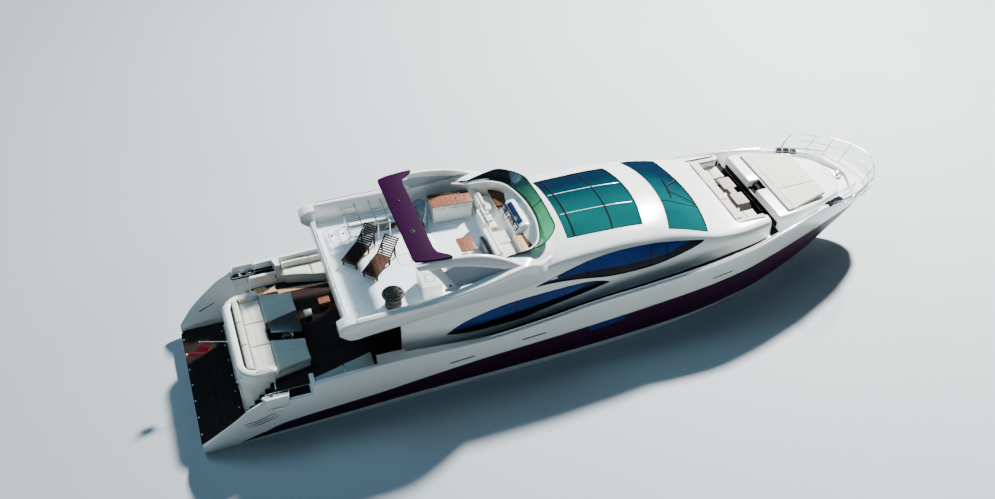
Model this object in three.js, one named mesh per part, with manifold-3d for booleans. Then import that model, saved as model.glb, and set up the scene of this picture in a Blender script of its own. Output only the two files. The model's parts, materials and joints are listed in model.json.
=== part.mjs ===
// Motor yacht with an open stern, a glazed coupe and a flybridge, afloat and at rest.
// Millimetres, +X to the bow, +Y to port, +Z up. The origin is amidships on the waterline.
import * as THREE from 'three';
import { mergeVertices } from 'three/addons/utils/BufferGeometryUtils.js';
import Module from 'manifold-3d';

const wasm = await Module();
wasm.setup();
const { Manifold, Mesh } = wasm;

// Driving dimensions
const SEAT = 0.3;               // gap between pieces that rest on each other
const STERN = -15450;           // aft end of the hull and of its wings
const COCKPIT_AFT = -12400;     // forward side of the transom block
const TRANSOM = -13740;         // aft face of the transom block
const BLADE_AFT = -7600;        // aft end of the superstructure's side blades
const BULKHEAD = -6000;         // glazed aft wall of the saloon
const SALOON_FORWARD = 1500;    // forward end of the low saloon floor
const ROOF_STEP = -1350;        // where the coupe roof rises ahead of the flybridge
const CABIN_FORWARD = 5300;     // forward end of the hollow cabin
const COACHROOF_FORWARD = 8650; // forward end of the coachroof
const PLATFORM_TOP = 450;
const PLATFORM_WELL = 250;
const SOLE = 1930;              // structural cockpit floor
const TEAK = 30;                // thickness of the cockpit deck boards
const FLY_UNDERSIDE = 4470;
const FLY_DECK = 4600;
const WALL = 90;                // superstructure wall
const STERN_HALF = 3030;
const COCKPIT_HALF = 3000;
const SALOON_HALF = 2500;
const SKY = 9000;

// Paint and finish colours
const WHITE = [0xf1f3ee, 0.3, 0.0];
const PLUM = [0x4a0f3d, 0.3, 0.1];
const TEAK_DARK = [0x3a261b, 0.7, 0.0];
const TEAK_WARM = [0x9a5632, 0.6, 0.0];
const BEIGE = [0xd8d0bd, 0.85, 0.0];
const GREY_FABRIC = [0x8b918c, 0.85, 0.0];
const STEEL = [0xc9ced2, 0.25, 1.0];
const BRONZE = [0xa9803f, 0.35, 1.0];
const BLACK = [0x1b1c1e, 0.5, 0.0];
const GREEN_GLASS = [0x2b7d78, 0.05, 0.0];
const BLUE_GLASS = [0x14306b, 0.05, 0.0];
const RED_CLOTH = [0xb02430, 0.8, 0.0];

// Hull stations: keel height, chine half-breadth and height, sheer half-breadth and height
const HULL = {
  columns: ['x', 'keelZ', 'chineY', 'chineZ', 'sheerY', 'sheerZ'],
  rows: [
    [STERN, -700, 2950, -250, 3240, 640],
    [-14900, -720, 2960, -255, 3450, 1240],
    [-14200, -750, 2970, -260, 3570, 1850],
    [-13400, -790, 2980, -260, 3600, 2470],
    [-12440, -830, 2990, -260, 3600, 2840],
    [-11000, -880, 3000, -250, 3590, 2940],
    [-8600, -980, 3000, -230, 3550, 3010],
    [-6400, -1060, 3000, -210, 3490, 2860],
    [-4400, -1120, 3000, -190, 3430, 2720],
    [-2000, -1170, 3000, -170, 3405, 2900],
    [0, -1200, 2980, -150, 3400, 3170],
    [3000, -1240, 2880, -60, 3400, 3400],
    [5000, -1240, 2750, 40, 3400, 3600],
    [7000, -1200, 2500, 200, 3310, 3870],
    [9000, -1080, 2120, 420, 2930, 4100],
    [11000, -820, 1600, 760, 2370, 4210],
    [12500, -440, 1130, 1100, 1910, 4110],
    [13500, -50, 780, 1420, 1570, 3985],
    [14400, 620, 470, 1800, 1210, 3770],
    [15000, 1250, 290, 2120, 910, 3560],
    [15500, 1980, 170, 2480, 640, 3240],
    [15750, 2370, 90, 2640, 380, 2990],
    [15850, 2580, 30, 2690, 60, 2800],
  ],
};

// Walked-on deck inside the bulwark: height, and half-width to the bulwark's inner face
const DECK = {
  columns: ['x', 'deckZ', 'innerY'],
  rows: [
    [BLADE_AFT, 2200, 3130],
    [-4400, 2320, 3190],
    [0, 2800, 3200],
    [3000, 3030, 3200],
    [5000, 3250, 3200],
    [7000, 3500, 3110],
    [9000, 3620, 2730],
    [11000, 3700, 2170],
    [12300, 3710, 1800],
    [12770, 3713, 1620],
    [13330, 3716, 1300],
    [13840, 3718, 680],
    [14050, 3720, 100],
  ],
};

// Superstructure: half-widths and heights at wall foot, waist, shoulder and roof edge, then the crown
const HOUSE = {
  columns: ['x', 'footY', 'waistY', 'waistZ', 'shoulderY', 'shoulderZ', 'edgeY', 'edgeZ', 'crownZ'],
  rows: [
    [BLADE_AFT, 2780, 2800, 3500, 2720, 4300, 2560, 4469.7, 4469.7],
    [ROOF_STEP, 2780, 2810, 3900, 2700, 4300, 2500, 4469.7, 4469.7],
    [ROOF_STEP + 0.1, 2780, 2810, 4000, 2660, 5080, 2250, 5440, 5760],
    [0, 2780, 2820, 4100, 2620, 5120, 2230, 5420, 5740],
    [1500, 2780, 2830, 4150, 2600, 5150, 2200, 5420, 5710],
    [2900, 2780, 2830, 4200, 2600, 5020, 2220, 5330, 5590],
    [4050, 2780, 2830, 4150, 2640, 4860, 2330, 5130, 5490],
    [5000, 2770, 2820, 4100, 2690, 4600, 2450, 4850, 5080],
    [5900, 2750, 2790, 4080, 2700, 4430, 2500, 4590, 4660],
    [7150, 2690, 2720, 4050, 2630, 4330, 2430, 4450, 4520],
    [COACHROOF_FORWARD, 2480, 2470, 4000, 2420, 4300, 2250, 4430, 4480],
  ],
};

// Flybridge moulding: outer top and bottom edges, and the half-width of the well inside
const FLY = {
  columns: ['x', 'topY', 'topZ', 'bottomY', 'bottomZ', 'wellY'],
  rows: [
    [-10040, 3440, 5250, 3400, 4900, 3180],
    [-9650, 3450, 5440, 3380, 4560, 3200],
    [-9100, 3450, 5450, 3300, 4440, 3200],
    [-7000, 3440, 5450, 3150, 4400, 3180],
    [-5600, 3410, 5560, 3050, 4400, 3100],
    [-4200, 3310, 5720, 2960, 4430, 2880],
    [-3200, 3180, 5850, 2880, 4470, 2290],
    [-2400, 3000, 5870, 2820, 4470, 2230],
    [-1900, 2860, 5830, 2780, 4470, 1900],
    [-1600, 2760, 5800, 2760, 4470, 1350],
    [ROOF_STEP - SEAT, 2690, 5760, 2740, 4470, 800],
  ],
};

// Forward trunk that carries the sunpad
const TRUNK = {
  columns: ['x', 'halfY', 'topZ'],
  rows: [
    [9150, 2230, 4290],
    [10000, 2180, 4300],
    [11000, 1930, 4200],
    [12000, 1600, 4110],
    [12780, 1230, 4050],
    [13200, 800, 4010],
    [13400, 350, 3990],
  ],
};

// Side windows, as outlines in X and Z
const UPPER_WINDOW = [
  [-1260, 4330], [1180, 3960], [2710, 3960], [4720, 4390], [5150, 4560],
  [4030, 4800], [2610, 4990], [1350, 5050], [140, 4960], [-700, 4760],
];
const LOWER_WINDOW = [
  [-5900, 2980], [-4410, 2800], [-2710, 2850], [-2030, 3060], [-300, 3400], [960, 3660],
  [-170, 3960], [-1920, 3900], [-3610, 3780], [-5090, 3400],
];

// Linear interpolation of one named column at x
function column(table, name) {
  const at = table.columns.indexOf(name);
  return (x) => {
    const rows = table.rows;
    let i = 0;
    while (i < rows.length - 2 && x > rows[i + 1][0]) i += 1;
    const share = (x - rows[i][0]) / (rows[i + 1][0] - rows[i][0]);
    return rows[i][at] + share * (rows[i + 1][at] - rows[i][at]);
  };
}

// Every station of the tables between two ends, ends included
function stationsBetween(start, end, ...tables) {
  const inside = tables.flatMap((table) => table.rows.map((row) => row[0]));
  const wanted = [start, end, ...inside.filter((x) => x > start && x < end)];
  return [...new Set(wanted)].sort((a, b) => a - b);
}

// Closed geometry to solid, and back
function solid(geometry) {
  const bare = geometry.clone();
  bare.deleteAttribute('normal');
  bare.deleteAttribute('uv');
  const merged = mergeVertices(bare, 1e-3);
  const vertProperties = Float32Array.from(merged.attributes.position.array);
  const triVerts = Uint32Array.from(merged.index.array);
  return new Manifold(new Mesh({ numProp: 3, vertProperties, triVerts }));
}

function geometryOf(body) {
  const mesh = body.getMesh();
  const geometry = new THREE.BufferGeometry();
  geometry.setAttribute('position', new THREE.BufferAttribute(mesh.vertProperties, 3));
  geometry.setIndex(new THREE.BufferAttribute(mesh.triVerts, 1));
  geometry.computeVertexNormals();
  return geometry;
}

function join(...bodies) {
  return bodies.reduce((whole, body) => whole.add(body));
}

// Box from its low and high corners
function box([x0, y0, z0], [x1, y1, z1]) {
  const geometry = new THREE.BoxGeometry(x1 - x0, y1 - y0, z1 - z0);
  geometry.translate((x0 + x1) / 2, (y0 + y1) / 2, (z0 + z1) / 2);
  return solid(geometry);
}

// Box with rounded vertical edges
function pad([x0, y0, z0], [x1, y1, z1], radius) {
  const shape = new THREE.Shape();
  const r = Math.min(radius, (x1 - x0) / 2.01, (y1 - y0) / 2.01);
  shape.moveTo(x0 + r, y0);
  shape.lineTo(x1 - r, y0);
  shape.absarc(x1 - r, y0 + r, r, -Math.PI / 2, 0);
  shape.lineTo(x1, y1 - r);
  shape.absarc(x1 - r, y1 - r, r, 0, Math.PI / 2);
  shape.lineTo(x0 + r, y1);
  shape.absarc(x0 + r, y1 - r, r, Math.PI / 2, Math.PI);
  shape.lineTo(x0, y0 + r);
  shape.absarc(x0 + r, y0 + r, r, Math.PI, 1.5 * Math.PI);
  const geometry = new THREE.ExtrudeGeometry(shape, { depth: z1 - z0, bevelEnabled: false, curveSegments: 3 });
  geometry.translate(0, 0, z0);
  return solid(geometry);
}

// Outline in X and Y, raised between two heights
function slab(outline, z0, z1) {
  const shape = new THREE.Shape(outline.map(([x, y]) => new THREE.Vector2(x, y)));
  const geometry = new THREE.ExtrudeGeometry(shape, { depth: z1 - z0, bevelEnabled: false });
  geometry.translate(0, 0, z0);
  return solid(geometry);
}

// Outline in X and Z, spread between two Y values
function profile(outline, y0, y1) {
  const shape = new THREE.Shape(outline.map(([x, z]) => new THREE.Vector2(x, z)));
  const geometry = new THREE.ExtrudeGeometry(shape, { depth: y1 - y0, bevelEnabled: false });
  geometry.rotateX(Math.PI / 2);
  geometry.translate(0, y1, 0);
  return solid(geometry);
}

// Round bar between two points
function bar(from, to, radius, sides = 10) {
  const a = new THREE.Vector3(...from);
  const b = new THREE.Vector3(...to);
  const geometry = new THREE.CylinderGeometry(radius, radius, a.distanceTo(b), sides);
  const turn = new THREE.Quaternion().setFromUnitVectors(new THREE.Vector3(0, 1, 0), b.clone().sub(a).normalize());
  geometry.applyQuaternion(turn);
  geometry.translate(...a.add(b).multiplyScalar(0.5).toArray());
  return solid(geometry);
}

// Bent rail through several points
function rail(points, radius, steps) {
  const curve = new THREE.CatmullRomCurve3(points.map((p) => new THREE.Vector3(...p)));
  const ring = new THREE.Shape();
  ring.absarc(0, 0, radius, 0, 2 * Math.PI);
  const options = { steps, extrudePath: curve, curveSegments: 3, bevelEnabled: false };
  return solid(new THREE.ExtrudeGeometry(ring, options));
}

// Closed skin over rings that lie at constant X, each ring going round the same way
function loft(rings) {
  const points = [];
  const index = [];
  const count = rings[0].length;
  rings.forEach((ring) => ring.forEach((point) => points.push(...point)));
  for (let i = 0; i < rings.length - 1; i += 1) {
    for (let j = 0; j < count; j += 1) {
      const next = (j + 1) % count;
      const a = i * count + j;
      const b = i * count + next;
      index.push(a, b, a + count, b, b + count, a + count);
    }
  }
  const caps = [[rings[0], 0, true], [rings[rings.length - 1], (rings.length - 1) * count, false]];
  caps.forEach(([ring, offset, reversed]) => {
    const flat = ring.map(([, y, z]) => new THREE.Vector2(y, z));
    THREE.ShapeUtils.triangulateShape(flat, []).forEach(([a, b, c]) => {
      index.push(...(reversed ? [offset + c, offset + b, offset + a] : [offset + a, offset + b, offset + c]));
    });
  });
  const geometry = new THREE.BufferGeometry();
  geometry.setAttribute('position', new THREE.Float32BufferAttribute(points, 3));
  geometry.setIndex(index);
  const body = solid(geometry);
  if (body.volume() < 0) throw new Error('a loft is inside out');
  return body;
}

// Full ring from its port half, which runs from the keel side up to the centreline
function mirrored(x, half) {
  const port = half.map(([y, z]) => [x, y, z]);
  const starboard = half.filter(([y]) => y > 0).map(([y, z]) => [x, -y, z]).reverse();
  return [...port, ...starboard];
}

function mirrorY(body) {
  return body.mirror([0, 1, 0]);
}

// Cut a piece to the surface that it stands on, leaving the seat gap
function seatedOn(piece, support) {
  return piece.subtract(support.translate([0, 0, SEAT]));
}

// Cut a piece clear of its neighbour on every side
function clearOf(piece, neighbour) {
  const moves = [0, 1, 2].flatMap((axis) => [-SEAT, SEAT].map((step) => [0, 1, 2].map((i) => (i === axis ? step : 0))));
  return moves.reduce((rest, move) => rest.subtract(neighbour.translate(move)), piece);
}

const yacht = new THREE.Group();

function place(name, body, [color, roughness, metalness], opacity = 1) {
  const material = new THREE.MeshStandardMaterial({ color, roughness, metalness, opacity, transparent: opacity < 1 });
  const mesh = new THREE.Mesh(body.isBufferGeometry ? body : geometryOf(body), material);
  mesh.name = name;
  yacht.add(mesh);
  return mesh;
}

// The same piece on both sides, drawn to port and mirrored to starboard
function placePair(name, body, finish, opacity) {
  place(`${name}_port`, body, finish, opacity);
  place(`${name}_starboard`, mirrorY(body), finish, opacity);
}

const deckZ = column(DECK, 'deckZ');
const sheerZ = column(HULL, 'sheerZ');

// Hull
const GUNWALE_ROUND = 60;
const TOPSIDE_BULGE = 60;

function hullRing(row) {
  const [x, keelZ, chineY, chineZ, sheerY, topZ] = row;
  const round = Math.min(GUNWALE_ROUND, sheerY / 3);
  const rise = topZ - round - chineZ;
  const side = [0.35, 0.7].map((t) => {
    const bulge = TOPSIDE_BULGE * 4 * t * (1 - t) * Math.min(1, sheerY / 2000);
    return [chineY + (sheerY - chineY) * t + bulge, chineZ + rise * t];
  });
  return mirrored(x, [
    [0, keelZ], [chineY, chineZ], ...side, [sheerY, topZ - round], [sheerY - round, topZ], [0, topZ],
  ]);
}

function deckWell() {
  const innerY = column(DECK, 'innerY');
  return loft(stationsBetween(BLADE_AFT, 14050, DECK).map((x) => {
    const y = innerY(x);
    return mirrored(x, [[0, deckZ(x)], [y, deckZ(x)], [y, SKY], [0, SKY]]);
  }));
}

const GARAGE = { half: 1800, low: 480, high: 1700, forward: -10400 };
const GATE = { aft: -12050, forward: -11250, sill: 2350 };
const BULWARK = 130;
// Where the bulwark inside the stern starts to flare, at each station
const FLARE = [[STERN - 200, 520], [-14900, 700], [-14200, 730], [-13740, 760], [-13400, 1080], [COCKPIT_AFT, 2050]];
const NICHE = { aft: -11100, forward: -8700, floor: 2340, half: 3420 };

function buildHull() {
  const sternWell = loft(FLARE.map(([x, foot]) => {
    const station = Math.max(x, STERN);
    const half = column(HULL, 'sheerY')(station) - BULWARK;
    return mirrored(x, [
      [0, PLATFORM_WELL], [STERN_HALF, PLATFORM_WELL], [STERN_HALF, foot], [half, sheerZ(station)], [half, SKY], [0, SKY],
    ]);
  }));
  const niches = box([NICHE.aft, -NICHE.half, NICHE.floor], [NICHE.forward, NICHE.half, SKY]);
  const cockpit = box([COCKPIT_AFT - 10, -COCKPIT_HALF, SOLE], [BLADE_AFT + 10, COCKPIT_HALF, SKY]);
  const saloon = box([BLADE_AFT - 10, -SALOON_HALF, SOLE], [SALOON_FORWARD, SALOON_HALF, SKY]);
  const garage = box([COCKPIT_AFT - 10, -GARAGE.half, GARAGE.low], [GARAGE.forward, GARAGE.half, GARAGE.high]);
  const gate = box([GATE.aft, -4000, GATE.sill], [GATE.forward, 0, SKY]);
  return loft(HULL.rows.map(hullRing))
    .subtract(join(sternWell, cockpit, niches, saloon, garage, deckWell(), gate));
}

const BEARING_FACE = -900;
const RUDDER = { x: -13750, y: 1250 };

function rudderBearing(side) {
  return bar([RUDDER.x, side * RUDDER.y, BEARING_FACE], [RUDDER.x, side * RUDDER.y, 0], 110, 16);
}

const hull = join(buildHull(), rudderBearing(1), rudderBearing(-1));
place('hull', hull, WHITE);

// Stern: platform, stairs, transom block with the tender garage door
const stairDepth = (TRANSOM - COCKPIT_AFT) / -6;

function buildStairs() {
  const outline = [[TRANSOM, PLATFORM_WELL + SEAT], [TRANSOM, PLATFORM_TOP + SOLE / 8]];
  for (let step = 0; step < 6; step += 1) {
    const height = PLATFORM_TOP + ((SOLE + TEAK - PLATFORM_TOP) * (step + 1)) / 6;
    outline[outline.length - 1][1] = height;
    outline.push([TRANSOM + stairDepth * (step + 1) - (step === 5 ? SEAT : 0), height]);
    outline.push([TRANSOM + stairDepth * (step + 1), height]);
  }
  outline.pop();
  outline.push([COCKPIT_AFT - SEAT, PLATFORM_WELL + SEAT]);
  return profile(outline, 2140, STERN_HALF - SEAT);
}

place('swim_platform', slab([
  [STERN - 50, -2900], [STERN + 120, SEAT - STERN_HALF], [TRANSOM - SEAT, SEAT - STERN_HALF],
  [TRANSOM - SEAT, STERN_HALF - SEAT], [STERN + 120, STERN_HALF - SEAT], [STERN - 50, 2900],
], PLATFORM_WELL + SEAT, PLATFORM_TOP), TEAK_DARK);
placePair('stern_stairs', buildStairs(), TEAK_DARK);

const BLOCK = { half: 2130, top: 2340 };
const HINGE = { x: TRANSOM - 30, z: GARAGE.high + 25, radius: 18, half: 1500 };

function buildTransomBlock() {
  const body = slab([
    [COCKPIT_AFT - SEAT, -BLOCK.half], [COCKPIT_AFT - SEAT, BLOCK.half],
    [-13440, BLOCK.half], [-13660, 1980], [TRANSOM, 1800],
    [TRANSOM, -1800], [-13660, -1980], [-13440, -BLOCK.half],
  ], PLATFORM_WELL + SEAT, BLOCK.top);
  const opening = box([TRANSOM - 10, -1740, GARAGE.low], [COCKPIT_AFT + 10, 1740, GARAGE.high]);
  const ear = (y) => box([HINGE.x - 25, y, HINGE.z - 25], [TRANSOM + 40, y + 40, HINGE.z + 25]);
  return join(body.subtract(opening), ear(HINGE.half + SEAT), ear(-HINGE.half - SEAT - 40));
}

function buildGarageDoor() {
  const clear = 8;
  const panel = box([TRANSOM, -1740 + clear, GARAGE.low + clear], [TRANSOM + 60, 1740 - clear, GARAGE.high - clear]);
  const rod = bar([HINGE.x, -HINGE.half, HINGE.z], [HINGE.x, HINGE.half, HINGE.z], HINGE.radius, 12);
  const strap = (y) => join(
    box([HINGE.x - 6, y, GARAGE.high - 140], [TRANSOM - 6, y + 120, HINGE.z]),
    box([TRANSOM - 7, y, GARAGE.high - 140], [TRANSOM + 10, y + 120, GARAGE.high - 20]),
  );
  return join(panel, rod, strap(-1200), strap(-60), strap(1080));
}

place('transom_block', buildTransomBlock(), WHITE);
place('garage_door', buildGarageDoor(), WHITE);

// Ensign staff on the transom block, with its flag
const STAFF = { foot: [-13600, 0, BLOCK.top + SEAT], tip: [-14780, 0, 2760] };
place('flagstaff', seatedOn(join(
  bar([-13560, 0, 2300], STAFF.tip, 22),
  bar([-13590, 0, BLOCK.top], [-13590, 0, BLOCK.top + 70], 60, 12),
), box([-14000, -200, 2000], [-13000, 200, BLOCK.top])), STEEL);
const FLAG_FACE = -22 - SEAT;
place('flag', profile(
  [[-14740, 2744], [-15420, 2520], [-15440, 1900], [-14500, 2100], [-14300, 2578]], FLAG_FACE - 12, FLAG_FACE,
), RED_CLOTH);

// Cockpit
const SOLE_TOP = SOLE + TEAK;
place('cockpit_sole', slab([
  [COCKPIT_AFT + 5, -2999], [BLADE_AFT - 1, -2999], [BLADE_AFT - 1, -2499], [BULKHEAD - 70, -2499],
  [BULKHEAD - 70, 2499], [BLADE_AFT - 1, 2499], [BLADE_AFT - 1, 2999], [COCKPIT_AFT + 5, 2999],
], SOLE + SEAT, SOLE_TOP), TEAK_DARK);

const ON_SOLE = SOLE_TOP + SEAT;

function buildAftSofa() {
  const onBlock = BLOCK.top + SEAT;
  const centre = box([-12990, -1860, onBlock], [COCKPIT_AFT, 1860, 2420]);
  const back = box([-13300, -2000, onBlock], [-12980, 2000, 2640]);
  const ends = join(
    box([-13000, 1850, onBlock], [COCKPIT_AFT, 2010, 2600]),
    box([-13000, -2010, onBlock], [COCKPIT_AFT, -1850, 2600]),
  );
  const front = box([COCKPIT_AFT + 1, -2090, ON_SOLE], [-12240, 2090, 2420]);
  const lip = box([COCKPIT_AFT - 100, -1860, onBlock], [COCKPIT_AFT + 60, 1860, 2420]);
  const arm = slab([[-12250, 450], [-12250, 2090], [-10950, 1850], [-10950, 770]], ON_SOLE, 2420);
  return join(centre, back, ends, front, lip, arm, mirrorY(arm));
}

place('aft_sofa', buildAftSofa(), BEIGE);
place('aft_table', join(
  slab([[-12160, -290], [-12160, 290], [-10980, 600], [-10980, -600]], 2600, 2650),
  bar([-11500, 0, ON_SOLE], [-11500, 0, 2610], 70, 12),
  bar([-11500, 0, ON_SOLE], [-11500, 0, ON_SOLE + 30], 240, 16),
), TEAK_DARK);

function buildSideSofa() {
  const seat = slab([[-11020, 2850], [-8750, 2280], [-8750, 2990], [-11020, 2990]], ON_SOLE, 2400);
  const shelf = box([-11020, 2980, NICHE.floor + SEAT], [-8750, 3290, 2400]);
  const back = box([-11020, 3280, NICHE.floor + SEAT], [-8750, NICHE.half - SEAT, 2760]);
  return join(seat, shelf, back);
}

placePair('side_sofa', buildSideSofa(), GREY_FABRIC);

// Mooring winch housings on the quarters
function buildMooringPod() {
  const shell = pad([-13150, 3240, 2000], [-12090, 3680, 2900], 150);
  const recess = box([-13000, 3000, 2640], [-12240, 3560, 3200]);
  const drum = bar([-12620, 3420, 2600], [-12620, 3420, 2860], 70, 12);
  const grownHull = hull.add(hull.translate([0, SEAT, 0])).add(hull.translate([0, 0, SEAT]));
  return join(shell.subtract(recess), drum).subtract(grownHull);
}

placePair('mooring_pod', buildMooringPod(), WHITE);

// Superstructure: a hollow shell with its windows cut
function houseRing(x, inset, bottom) {
  const [footY, waistY, waistZ, shoulderY, shoulderZ, edgeY, edgeZ, crownZ] = HOUSE.columns.slice(1)
    .map((name) => column(HOUSE, name)(x));
  const crownRise = crownZ - edgeZ;
  return mirrored(x, [
    [0, bottom],
    [footY - inset, bottom],
    [waistY - inset, waistZ],
    [shoulderY - inset, shoulderZ - inset / 2],
    [edgeY - inset / 2, edgeZ - inset],
    [edgeY * 0.55, edgeZ + crownRise * 0.7 - inset],
    [0, crownZ - inset],
  ]);
}

function houseBody(start, end, inset, bottomOf) {
  return loft(stationsBetween(start, end, HOUSE, DECK).map((x) => houseRing(x, inset, bottomOf(x))));
}

function sideCutter(outline) {
  return profile(outline, 2300, 3200);
}

// Outline of a roof pane with bowed ends
function paneOutline({ aft, aftHalf, aftBow, forward, forwardHalf, forwardBow }) {
  const bowed = (x, half, bow) => [-1, -0.6, -0.2, 0.2, 0.6, 1].map((t) => [x + bow * (1 - t * t), half * t]);
  return [...bowed(forward, forwardHalf, forwardBow), ...bowed(aft, aftHalf, aftBow).reverse()];
}

const ROOF_PANE = { aft: -590, aftHalf: 1720, aftBow: 80, forward: 2630, forwardHalf: 1830, forwardBow: 270 };
const WINDSHIELD = { aft: 3650, aftHalf: 2200, aftBow: 400, forward: 4950, forwardHalf: 2330, forwardBow: 330 };
const LOUNGE = { aft: 7380, half: 2050, floor: 3650 };
const STAIR = { aft: -8300, forward: -6300, low: 1880, high: 2540 };

function buildHouse() {
  const outside = houseBody(BLADE_AFT, COACHROOF_FORWARD, 0, (x) => deckZ(x) + SEAT);
  const low = houseBody(BLADE_AFT, ROOF_STEP, WALL, (x) => deckZ(x) - 100);
  const high = houseBody(ROOF_STEP + WALL, CABIN_FORWARD, WALL, (x) => deckZ(x) - 100);
  const link = box([ROOF_STEP - 10, -2500, 1800], [ROOF_STEP + WALL + 10, 2500, 4300]);
  const beyondAft = box([BLADE_AFT - 10, -2690, 1800], [BLADE_AFT + 10, 2690, 4200]);
  const windows = join(
    sideCutter(UPPER_WINDOW), mirrorY(sideCutter(UPPER_WINDOW)),
    sideCutter(LOWER_WINDOW), mirrorY(sideCutter(LOWER_WINDOW)),
    slab(paneOutline(ROOF_PANE), 5100, SKY), slab(paneOutline(WINDSHIELD), 4350, SKY),
  );
  const lounge = pad([LOUNGE.aft, -LOUNGE.half, LOUNGE.floor], [COACHROOF_FORWARD + 800, LOUNGE.half, SKY], 200);
  const stairWell = box([STAIR.aft, STAIR.low, 4200], [STAIR.forward, STAIR.high, SKY]);
  return outside.subtract(join(low, high, link, beyondAft, windows, lounge, stairWell));
}

const house = buildHouse();
place('superstructure', house, WHITE);

// Glass follows the outer skin, set back inside the wall
const PANE_DEPTH = { outer: 25, inner: 55 };
const paneShell = houseBody(BLADE_AFT, COACHROOF_FORWARD, PANE_DEPTH.outer, () => 1000)
  .subtract(houseBody(BLADE_AFT - 1, COACHROOF_FORWARD + 1, PANE_DEPTH.inner, () => 900));

function pane(cutter) {
  return clearOf(paneShell.intersect(cutter), house);
}

placePair('upper_side_glass', pane(sideCutter(UPPER_WINDOW)), BLUE_GLASS, 0.6);
placePair('lower_side_glass', pane(sideCutter(LOWER_WINDOW)), BLUE_GLASS, 0.6);
place('roof_glass', pane(slab(paneOutline(ROOF_PANE), 5100, SKY)), GREEN_GLASS, 0.6);
place('windshield', pane(slab(paneOutline(WINDSHIELD), 4350, SKY)), GREEN_GLASS, 0.6);

// Aft wall of the saloon, with a fixed pane and a sliding door
const DOORWAY = { half: 1900, low: 2000, high: 4050 };

function buildBulkhead() {
  const wall = join(
    box([BULKHEAD - 60, -2480, SOLE + SEAT], [BULKHEAD + 60, 2480, 4374]),
    box([BULKHEAD - 60, -2600, 2270], [BULKHEAD + 60, 2600, 4150]),
  );
  return wall.subtract(box([BULKHEAD - 80, -DOORWAY.half, DOORWAY.low], [BULKHEAD + 80, DOORWAY.half, DOORWAY.high]));
}

place('saloon_bulkhead', buildBulkhead(), WHITE);
place('saloon_screen', box(
  [BULKHEAD, 0, DOORWAY.low + SEAT], [BULKHEAD + 24, DOORWAY.half - SEAT, DOORWAY.high - SEAT],
), BLUE_GLASS, 0.6);
const doorShoe = (y) => box([BULKHEAD - 42, y, DOORWAY.low + SEAT], [BULKHEAD - 22, y + 80, DOORWAY.low + 20]);
place('saloon_door', join(
  box([BULKHEAD - 46, -1885, DOORWAY.low + 8], [BULKHEAD - 16, 40, DOORWAY.high - 8]),
  doorShoe(-1800), doorShoe(-140),
), BLUE_GLASS, 0.6);

// Saloon and lower helm, seen through the glass
const ON_SALOON = SOLE + SEAT;
place('saloon_sofa', join(
  box([-4600, 1500, ON_SALOON], [-1600, 2350, 2400]),
  box([-4600, 2150, ON_SALOON], [-1600, 2400, 2800]),
), BEIGE);
place('saloon_table', join(
  pad([-3700, -200, 2640], [-2100, 800, 2680], 100),
  box([-3100, 200, ON_SALOON], [-2700, 400, 2650]),
), TEAK_WARM);
place('lower_helm', seatedOn(profile(
  [[3650, 3000], [3350, 3900], [3350, 4150], [3900, 4300], [4500, 4150], [4500, 3000]], -1500, 1500,
), hull), BLACK);

// Flybridge: deck, coaming and overhanging wings as one moulding
function flyRing(x) {
  const [topY, topZ, bottomY, bottomZ] = FLY.columns.slice(1, 5).map((name) => column(FLY, name)(x));
  const flat = Math.min(2600, bottomY - 100);
  return mirrored(x, [
    [0, FLY_UNDERSIDE], [flat, FLY_UNDERSIDE], [bottomY, Math.max(bottomZ, FLY_UNDERSIDE)],
    [(topY + bottomY) / 2 + 60, (topZ + bottomZ) / 2], [topY, topZ - 60], [topY - 60, topZ], [0, topZ],
  ]);
}

function flyWell(aft) {
  const forward = ROOF_STEP - 160;
  const wellY = column(FLY, 'wellY');
  return loft(stationsBetween(aft, forward, FLY).map((x) => mirrored(x, [
    [0, FLY_DECK], [wellY(x), FLY_DECK], [wellY(x) + 40, SKY], [0, SKY],
  ])));
}

function buildFlybridge() {
  const outside = loft(FLY.rows.map(([x]) => flyRing(x)));
  const aftBay = box([-10200, -2950, 3000], [-9720, 2950, SKY]);
  const lowAftEdge = box([-9800, -3000, 4950], [-9500, 3000, SKY]);
  const stairWell = box([STAIR.aft, STAIR.low, 4000], [STAIR.forward, STAIR.high, 4700]);
  return outside.subtract(join(flyWell(-9520), aftBay, lowAftEdge, stairWell));
}

const fly = buildFlybridge();
place('flybridge', fly, WHITE);

// Stair from the cockpit to the flybridge, through its opening
function buildFlyStair() {
  const foot = [-8500, ON_SOLE];
  const head = [STAIR.forward - SEAT, FLY_DECK];
  const beam = profile([
    foot, [foot[0] + 420, ON_SOLE], [head[0], head[1] - 420], head, [head[0] - 120, head[1]],
  ], STAIR.low + 60, STAIR.high - 60);
  const count = 11;
  const treads = Array.from({ length: count }, (_, i) => {
    const share = (i + 1) / (count + 1);
    const x = foot[0] + (head[0] - foot[0]) * share;
    const z = foot[1] + (head[1] - foot[1]) * share;
    return box([x - 90, STAIR.low + 30, z - 20], [x + 150, STAIR.high - 30, z + 20]);
  });
  return join(beam, ...treads);
}

place('fly_stair', buildFlyStair(), TEAK_DARK);

const ON_FLY = FLY_DECK + SEAT;
const RAIL = 20;

function post(x, y, low, high) {
  return bar([x, y, low], [x, y, high], RAIL, 8);
}

const railY = STAIR.low - 40;
const railAft = STAIR.aft - 60;
const railEnd = [railAft, STAIR.high + 60];
place('fly_stair_rail', join(
  bar([railAft, railY, 5450], [-6350, railY, 5450], RAIL, 8),
  bar([railAft, railY, 5050], [-6350, railY, 5050], RAIL, 8),
  ...[railAft, -7300, -6350].map((x) => post(x, railY, ON_FLY, 5460)),
  bar([railAft, railY, 5450], [...railEnd, 5450], RAIL, 8),
  post(...railEnd, ON_FLY, 5460),
), STEEL);

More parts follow.
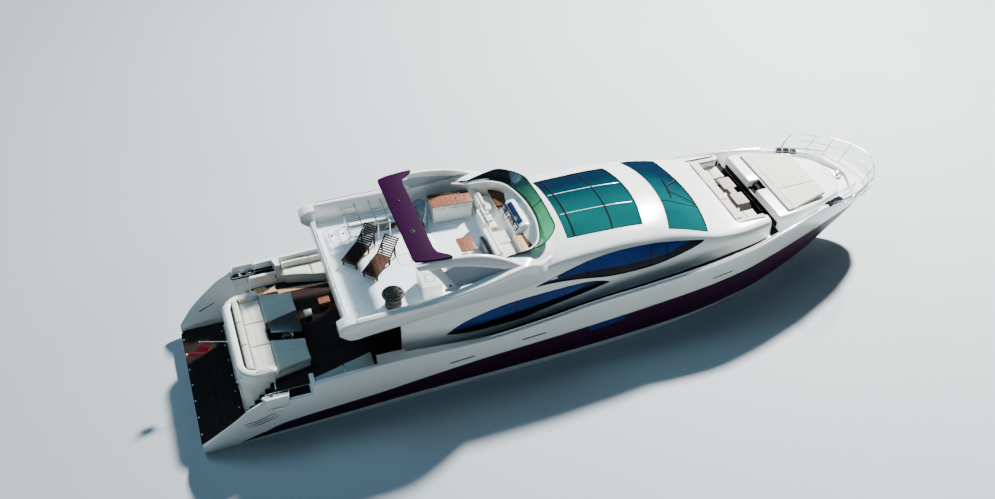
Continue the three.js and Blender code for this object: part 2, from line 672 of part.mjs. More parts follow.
// Radar arch: a plum band across, on two white blades that sweep into the coaming
const ARCH = { aft: -6980, forward: -6080, half: 2480, low: 6700, high: 6800 };
const LEG_LEAN = 0.38;
const LEG_FOOT = { y: 3060, z: 5400 };
const LEG = [
  [-6980, 6700 - SEAT], [-6860, 6500], [-6560, 6360], [-5980, 5500], [-5560, 5500], [-5420, 5560],
  [-3200, 5790], [-2860, 5790], [-3400, 6000], [-4000, 6200], [-4700, 6400], [-5500, 6600],
  [-6100, 6700 - SEAT],
];
const LEG_PANEL = [[-6150, 6300], [-5480, 5640], [-3500, 5860], [-4100, 6080], [-4800, 6280], [-5500, 6420]];

function lean(body) {
  return body.warp((point) => {
    point[1] -= LEG_LEAN * (point[2] - LEG_FOOT.z);
  });
}

function buildArchLeg() {
  const blade = profile(LEG, LEG_FOOT.y - 60, LEG_FOOT.y + 60);
  const recess = profile(LEG_PANEL, LEG_FOOT.y + 10, LEG_FOOT.y + 100);
  return seatedOn(lean(blade.subtract(recess)), fly);
}

placePair('arch_leg', buildArchLeg(), WHITE);
place('arch_band', slab([
  [ARCH.aft, -2300], [ARCH.aft, 2300], [ARCH.aft + 60, ARCH.half], [ARCH.forward + 500, ARCH.half + 150],
  [ARCH.forward + 60, 2200], [ARCH.forward, 1900], [ARCH.forward, -1900], [ARCH.forward + 60, -2200],
  [ARCH.forward + 500, -ARCH.half - 150], [ARCH.aft + 60, -ARCH.half],
], ARCH.low, ARCH.high), PLUM);

// Windscreen of the flybridge: a strip that flares forward
const SCREEN_PATH = [[-3250, 2400], [-2600, 2390], [-2050, 2250], [-1700, 1850], [-1480, 1200], [-1400, 500]];

function buildFlyScreen() {
  const path = [...SCREEN_PATH, ...SCREEN_PATH.map(([x, y]) => [x, -y]).reverse()];
  const inner = path.map(([x, y]) => [x - 26, y * 0.989]).reverse();
  const strip = slab([...path, ...inner], 5700, 6150);
  const slope = profile([[-3300, 5800], [-2050, 6160], [-1000, 6200], [-1000, 6500], [-3300, 6500]], -3000, 3000);
  const flared = strip.subtract(slope).warp((point) => {
    const share = Math.max(0, (point[2] - 5760) / 400);
    point[0] += 330 * share * Math.max(0, 1 - Math.abs(point[1]) / 2600);
  });
  return seatedOn(seatedOn(flared, fly), house);
}

place('fly_windscreen', buildFlyScreen(), GREEN_GLASS, 0.6);

// Flybridge helm
const WHEEL = { x: -2330, y: 300, z: 5480, tilt: 0.9, radius: 190 };
const wheelAxis = [-Math.sin(WHEEL.tilt), 0, Math.cos(WHEEL.tilt)];
const along = (distance) => [WHEEL.x, WHEEL.y, WHEEL.z].map((v, i) => v + wheelAxis[i] * distance);

place('fly_console', join(
  profile([
    [-2330, ON_FLY], [-2330, 5250], [-2150, 5560], [-1900, 5640], [-1660, 5560], [-1660, ON_FLY],
  ], -700, 1080),
  bar(along(-160), along(-40), 60, 16),
), WHITE);

function buildWheel() {
  const rim = solid(new THREE.TorusGeometry(WHEEL.radius, 16, 8, 28));
  const hub = bar([0, 0, -40 + SEAT], [0, 0, 25], 50, 16);
  const spokes = [0, 1, 2].map((i) => {
    const angle = (i * 2 * Math.PI) / 3 - Math.PI / 2;
    return bar([0, 0, 0], [WHEEL.radius * Math.cos(angle), WHEEL.radius * Math.sin(angle), 0], 13, 8);
  });
  return join(rim, hub, ...spokes);
}

const wheel = place('steering_wheel', buildWheel(), BLACK);
wheel.position.set(WHEEL.x, WHEEL.y, WHEEL.z);
wheel.rotation.set(0, -WHEEL.tilt, 0);

// Flybridge furniture
function seatUnit([x0, y0], [x1, y1], seatTop, backTop, backDepth) {
  return join(
    pad([x0, y0, ON_FLY], [x1, y1, seatTop], 60),
    pad([x0 - backDepth, y0, ON_FLY], [x0 + 60, y1, backTop], 50),
  );
}

place('helm_seat', seatUnit([-3200, 60], [-2720, 1060], 5080, 5520, 140), BEIGE);
place('fly_seat_port', seatUnit([-2960, 1200], [-2440, 2180], 5080, 5400, 120), BEIGE);
place('fly_sofa', seatUnit([-3250, -1640], [-2500, -60], 5060, 5420, 250), BEIGE);
place('wet_bar', join(
  slab([[-4950, 1660], [-3300, 1560], [-3300, 2250], [-4950, 2400]], ON_FLY, 5440),
  slab([[-4980, 1630], [-3280, 1530], [-3280, 2270], [-4980, 2420]], 5430, 5480),
), WHITE);
place('fly_table', join(
  pad([-4650, -1000, 5240], [-4000, -200, 5290], 60),
  bar([-4325, -600, ON_FLY], [-4325, -600, 5250], 60, 12),
  bar([-4325, -600, ON_FLY], [-4325, -600, ON_FLY + 25], 220, 16),
), TEAK_WARM);
place('fly_cabinet', pad([-6600, -2350, ON_FLY], [-5850, -1350, 5250], 60), WHITE);
place('wicker_table', join(
  bar([-7750, -2260, ON_FLY], [-7750, -2260, 4900], 330, 20),
  bar([-7750, -2260, 4890], [-7750, -2260, 5290], 420, 20),
), BLACK);

// Two slatted loungers, their backs raised
const LOUNGER = { length: 1960, width: 620, deck: 330, back: 0.62 };

function buildLounger([x, y], heading) {
  const { length, width, deck, back } = LOUNGER;
  const hinge = length * back;
  const frame = join(
    box([0, -width / 2, deck - 50], [hinge + 60, width / 2, deck]),
    profile([[hinge, deck - 50], [length - 60, deck + 420], [length - 90, deck + 460], [hinge - 20, deck]],
      -width / 2, width / 2),
    ...[120, hinge - 120].flatMap((x0) => [-1, 1].map((side) => box(
      [x0 - 30, side * (width / 2 - 40) - 30, 0], [x0 + 30, side * (width / 2 - 40) + 30, deck - 20],
    ))),
    ...[-1, 1].map((side) => box(
      [length - 420, side * (width / 2 - 40) - 25, 0], [length - 360, side * (width / 2 - 40) + 25, deck + 230],
    )),
  );
  return frame.rotate([0, 0, heading]).translate([x, y, ON_FLY]);
}

place('lounger_port', buildLounger([-8830, 180], 46), TEAK_WARM);
place('lounger_starboard', buildLounger([-8250, -700], 46), TEAK_WARM);

// Foredeck lounge, ahead of the windshield
const ON_LOUNGE = LOUNGE.floor + SEAT;

function buildBowSofa() {
  const base = box([LOUNGE.aft + SEAT, -LOUNGE.half + 210, ON_LOUNGE], [7800, LOUNGE.half - 210, 4100]);
  const arm = box([7700, 1150, ON_LOUNGE], [8450, LOUNGE.half - SEAT, 4100]);
  const back = box([LOUNGE.aft + 1, -LOUNGE.half + 210, 4000], [7500, LOUNGE.half - 210, 4400]);
  return join(base, back, arm, mirrorY(arm));
}

place('bow_sofa', buildBowSofa(), BEIGE);
placePair('bow_table', join(
  box([7860, 190, 4240], [8450, 900, 4280]),
  bar([8150, 545, ON_LOUNGE], [8150, 545, 4250], 50, 12),
  bar([8150, 545, ON_LOUNGE], [8150, 545, ON_LOUNGE + 20], 160, 12),
), TEAK_WARM);

// Trunk and sunpad
function trunkLoft(start, end, lift, narrow) {
  const halfY = column(TRUNK, 'halfY');
  const topZ = column(TRUNK, 'topZ');
  return loft(stationsBetween(start, end, TRUNK, DECK).map((x) => {
    const y = halfY(x) - narrow;
    const low = lift ? topZ(x) + SEAT : deckZ(x) + SEAT;
    const high = topZ(x) + lift;
    const bevel = lift ? 10 : 90;
    return mirrored(x, [
      [0, low], [lift ? y : y + 60, low], [y, high - bevel * (lift ? 4 : 1)], [y - bevel, high], [0, high],
    ]);
  }));
}

const steps = join(
  box([9100, -300, 3960], [9420, 300, SKY]),
  box([9100, -300, 4130], [9650, 300, SKY]),
);
place('trunk', trunkLoft(9150, 13400, 0, 0).subtract(steps), WHITE);
place('sunpad', trunkLoft(9700, 11930, 100, 200), BEIGE);

// Bow rail and windlass
function railPoint(x, side, height, outward) {
  const y = column(HULL, 'sheerY')(x) - 110 + outward;
  return [x, side * y, sheerZ(x) + height];
}

function buildBowRail() {
  const top = [10800, 12200, 13400, 14500, 15150].map((x) => railPoint(x, 1, 640, 180));
  const nose = [[15700, 480, 4020], [15830, 0, 3960], [15700, -480, 4020]];
  const mirrorTop = top.map(([x, y, z]) => [x, -y, z]).reverse();
  const posts = [10800, 12200, 13400, 14500, 15150].flatMap((x) => [-1, 1].map((side) => bar(
    railPoint(x, side, -60, 0), railPoint(x, side, 640, 180), 17, 8,
  )));
  return join(rail([...top, ...nose, ...mirrorTop], RAIL, 44), ...posts);
}

place('bow_rail', seatedOn(buildBowRail(), hull), STEEL);
place('windlass', seatedOn(join(
  pad([13560, -200, 3600], [13860, 200, 3820], 60),
  bar([13700, 0, 3700], [13700, 0, 4000], 85, 16),
), hull), STEEL);

// Running gear: shaft with its strut, propeller and rudder on each side
const SHAFT = { y: 1250, x: -12500, z: -1420, forwardX: -8900, forwardZ: -600, radius: 50 };
const shaftSlope = Math.atan2(SHAFT.forwardZ - SHAFT.z, SHAFT.forwardX - SHAFT.x);

function buildShaft() {
  const shaft = bar([SHAFT.x, SHAFT.y, SHAFT.z], [SHAFT.forwardX, SHAFT.y, SHAFT.forwardZ], SHAFT.radius, 12);
  const strut = slab([[-12460, 1235], [-12200, 1222], [-11980, 1250], [-12200, 1278], [-12460, 1265]], -1420, -300);
  return join(shaft, strut).subtract(hull.translate([0, 0, -SEAT]));
}

function buildPropeller() {
  const radius = 480;
  const hub = bar([-260, 0, 0], [-SEAT, 0, 0], 85, 16);
  const cone = solid(new THREE.ConeGeometry(84, 110, 16).rotateZ(Math.PI / 2).translate(-312, 0, 0));
  const ear = new THREE.Shape();
  ear.moveTo(-60, 50);
  ear.bezierCurveTo(-190, 220, -180, 400, -20, radius);
  ear.bezierCurveTo(140, 430, 150, 220, 60, 50);
  const blade = new THREE.ExtrudeGeometry(ear, { depth: 22, bevelEnabled: false, curveSegments: 5 });
  blade.translate(0, 0, -11);
  blade.rotateY(THREE.MathUtils.degToRad(35));
  blade.translate(-130, 0, 0);
  const blades = [0, 1, 2, 3, 4].map((i) => solid(blade.clone().rotateX((i * 2 * Math.PI) / 5)));
  return join(hub, cone, ...blades);
}

function buildRudder() {
  const blade = slab([[220, 0], [120, 34], [-380, 8], [-380, -8], [120, -34]], -1850, -990)
    .translate([RUDDER.x, RUDDER.y, 0]);
  const stock = bar([RUDDER.x, RUDDER.y, -1100], [RUDDER.x, RUDDER.y, BEARING_FACE - SEAT], 55, 16);
  return join(blade, stock);
}

placePair('shaft', buildShaft(), STEEL);
placePair('rudder', buildRudder(), BRONZE);
[['port', 1], ['starboard', -1]].forEach(([side, sign]) => {
  const propeller = place(`propeller_${side}`, buildPropeller(), BRONZE);
  propeller.position.set(SHAFT.x, sign * SHAFT.y, SHAFT.z);
  propeller.rotation.set(0, -shaftSlope, 0);
});

export default yacht;
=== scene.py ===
# Motor yacht afloat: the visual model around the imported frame, the camera, the light and the floor.
# Metres, +X to the bow, +Y to port, +Z up, the waterline at zero.
import json
import math
import random

import bmesh
import bpy
import numpy as np
from mathutils import Matrix, Vector, noise

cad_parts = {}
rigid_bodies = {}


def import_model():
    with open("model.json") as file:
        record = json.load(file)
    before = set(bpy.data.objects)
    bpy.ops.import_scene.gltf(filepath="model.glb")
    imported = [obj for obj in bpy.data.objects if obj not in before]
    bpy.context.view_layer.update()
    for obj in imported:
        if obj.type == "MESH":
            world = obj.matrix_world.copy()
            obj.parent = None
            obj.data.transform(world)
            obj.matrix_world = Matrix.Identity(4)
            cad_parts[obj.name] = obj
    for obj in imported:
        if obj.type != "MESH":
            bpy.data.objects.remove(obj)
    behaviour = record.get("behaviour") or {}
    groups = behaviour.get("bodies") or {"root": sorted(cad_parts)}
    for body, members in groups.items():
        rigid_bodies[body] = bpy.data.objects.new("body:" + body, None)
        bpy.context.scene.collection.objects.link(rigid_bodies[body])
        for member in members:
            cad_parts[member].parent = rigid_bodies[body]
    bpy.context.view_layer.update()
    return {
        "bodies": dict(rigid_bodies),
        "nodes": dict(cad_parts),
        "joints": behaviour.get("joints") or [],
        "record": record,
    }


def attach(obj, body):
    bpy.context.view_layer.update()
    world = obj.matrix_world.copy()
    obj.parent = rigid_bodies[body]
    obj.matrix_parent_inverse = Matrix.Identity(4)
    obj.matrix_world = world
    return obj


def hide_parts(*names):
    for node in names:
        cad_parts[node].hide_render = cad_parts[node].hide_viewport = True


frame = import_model()
random.seed(31)

PI = math.pi


# Camera at the photograph's view
def place_camera():
    azimuth, elevation, roll = -0.394844, 0.747501, 0.0494757
    focal_px, frame_px, sensor_mm = 968.815, 995, 36
    eye = (-13.8117, -26.5214, 30.6202)
    back = Vector((math.sin(azimuth) * math.cos(elevation), -math.cos(azimuth) * math.cos(elevation),
                   math.sin(elevation)))
    right = (-back).cross(Vector((0, 0, 1))).normalized()
    up = right.cross(-back)
    c, s = math.cos(roll), math.sin(roll)
    x_axis = c * right + s * up
    y_axis = c * up - s * right
    camera = bpy.data.objects.new("photo_camera", bpy.data.cameras.new("photo_camera"))
    camera.data.sensor_width = sensor_mm
    camera.data.lens = focal_px / frame_px * sensor_mm
    camera.data.clip_end = 500
    rotation = Matrix((x_axis, y_axis, back)).transposed().to_4x4()
    camera.matrix_world = Matrix.Translation(eye) @ rotation
    bpy.context.scene.collection.objects.link(camera)
    bpy.context.scene.camera = camera


place_camera()


# Station tables, read smoothly between their rows
class Stations:
    def __init__(self, names, rows):
        rows = np.array(rows, float)
        self.x = rows[:, 0]
        self.columns = {name: rows[:, i + 1] for i, name in enumerate(names)}
        self.slopes = {name: self.monotone_slopes(values) for name, values in self.columns.items()}

    def monotone_slopes(self, values):
        step = np.diff(self.x)
        rise = np.diff(values) / step
        slope = np.zeros(len(values))
        slope[0], slope[-1] = rise[0], rise[-1]
        for i in range(1, len(values) - 1):
            if rise[i - 1] * rise[i] > 0:
                w1 = 2 * step[i] + step[i - 1]
                w2 = step[i] + 2 * step[i - 1]
                slope[i] = (w1 + w2) / (w1 / rise[i - 1] + w2 / rise[i])
        return slope

    def at(self, name, x):
        x = min(max(x, self.x[0]), self.x[-1])
        i = min(max(int(np.searchsorted(self.x, x, side="right")) - 1, 0), len(self.x) - 2)
        h = self.x[i + 1] - self.x[i]
        t = (x - self.x[i]) / h
        values, slopes = self.columns[name], self.slopes[name]
        return ((2 * t**3 - 3 * t**2 + 1) * values[i] + (t**3 - 2 * t**2 + t) * h * slopes[i]
                + (3 * t**2 - 2 * t**3) * values[i + 1] + (t**3 - t**2) * h * slopes[i + 1])


HULL = Stations(["keel_z", "chine_y", "chine_z", "sheer_y", "sheer_z"], [
    [-15.45, -0.70, 2.95, -0.25, 3.24, 0.64],
    [-14.9, -0.72, 2.96, -0.255, 3.45, 1.24],
    [-14.2, -0.75, 2.97, -0.26, 3.57, 1.85],
    [-13.4, -0.79, 2.98, -0.26, 3.60, 2.47],
    [-12.44, -0.83, 2.99, -0.26, 3.60, 2.84],
    [-11.0, -0.88, 3.00, -0.25, 3.59, 2.94],
    [-8.6, -0.98, 3.00, -0.23, 3.55, 3.01],
    [-6.4, -1.06, 3.00, -0.21, 3.49, 2.86],
    [-4.4, -1.12, 3.00, -0.19, 3.43, 2.72],
    [-2.0, -1.17, 3.00, -0.17, 3.405, 2.90],
    [0.0, -1.20, 2.98, -0.15, 3.40, 3.17],
    [3.0, -1.24, 2.88, -0.06, 3.40, 3.40],
    [5.0, -1.24, 2.75, 0.04, 3.40, 3.60],
    [7.0, -1.20, 2.50, 0.20, 3.31, 3.87],
    [9.0, -1.08, 2.12, 0.42, 2.93, 4.10],
    [11.0, -0.82, 1.60, 0.76, 2.37, 4.21],
    [12.5, -0.44, 1.13, 1.10, 1.91, 4.11],
    [13.5, -0.05, 0.78, 1.42, 1.57, 3.985],
    [14.4, 0.62, 0.47, 1.80, 1.21, 3.77],
    [15.0, 1.25, 0.28, 2.02, 0.91, 3.56],
    [15.5, 1.92, 0.14, 2.24, 0.62, 3.24],
    [15.75, 2.37, 0.07, 2.50, 0.36, 2.99],
    [15.85, 2.58, 0.03, 2.64, 0.06, 2.80],
])

STRIPE = Stations(["low", "high"], [
    [-14.2, 0.14, 0.15],
    [-13.3, 0.17, 0.50],
    [-12.4, 0.20, 0.88],
    [-10.3, 0.27, 1.08],
    [-8.7, 0.32, 1.18],
    [-7.1, 0.36, 1.38],
    [-4.6, 0.36, 1.62],
    [-0.2, 0.36, 1.85],
    [4.5, 0.36, 2.22],
    [7.7, 0.38, 2.55],
    [10.0, 0.42, 2.80],
    [12.5, 0.50, 2.85],
    [13.5, 0.55, 2.75],
    [14.4, 0.62, 2.55],
    [15.0, 1.25, 2.36],
    [15.5, 1.92, 2.28],
    [15.85, 2.58, 2.66],
])

DECK = Stations(["z", "inner_y"], [
    [-7.6, 2.20, 3.13],
    [-4.4, 2.32, 3.19],
    [0.0, 2.80, 3.20],
    [3.0, 3.03, 3.20],
    [5.0, 3.25, 3.20],
    [7.0, 3.50, 3.11],
    [9.0, 3.62, 2.73],
    [11.0, 3.70, 2.17],
    [12.3, 3.71, 1.80],
    [12.77, 3.713, 1.62],
    [13.33, 3.716, 1.30],
    [13.84, 3.718, 0.68],
    [14.05, 3.72, 0.10],
])

HOUSE = Stations(["foot_y", "waist_y", "waist_z", "shoulder_y", "shoulder_z", "edge_y", "edge_z", "crown_z"],
                 [
    [-7.6, 2.78, 2.80, 3.50, 2.74, 4.20, 2.60, 4.40, 4.44],
    [-3.4, 2.78, 2.81, 3.70, 2.74, 4.25, 2.60, 4.42, 4.44],
    [-2.2, 2.78, 2.81, 3.85, 2.70, 4.75, 2.52, 4.98, 5.20],
    [-1.35, 2.78, 2.81, 4.00, 2.66, 5.02, 2.42, 5.28, 5.70],
    [0.0, 2.78, 2.82, 4.10, 2.62, 5.12, 2.30, 5.38, 5.74],
    [1.5, 2.78, 2.83, 4.15, 2.60, 5.15, 2.24, 5.40, 5.71],
    [2.9, 2.78, 2.83, 4.20, 2.60, 5.02, 2.24, 5.31, 5.59],
    [4.05, 2.78, 2.83, 4.15, 2.64, 4.86, 2.34, 5.12, 5.47],
    [5.0, 2.77, 2.82, 4.10, 2.69, 4.60, 2.45, 4.85, 5.08],
    [5.9, 2.75, 2.79, 4.08, 2.70, 4.43, 2.50, 4.59, 4.68],
    [7.15, 2.69, 2.72, 4.05, 2.63, 4.33, 2.43, 4.45, 4.52],
    [8.65, 2.48, 2.47, 4.00, 2.42, 4.30, 2.25, 4.43, 4.48],
])

FLY = Stations(["top_y", "top_z", "bottom_y", "bottom_z", "well_y"], [
    [-10.04, 3.44, 5.25, 3.40, 4.90, 3.18],
    [-9.65, 3.45, 5.44, 3.38, 4.56, 3.20],
    [-9.1, 3.45, 5.45, 3.30, 4.44, 3.20],
    [-7.0, 3.44, 5.45, 3.15, 4.40, 3.18],
    [-5.6, 3.41, 5.56, 3.05, 4.40, 3.10],
    [-4.2, 3.31, 5.72, 2.96, 4.43, 2.88],
    [-3.2, 3.16, 5.84, 2.90, 4.45, 2.32],
    [-2.4, 2.92, 5.84, 2.84, 4.46, 2.23],
    [-1.9, 2.74, 5.80, 2.80, 4.46, 1.90],
    [-1.6, 2.60, 5.76, 2.77, 4.46, 1.35],
    [-1.3503, 2.50, 5.72, 2.74, 4.46, 0.80],
])

TRUNK = Stations(["half_y", "top_z"], [
    [9.15, 2.23, 4.29],
    [10.0, 2.18, 4.30],
    [11.0, 1.93, 4.20],
    [12.0, 1.60, 4.11],
    [12.78, 1.23, 4.05],
    [13.2, 0.80, 4.01],
    [13.4, 0.35, 3.99],
])


def smooth_step(low, high, x):
    t = min(max((x - low) / (high - low), 0.0), 1.0)
    return t * t * (3 - 2 * t)


# Meshes are gathered in one builder and turned into a piece at the end
def rotation_to(axis):
    return Vector((0, 0, 1)).rotation_difference(Vector(axis)).to_matrix()


def rounded_outline(points, radius, steps=5):
    """Outline with each corner turned into an arc; radius may be one number or one per corner."""
    count = len(points)
    out = []
    for i, corner in enumerate(points):
        r = radius[i] if hasattr(radius, "__len__") else radius
        p = np.array(corner, float)
        to_last = np.array(points[i - 1], float) - p
        to_next = np.array(points[(i + 1) % count], float) - p
        last_length, next_length = np.linalg.norm(to_last), np.linalg.norm(to_next)
        to_last, to_next = to_last / last_length, to_next / next_length
        half = 0.5 * math.acos(float(np.clip(np.dot(to_last, to_next), -1, 1)))
        if r <= 0 or half > 0.5 * PI - 0.02:
            out.append(tuple(p))
            continue
        reach = min(r / math.tan(half), 0.49 * last_length, 0.49 * next_length)
        true_radius = reach * math.tan(half)
        middle = (to_last + to_next) / np.linalg.norm(to_last + to_next)
        centre = p + middle * (true_radius / math.sin(half))
        start, end = p + to_last * reach - centre, p + to_next * reach - centre
        a0 = math.atan2(start[1], start[0])
        turn = math.atan2(end[1], end[0]) - a0
        turn = (turn + PI) % (2 * PI) - PI
        for k in range(steps + 1):
            a = a0 + turn * k / steps
            out.append((centre[0] + true_radius * math.cos(a), centre[1] + true_radius * math.sin(a)))
    return out


def resample(path, spacing, closed=False):
    """Points at an even spacing along a polyline."""
    points = np.array(path, float)
    if closed:
        points = np.vstack([points, points[:1]])
    lengths = np.r_[0, np.cumsum(np.linalg.norm(np.diff(points, axis=0), axis=1))]
    count = max(2, int(round(lengths[-1] / spacing)) + 1)
    wanted = np.linspace(0, lengths[-1], count)
    out = np.stack([np.interp(wanted, lengths, points[:, k]) for k in range(points.shape[1])], axis=1)
    return out[:-1] if closed else out


def spline(points, per_span=8, closed=False):
    """Smooth curve through the points."""
    p = np.array(points, float)
    n = len(p)
    out = []
    spans = n if closed else n - 1
    for i in range(spans):
        if closed:
            a, b, c, d = p[(i - 1) % n], p[i], p[(i + 1) % n], p[(i + 2) % n]
        else:
            b, c = p[i], p[i + 1]
            a = p[i - 1] if i > 0 else 2 * b - c
            d = p[i + 2] if i + 2 < n else 2 * c - b
        for k in range(per_span):
            t = k / per_span
            out.append(0.5 * (2 * b + (c - a) * t + (2 * a - 5 * b + 4 * c - d) * t**2
                              + (3 * b - a - 3 * c + d) * t**3))
    if not closed:
        out.append(p[-1])
    return np.array(out)


def circle(radius, sides=12, squash=1.0):
    return [(radius * math.cos(2 * PI * k / sides),
             squash * radius * math.sin(2 * PI * k / sides)) for k in range(sides)]


class Build:
    def __init__(self):
        self.vertices = []
        self.faces = []
        self.face_material = []

    def add(self, vertices, faces, material=0, transform=None):
        offset = len(self.vertices)
        if transform is not None:
            vertices = [transform @ Vector(v) for v in vertices]
        self.vertices.extend(tuple(float(c) for c in v) for v in vertices)
        for i, face in enumerate(faces):
            self.faces.append([offset + k for k in face])
            self.face_material.append(material[i] if hasattr(material, "__len__") else material)
        return self

    def grid(self, rows, ring=False, loop=False, material=0, caps=False, transform=None):
        """Skin over rows of points; ring closes each row, loop closes the last row to the first."""
        n, m = len(rows), len(rows[0])
        points = [p for row in rows for p in row]
        faces, materials = [], []
        for i in range(n if loop else n - 1):
            for j in range(m if ring else m - 1):
                a, b = i * m + j, i * m + (j + 1) % m
                c, d = ((i + 1) % n) * m + (j + 1) % m, ((i + 1) % n) * m + j
                faces.append([a, b, c, d])
                materials.append(material(i, j) if callable(material) else material)
        if caps:
            faces.append(list(range(m)))
            faces.append([(n - 1) * m + j for j in range(m)])
            end = material(0, 0) if callable(material) else material
            materials.extend([end, end])
        return self.add(points, faces, materials, transform)

    def sweep(self, path, profile, up=(0, 0, 1), closed=False, material=0, scale=None, caps=True):
        """Profile (across, upward) carried along a path."""
        p = np.array(path, float)
        n = len(p)
        up = np.array(up, float)
        rows = []
        for i in range(n):
            ahead = p[(i + 1) % n] if closed or i < n - 1 else p[i]
            behind = p[i - 1] if closed or i > 0 else p[i]
            tangent = (ahead - behind) / max(np.linalg.norm(ahead - behind), 1e-9)
            across = np.cross(tangent, up)
            if np.linalg.norm(across) < 1e-6:
                across = np.cross(tangent, np.array([1.0, 0.3, 0.2]))
            across /= np.linalg.norm(across)
            raised = np.cross(across, tangent)
            k = scale[i] if scale is not None else 1.0
            rows.append([p[i] + k * (a * across + b * raised) for a, b in profile])
        return self.grid(rows, ring=True, loop=closed, material=material, caps=caps and not closed)

    def tube(self, path, radius, sides=12, closed=False, material=0, scale=None):
        """Round bar along a path, its section turned as little as possible."""
        p = np.array(path, float)
        n = len(p)
        rows = []
        normal = None
        for i in range(n):
            ahead = p[(i + 1) % n] if closed or i < n - 1 else p[i]
            behind = p[i - 1] if closed or i > 0 else p[i]
            tangent = (ahead - behind) / max(np.linalg.norm(ahead - behind), 1e-9)
            if normal is None:
                seed = np.array([0, 0, 1.0]) if abs(tangent[2]) < 0.9 else np.array([1.0, 0, 0])
                normal = np.cross(tangent, seed)
            normal = normal - tangent * np.dot(normal, tangent)
            normal /= np.linalg.norm(normal)
            side = np.cross(tangent, normal)
            r = radius * (scale[i] if scale is not None else 1.0)
            rows.append([p[i] + r * (a * normal + b * side) for a, b in circle(1.0, sides)])
        return self.grid(rows, ring=True, loop=closed, material=material, caps=not closed)

    def lathe(self, centre, profile, axis=(0, 0, 1), sides=24, material=0):
        """Closed turned body from (radius, height) points that start and end on the axis or not."""
        turn = rotation_to(axis)
        rows = []
        for r, z in profile:
            rows.append([Vector(centre) + turn @ Vector((max(r, 1e-5) * math.cos(2 * PI * k / sides),
                                                         max(r, 1e-5) * math.sin(2 * PI * k / sides),
                                                         z)) for k in range(sides)])
        return self.grid(rows, ring=True, caps=True, material=material)

    def prism(self, outline, low, high, bevel=0.004, segments=2, material=0, transform=None):
        """Outline in X and Y raised between two heights, its edges rounded."""
        bm = bmesh.new()
        base = bm.faces.new([bm.verts.new((x, y, low)) for x, y in outline])
        top = bmesh.ops.extrude_face_region(bm, geom=[base])
        raised = [v for v in top["geom"] if isinstance(v, bmesh.types.BMVert)]
        bmesh.ops.translate(bm, verts=raised, vec=(0, 0, high - low))
        bmesh.ops.recalc_face_normals(bm, faces=bm.faces[:])
        if bevel > 0:
            edges = [e for e in bm.edges if len(e.link_faces) == 2 and e.calc_face_angle(0) > 0.6]
            bmesh.ops.bevel(bm, geom=edges, offset=bevel, segments=segments, profile=0.5, affect="EDGES",
                            clamp_overlap=True)
        self.take(bm, material, transform)
        return self

    def box(self, low, high, bevel=0.006, segments=2, material=0, transform=None):
        outline = [(low[0], low[1]), (high[0], low[1]), (high[0], high[1]), (low[0], high[1])]
        return self.prism(outline, low[2], high[2], bevel, segments, material, transform)

    def wall(self, outline, low, high, bevel=0.006, segments=2, material=0):
        """Outline in X and Z, spread between two Y values."""
        turn = Matrix(((1, 0, 0, 0), (0, 0, 1, 0), (0, 1, 0, 0), (0, 0, 0, 1)))
        return self.prism(outline, low, high, bevel, segments, material, turn)

    def take(self, bm, material=0, transform=None):
        bm.verts.index_update()
        self.add([v.co.copy() for v in bm.verts], [[v.index for v in f.verts] for f in bm.faces], material,
                 transform)
        bm.free()

    def mirror(self):
        """The same shape on the other side of the centreline as well."""
        vertices = [(x, -y, z) for x, y, z in self.vertices]
        faces = [list(reversed(face)) for face in self.faces]
        return self.add(vertices, faces, list(self.face_material))

    def mirrored_only(self):
        self.vertices = [(x, -y, z) for x, y, z in self.vertices]
        self.faces = [list(reversed(face)) for face in self.faces]
        return self

    def object(self, name, materials, sharp=32, closed=True):
        mesh = bpy.data.meshes.new(name)
        bm = bmesh.new()
        made = [bm.verts.new(v) for v in self.vertices]
        for face, material in zip(self.faces, self.face_material):
            try:
                made_face = bm.faces.new([made[k] for k in face])
            except ValueError:
                continue
            made_face.material_index = material
            made_face.smooth = True
        bmesh.ops.remove_doubles(bm, verts=bm.verts[:], dist=2e-5)
        bmesh.ops.dissolve_degenerate(bm, edges=bm.edges[:], dist=1e-5)
        loose = [v for v in bm.verts if not v.link_faces]
        bmesh.ops.delete(bm, geom=loose, context="VERTS")
        if closed:
            bmesh.ops.recalc_face_normals(bm, faces=bm.faces[:])
        bm.to_mesh(mesh)
        bm.free()
        for material in materials:
            mesh.materials.append(material)
        mesh.set_sharp_from_angle(angle=math.radians(sharp))
        obj = bpy.data.objects.new(name, mesh)
        bpy.context.scene.collection.objects.link(obj)
        return obj

    def piece(self, name, materials, slot, body="root", replaces=(), sharp=32, closed=True):
        obj = self.object(name, materials if isinstance(materials, list) else [materials], sharp, closed)
        return settle(obj, slot, body, replaces)


def settle(obj, slot, body="root", replaces=()):
    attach(obj, body)
    if replaces:
        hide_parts(*replaces)
    return obj


def cut(obj, tool, sharp):
    """Takes the tool's volume out of the object's mesh and removes the tool."""
    modifier = obj.modifiers.new("cut", "BOOLEAN")
    modifier.operation = "DIFFERENCE"
    modifier.solver = "EXACT"
    modifier.object = tool
    bpy.context.view_layer.update()
    result = bpy.data.meshes.new_from_object(obj.evaluated_get(bpy.context.evaluated_depsgraph_get()))
    obj.modifiers.clear()
    bm = bmesh.new()
    bm.from_mesh(result)
    bmesh.ops.remove_doubles(bm, verts=bm.verts[:], dist=1e-5)
    bmesh.ops.recalc_face_normals(bm, faces=bm.faces[:])
    bm.to_mesh(result)
    bm.free()
    old = obj.data
    obj.data = result
    bpy.data.meshes.remove(old)
    result.set_sharp_from_angle(angle=math.radians(sharp))
    bpy.data.objects.remove(tool)
    return obj


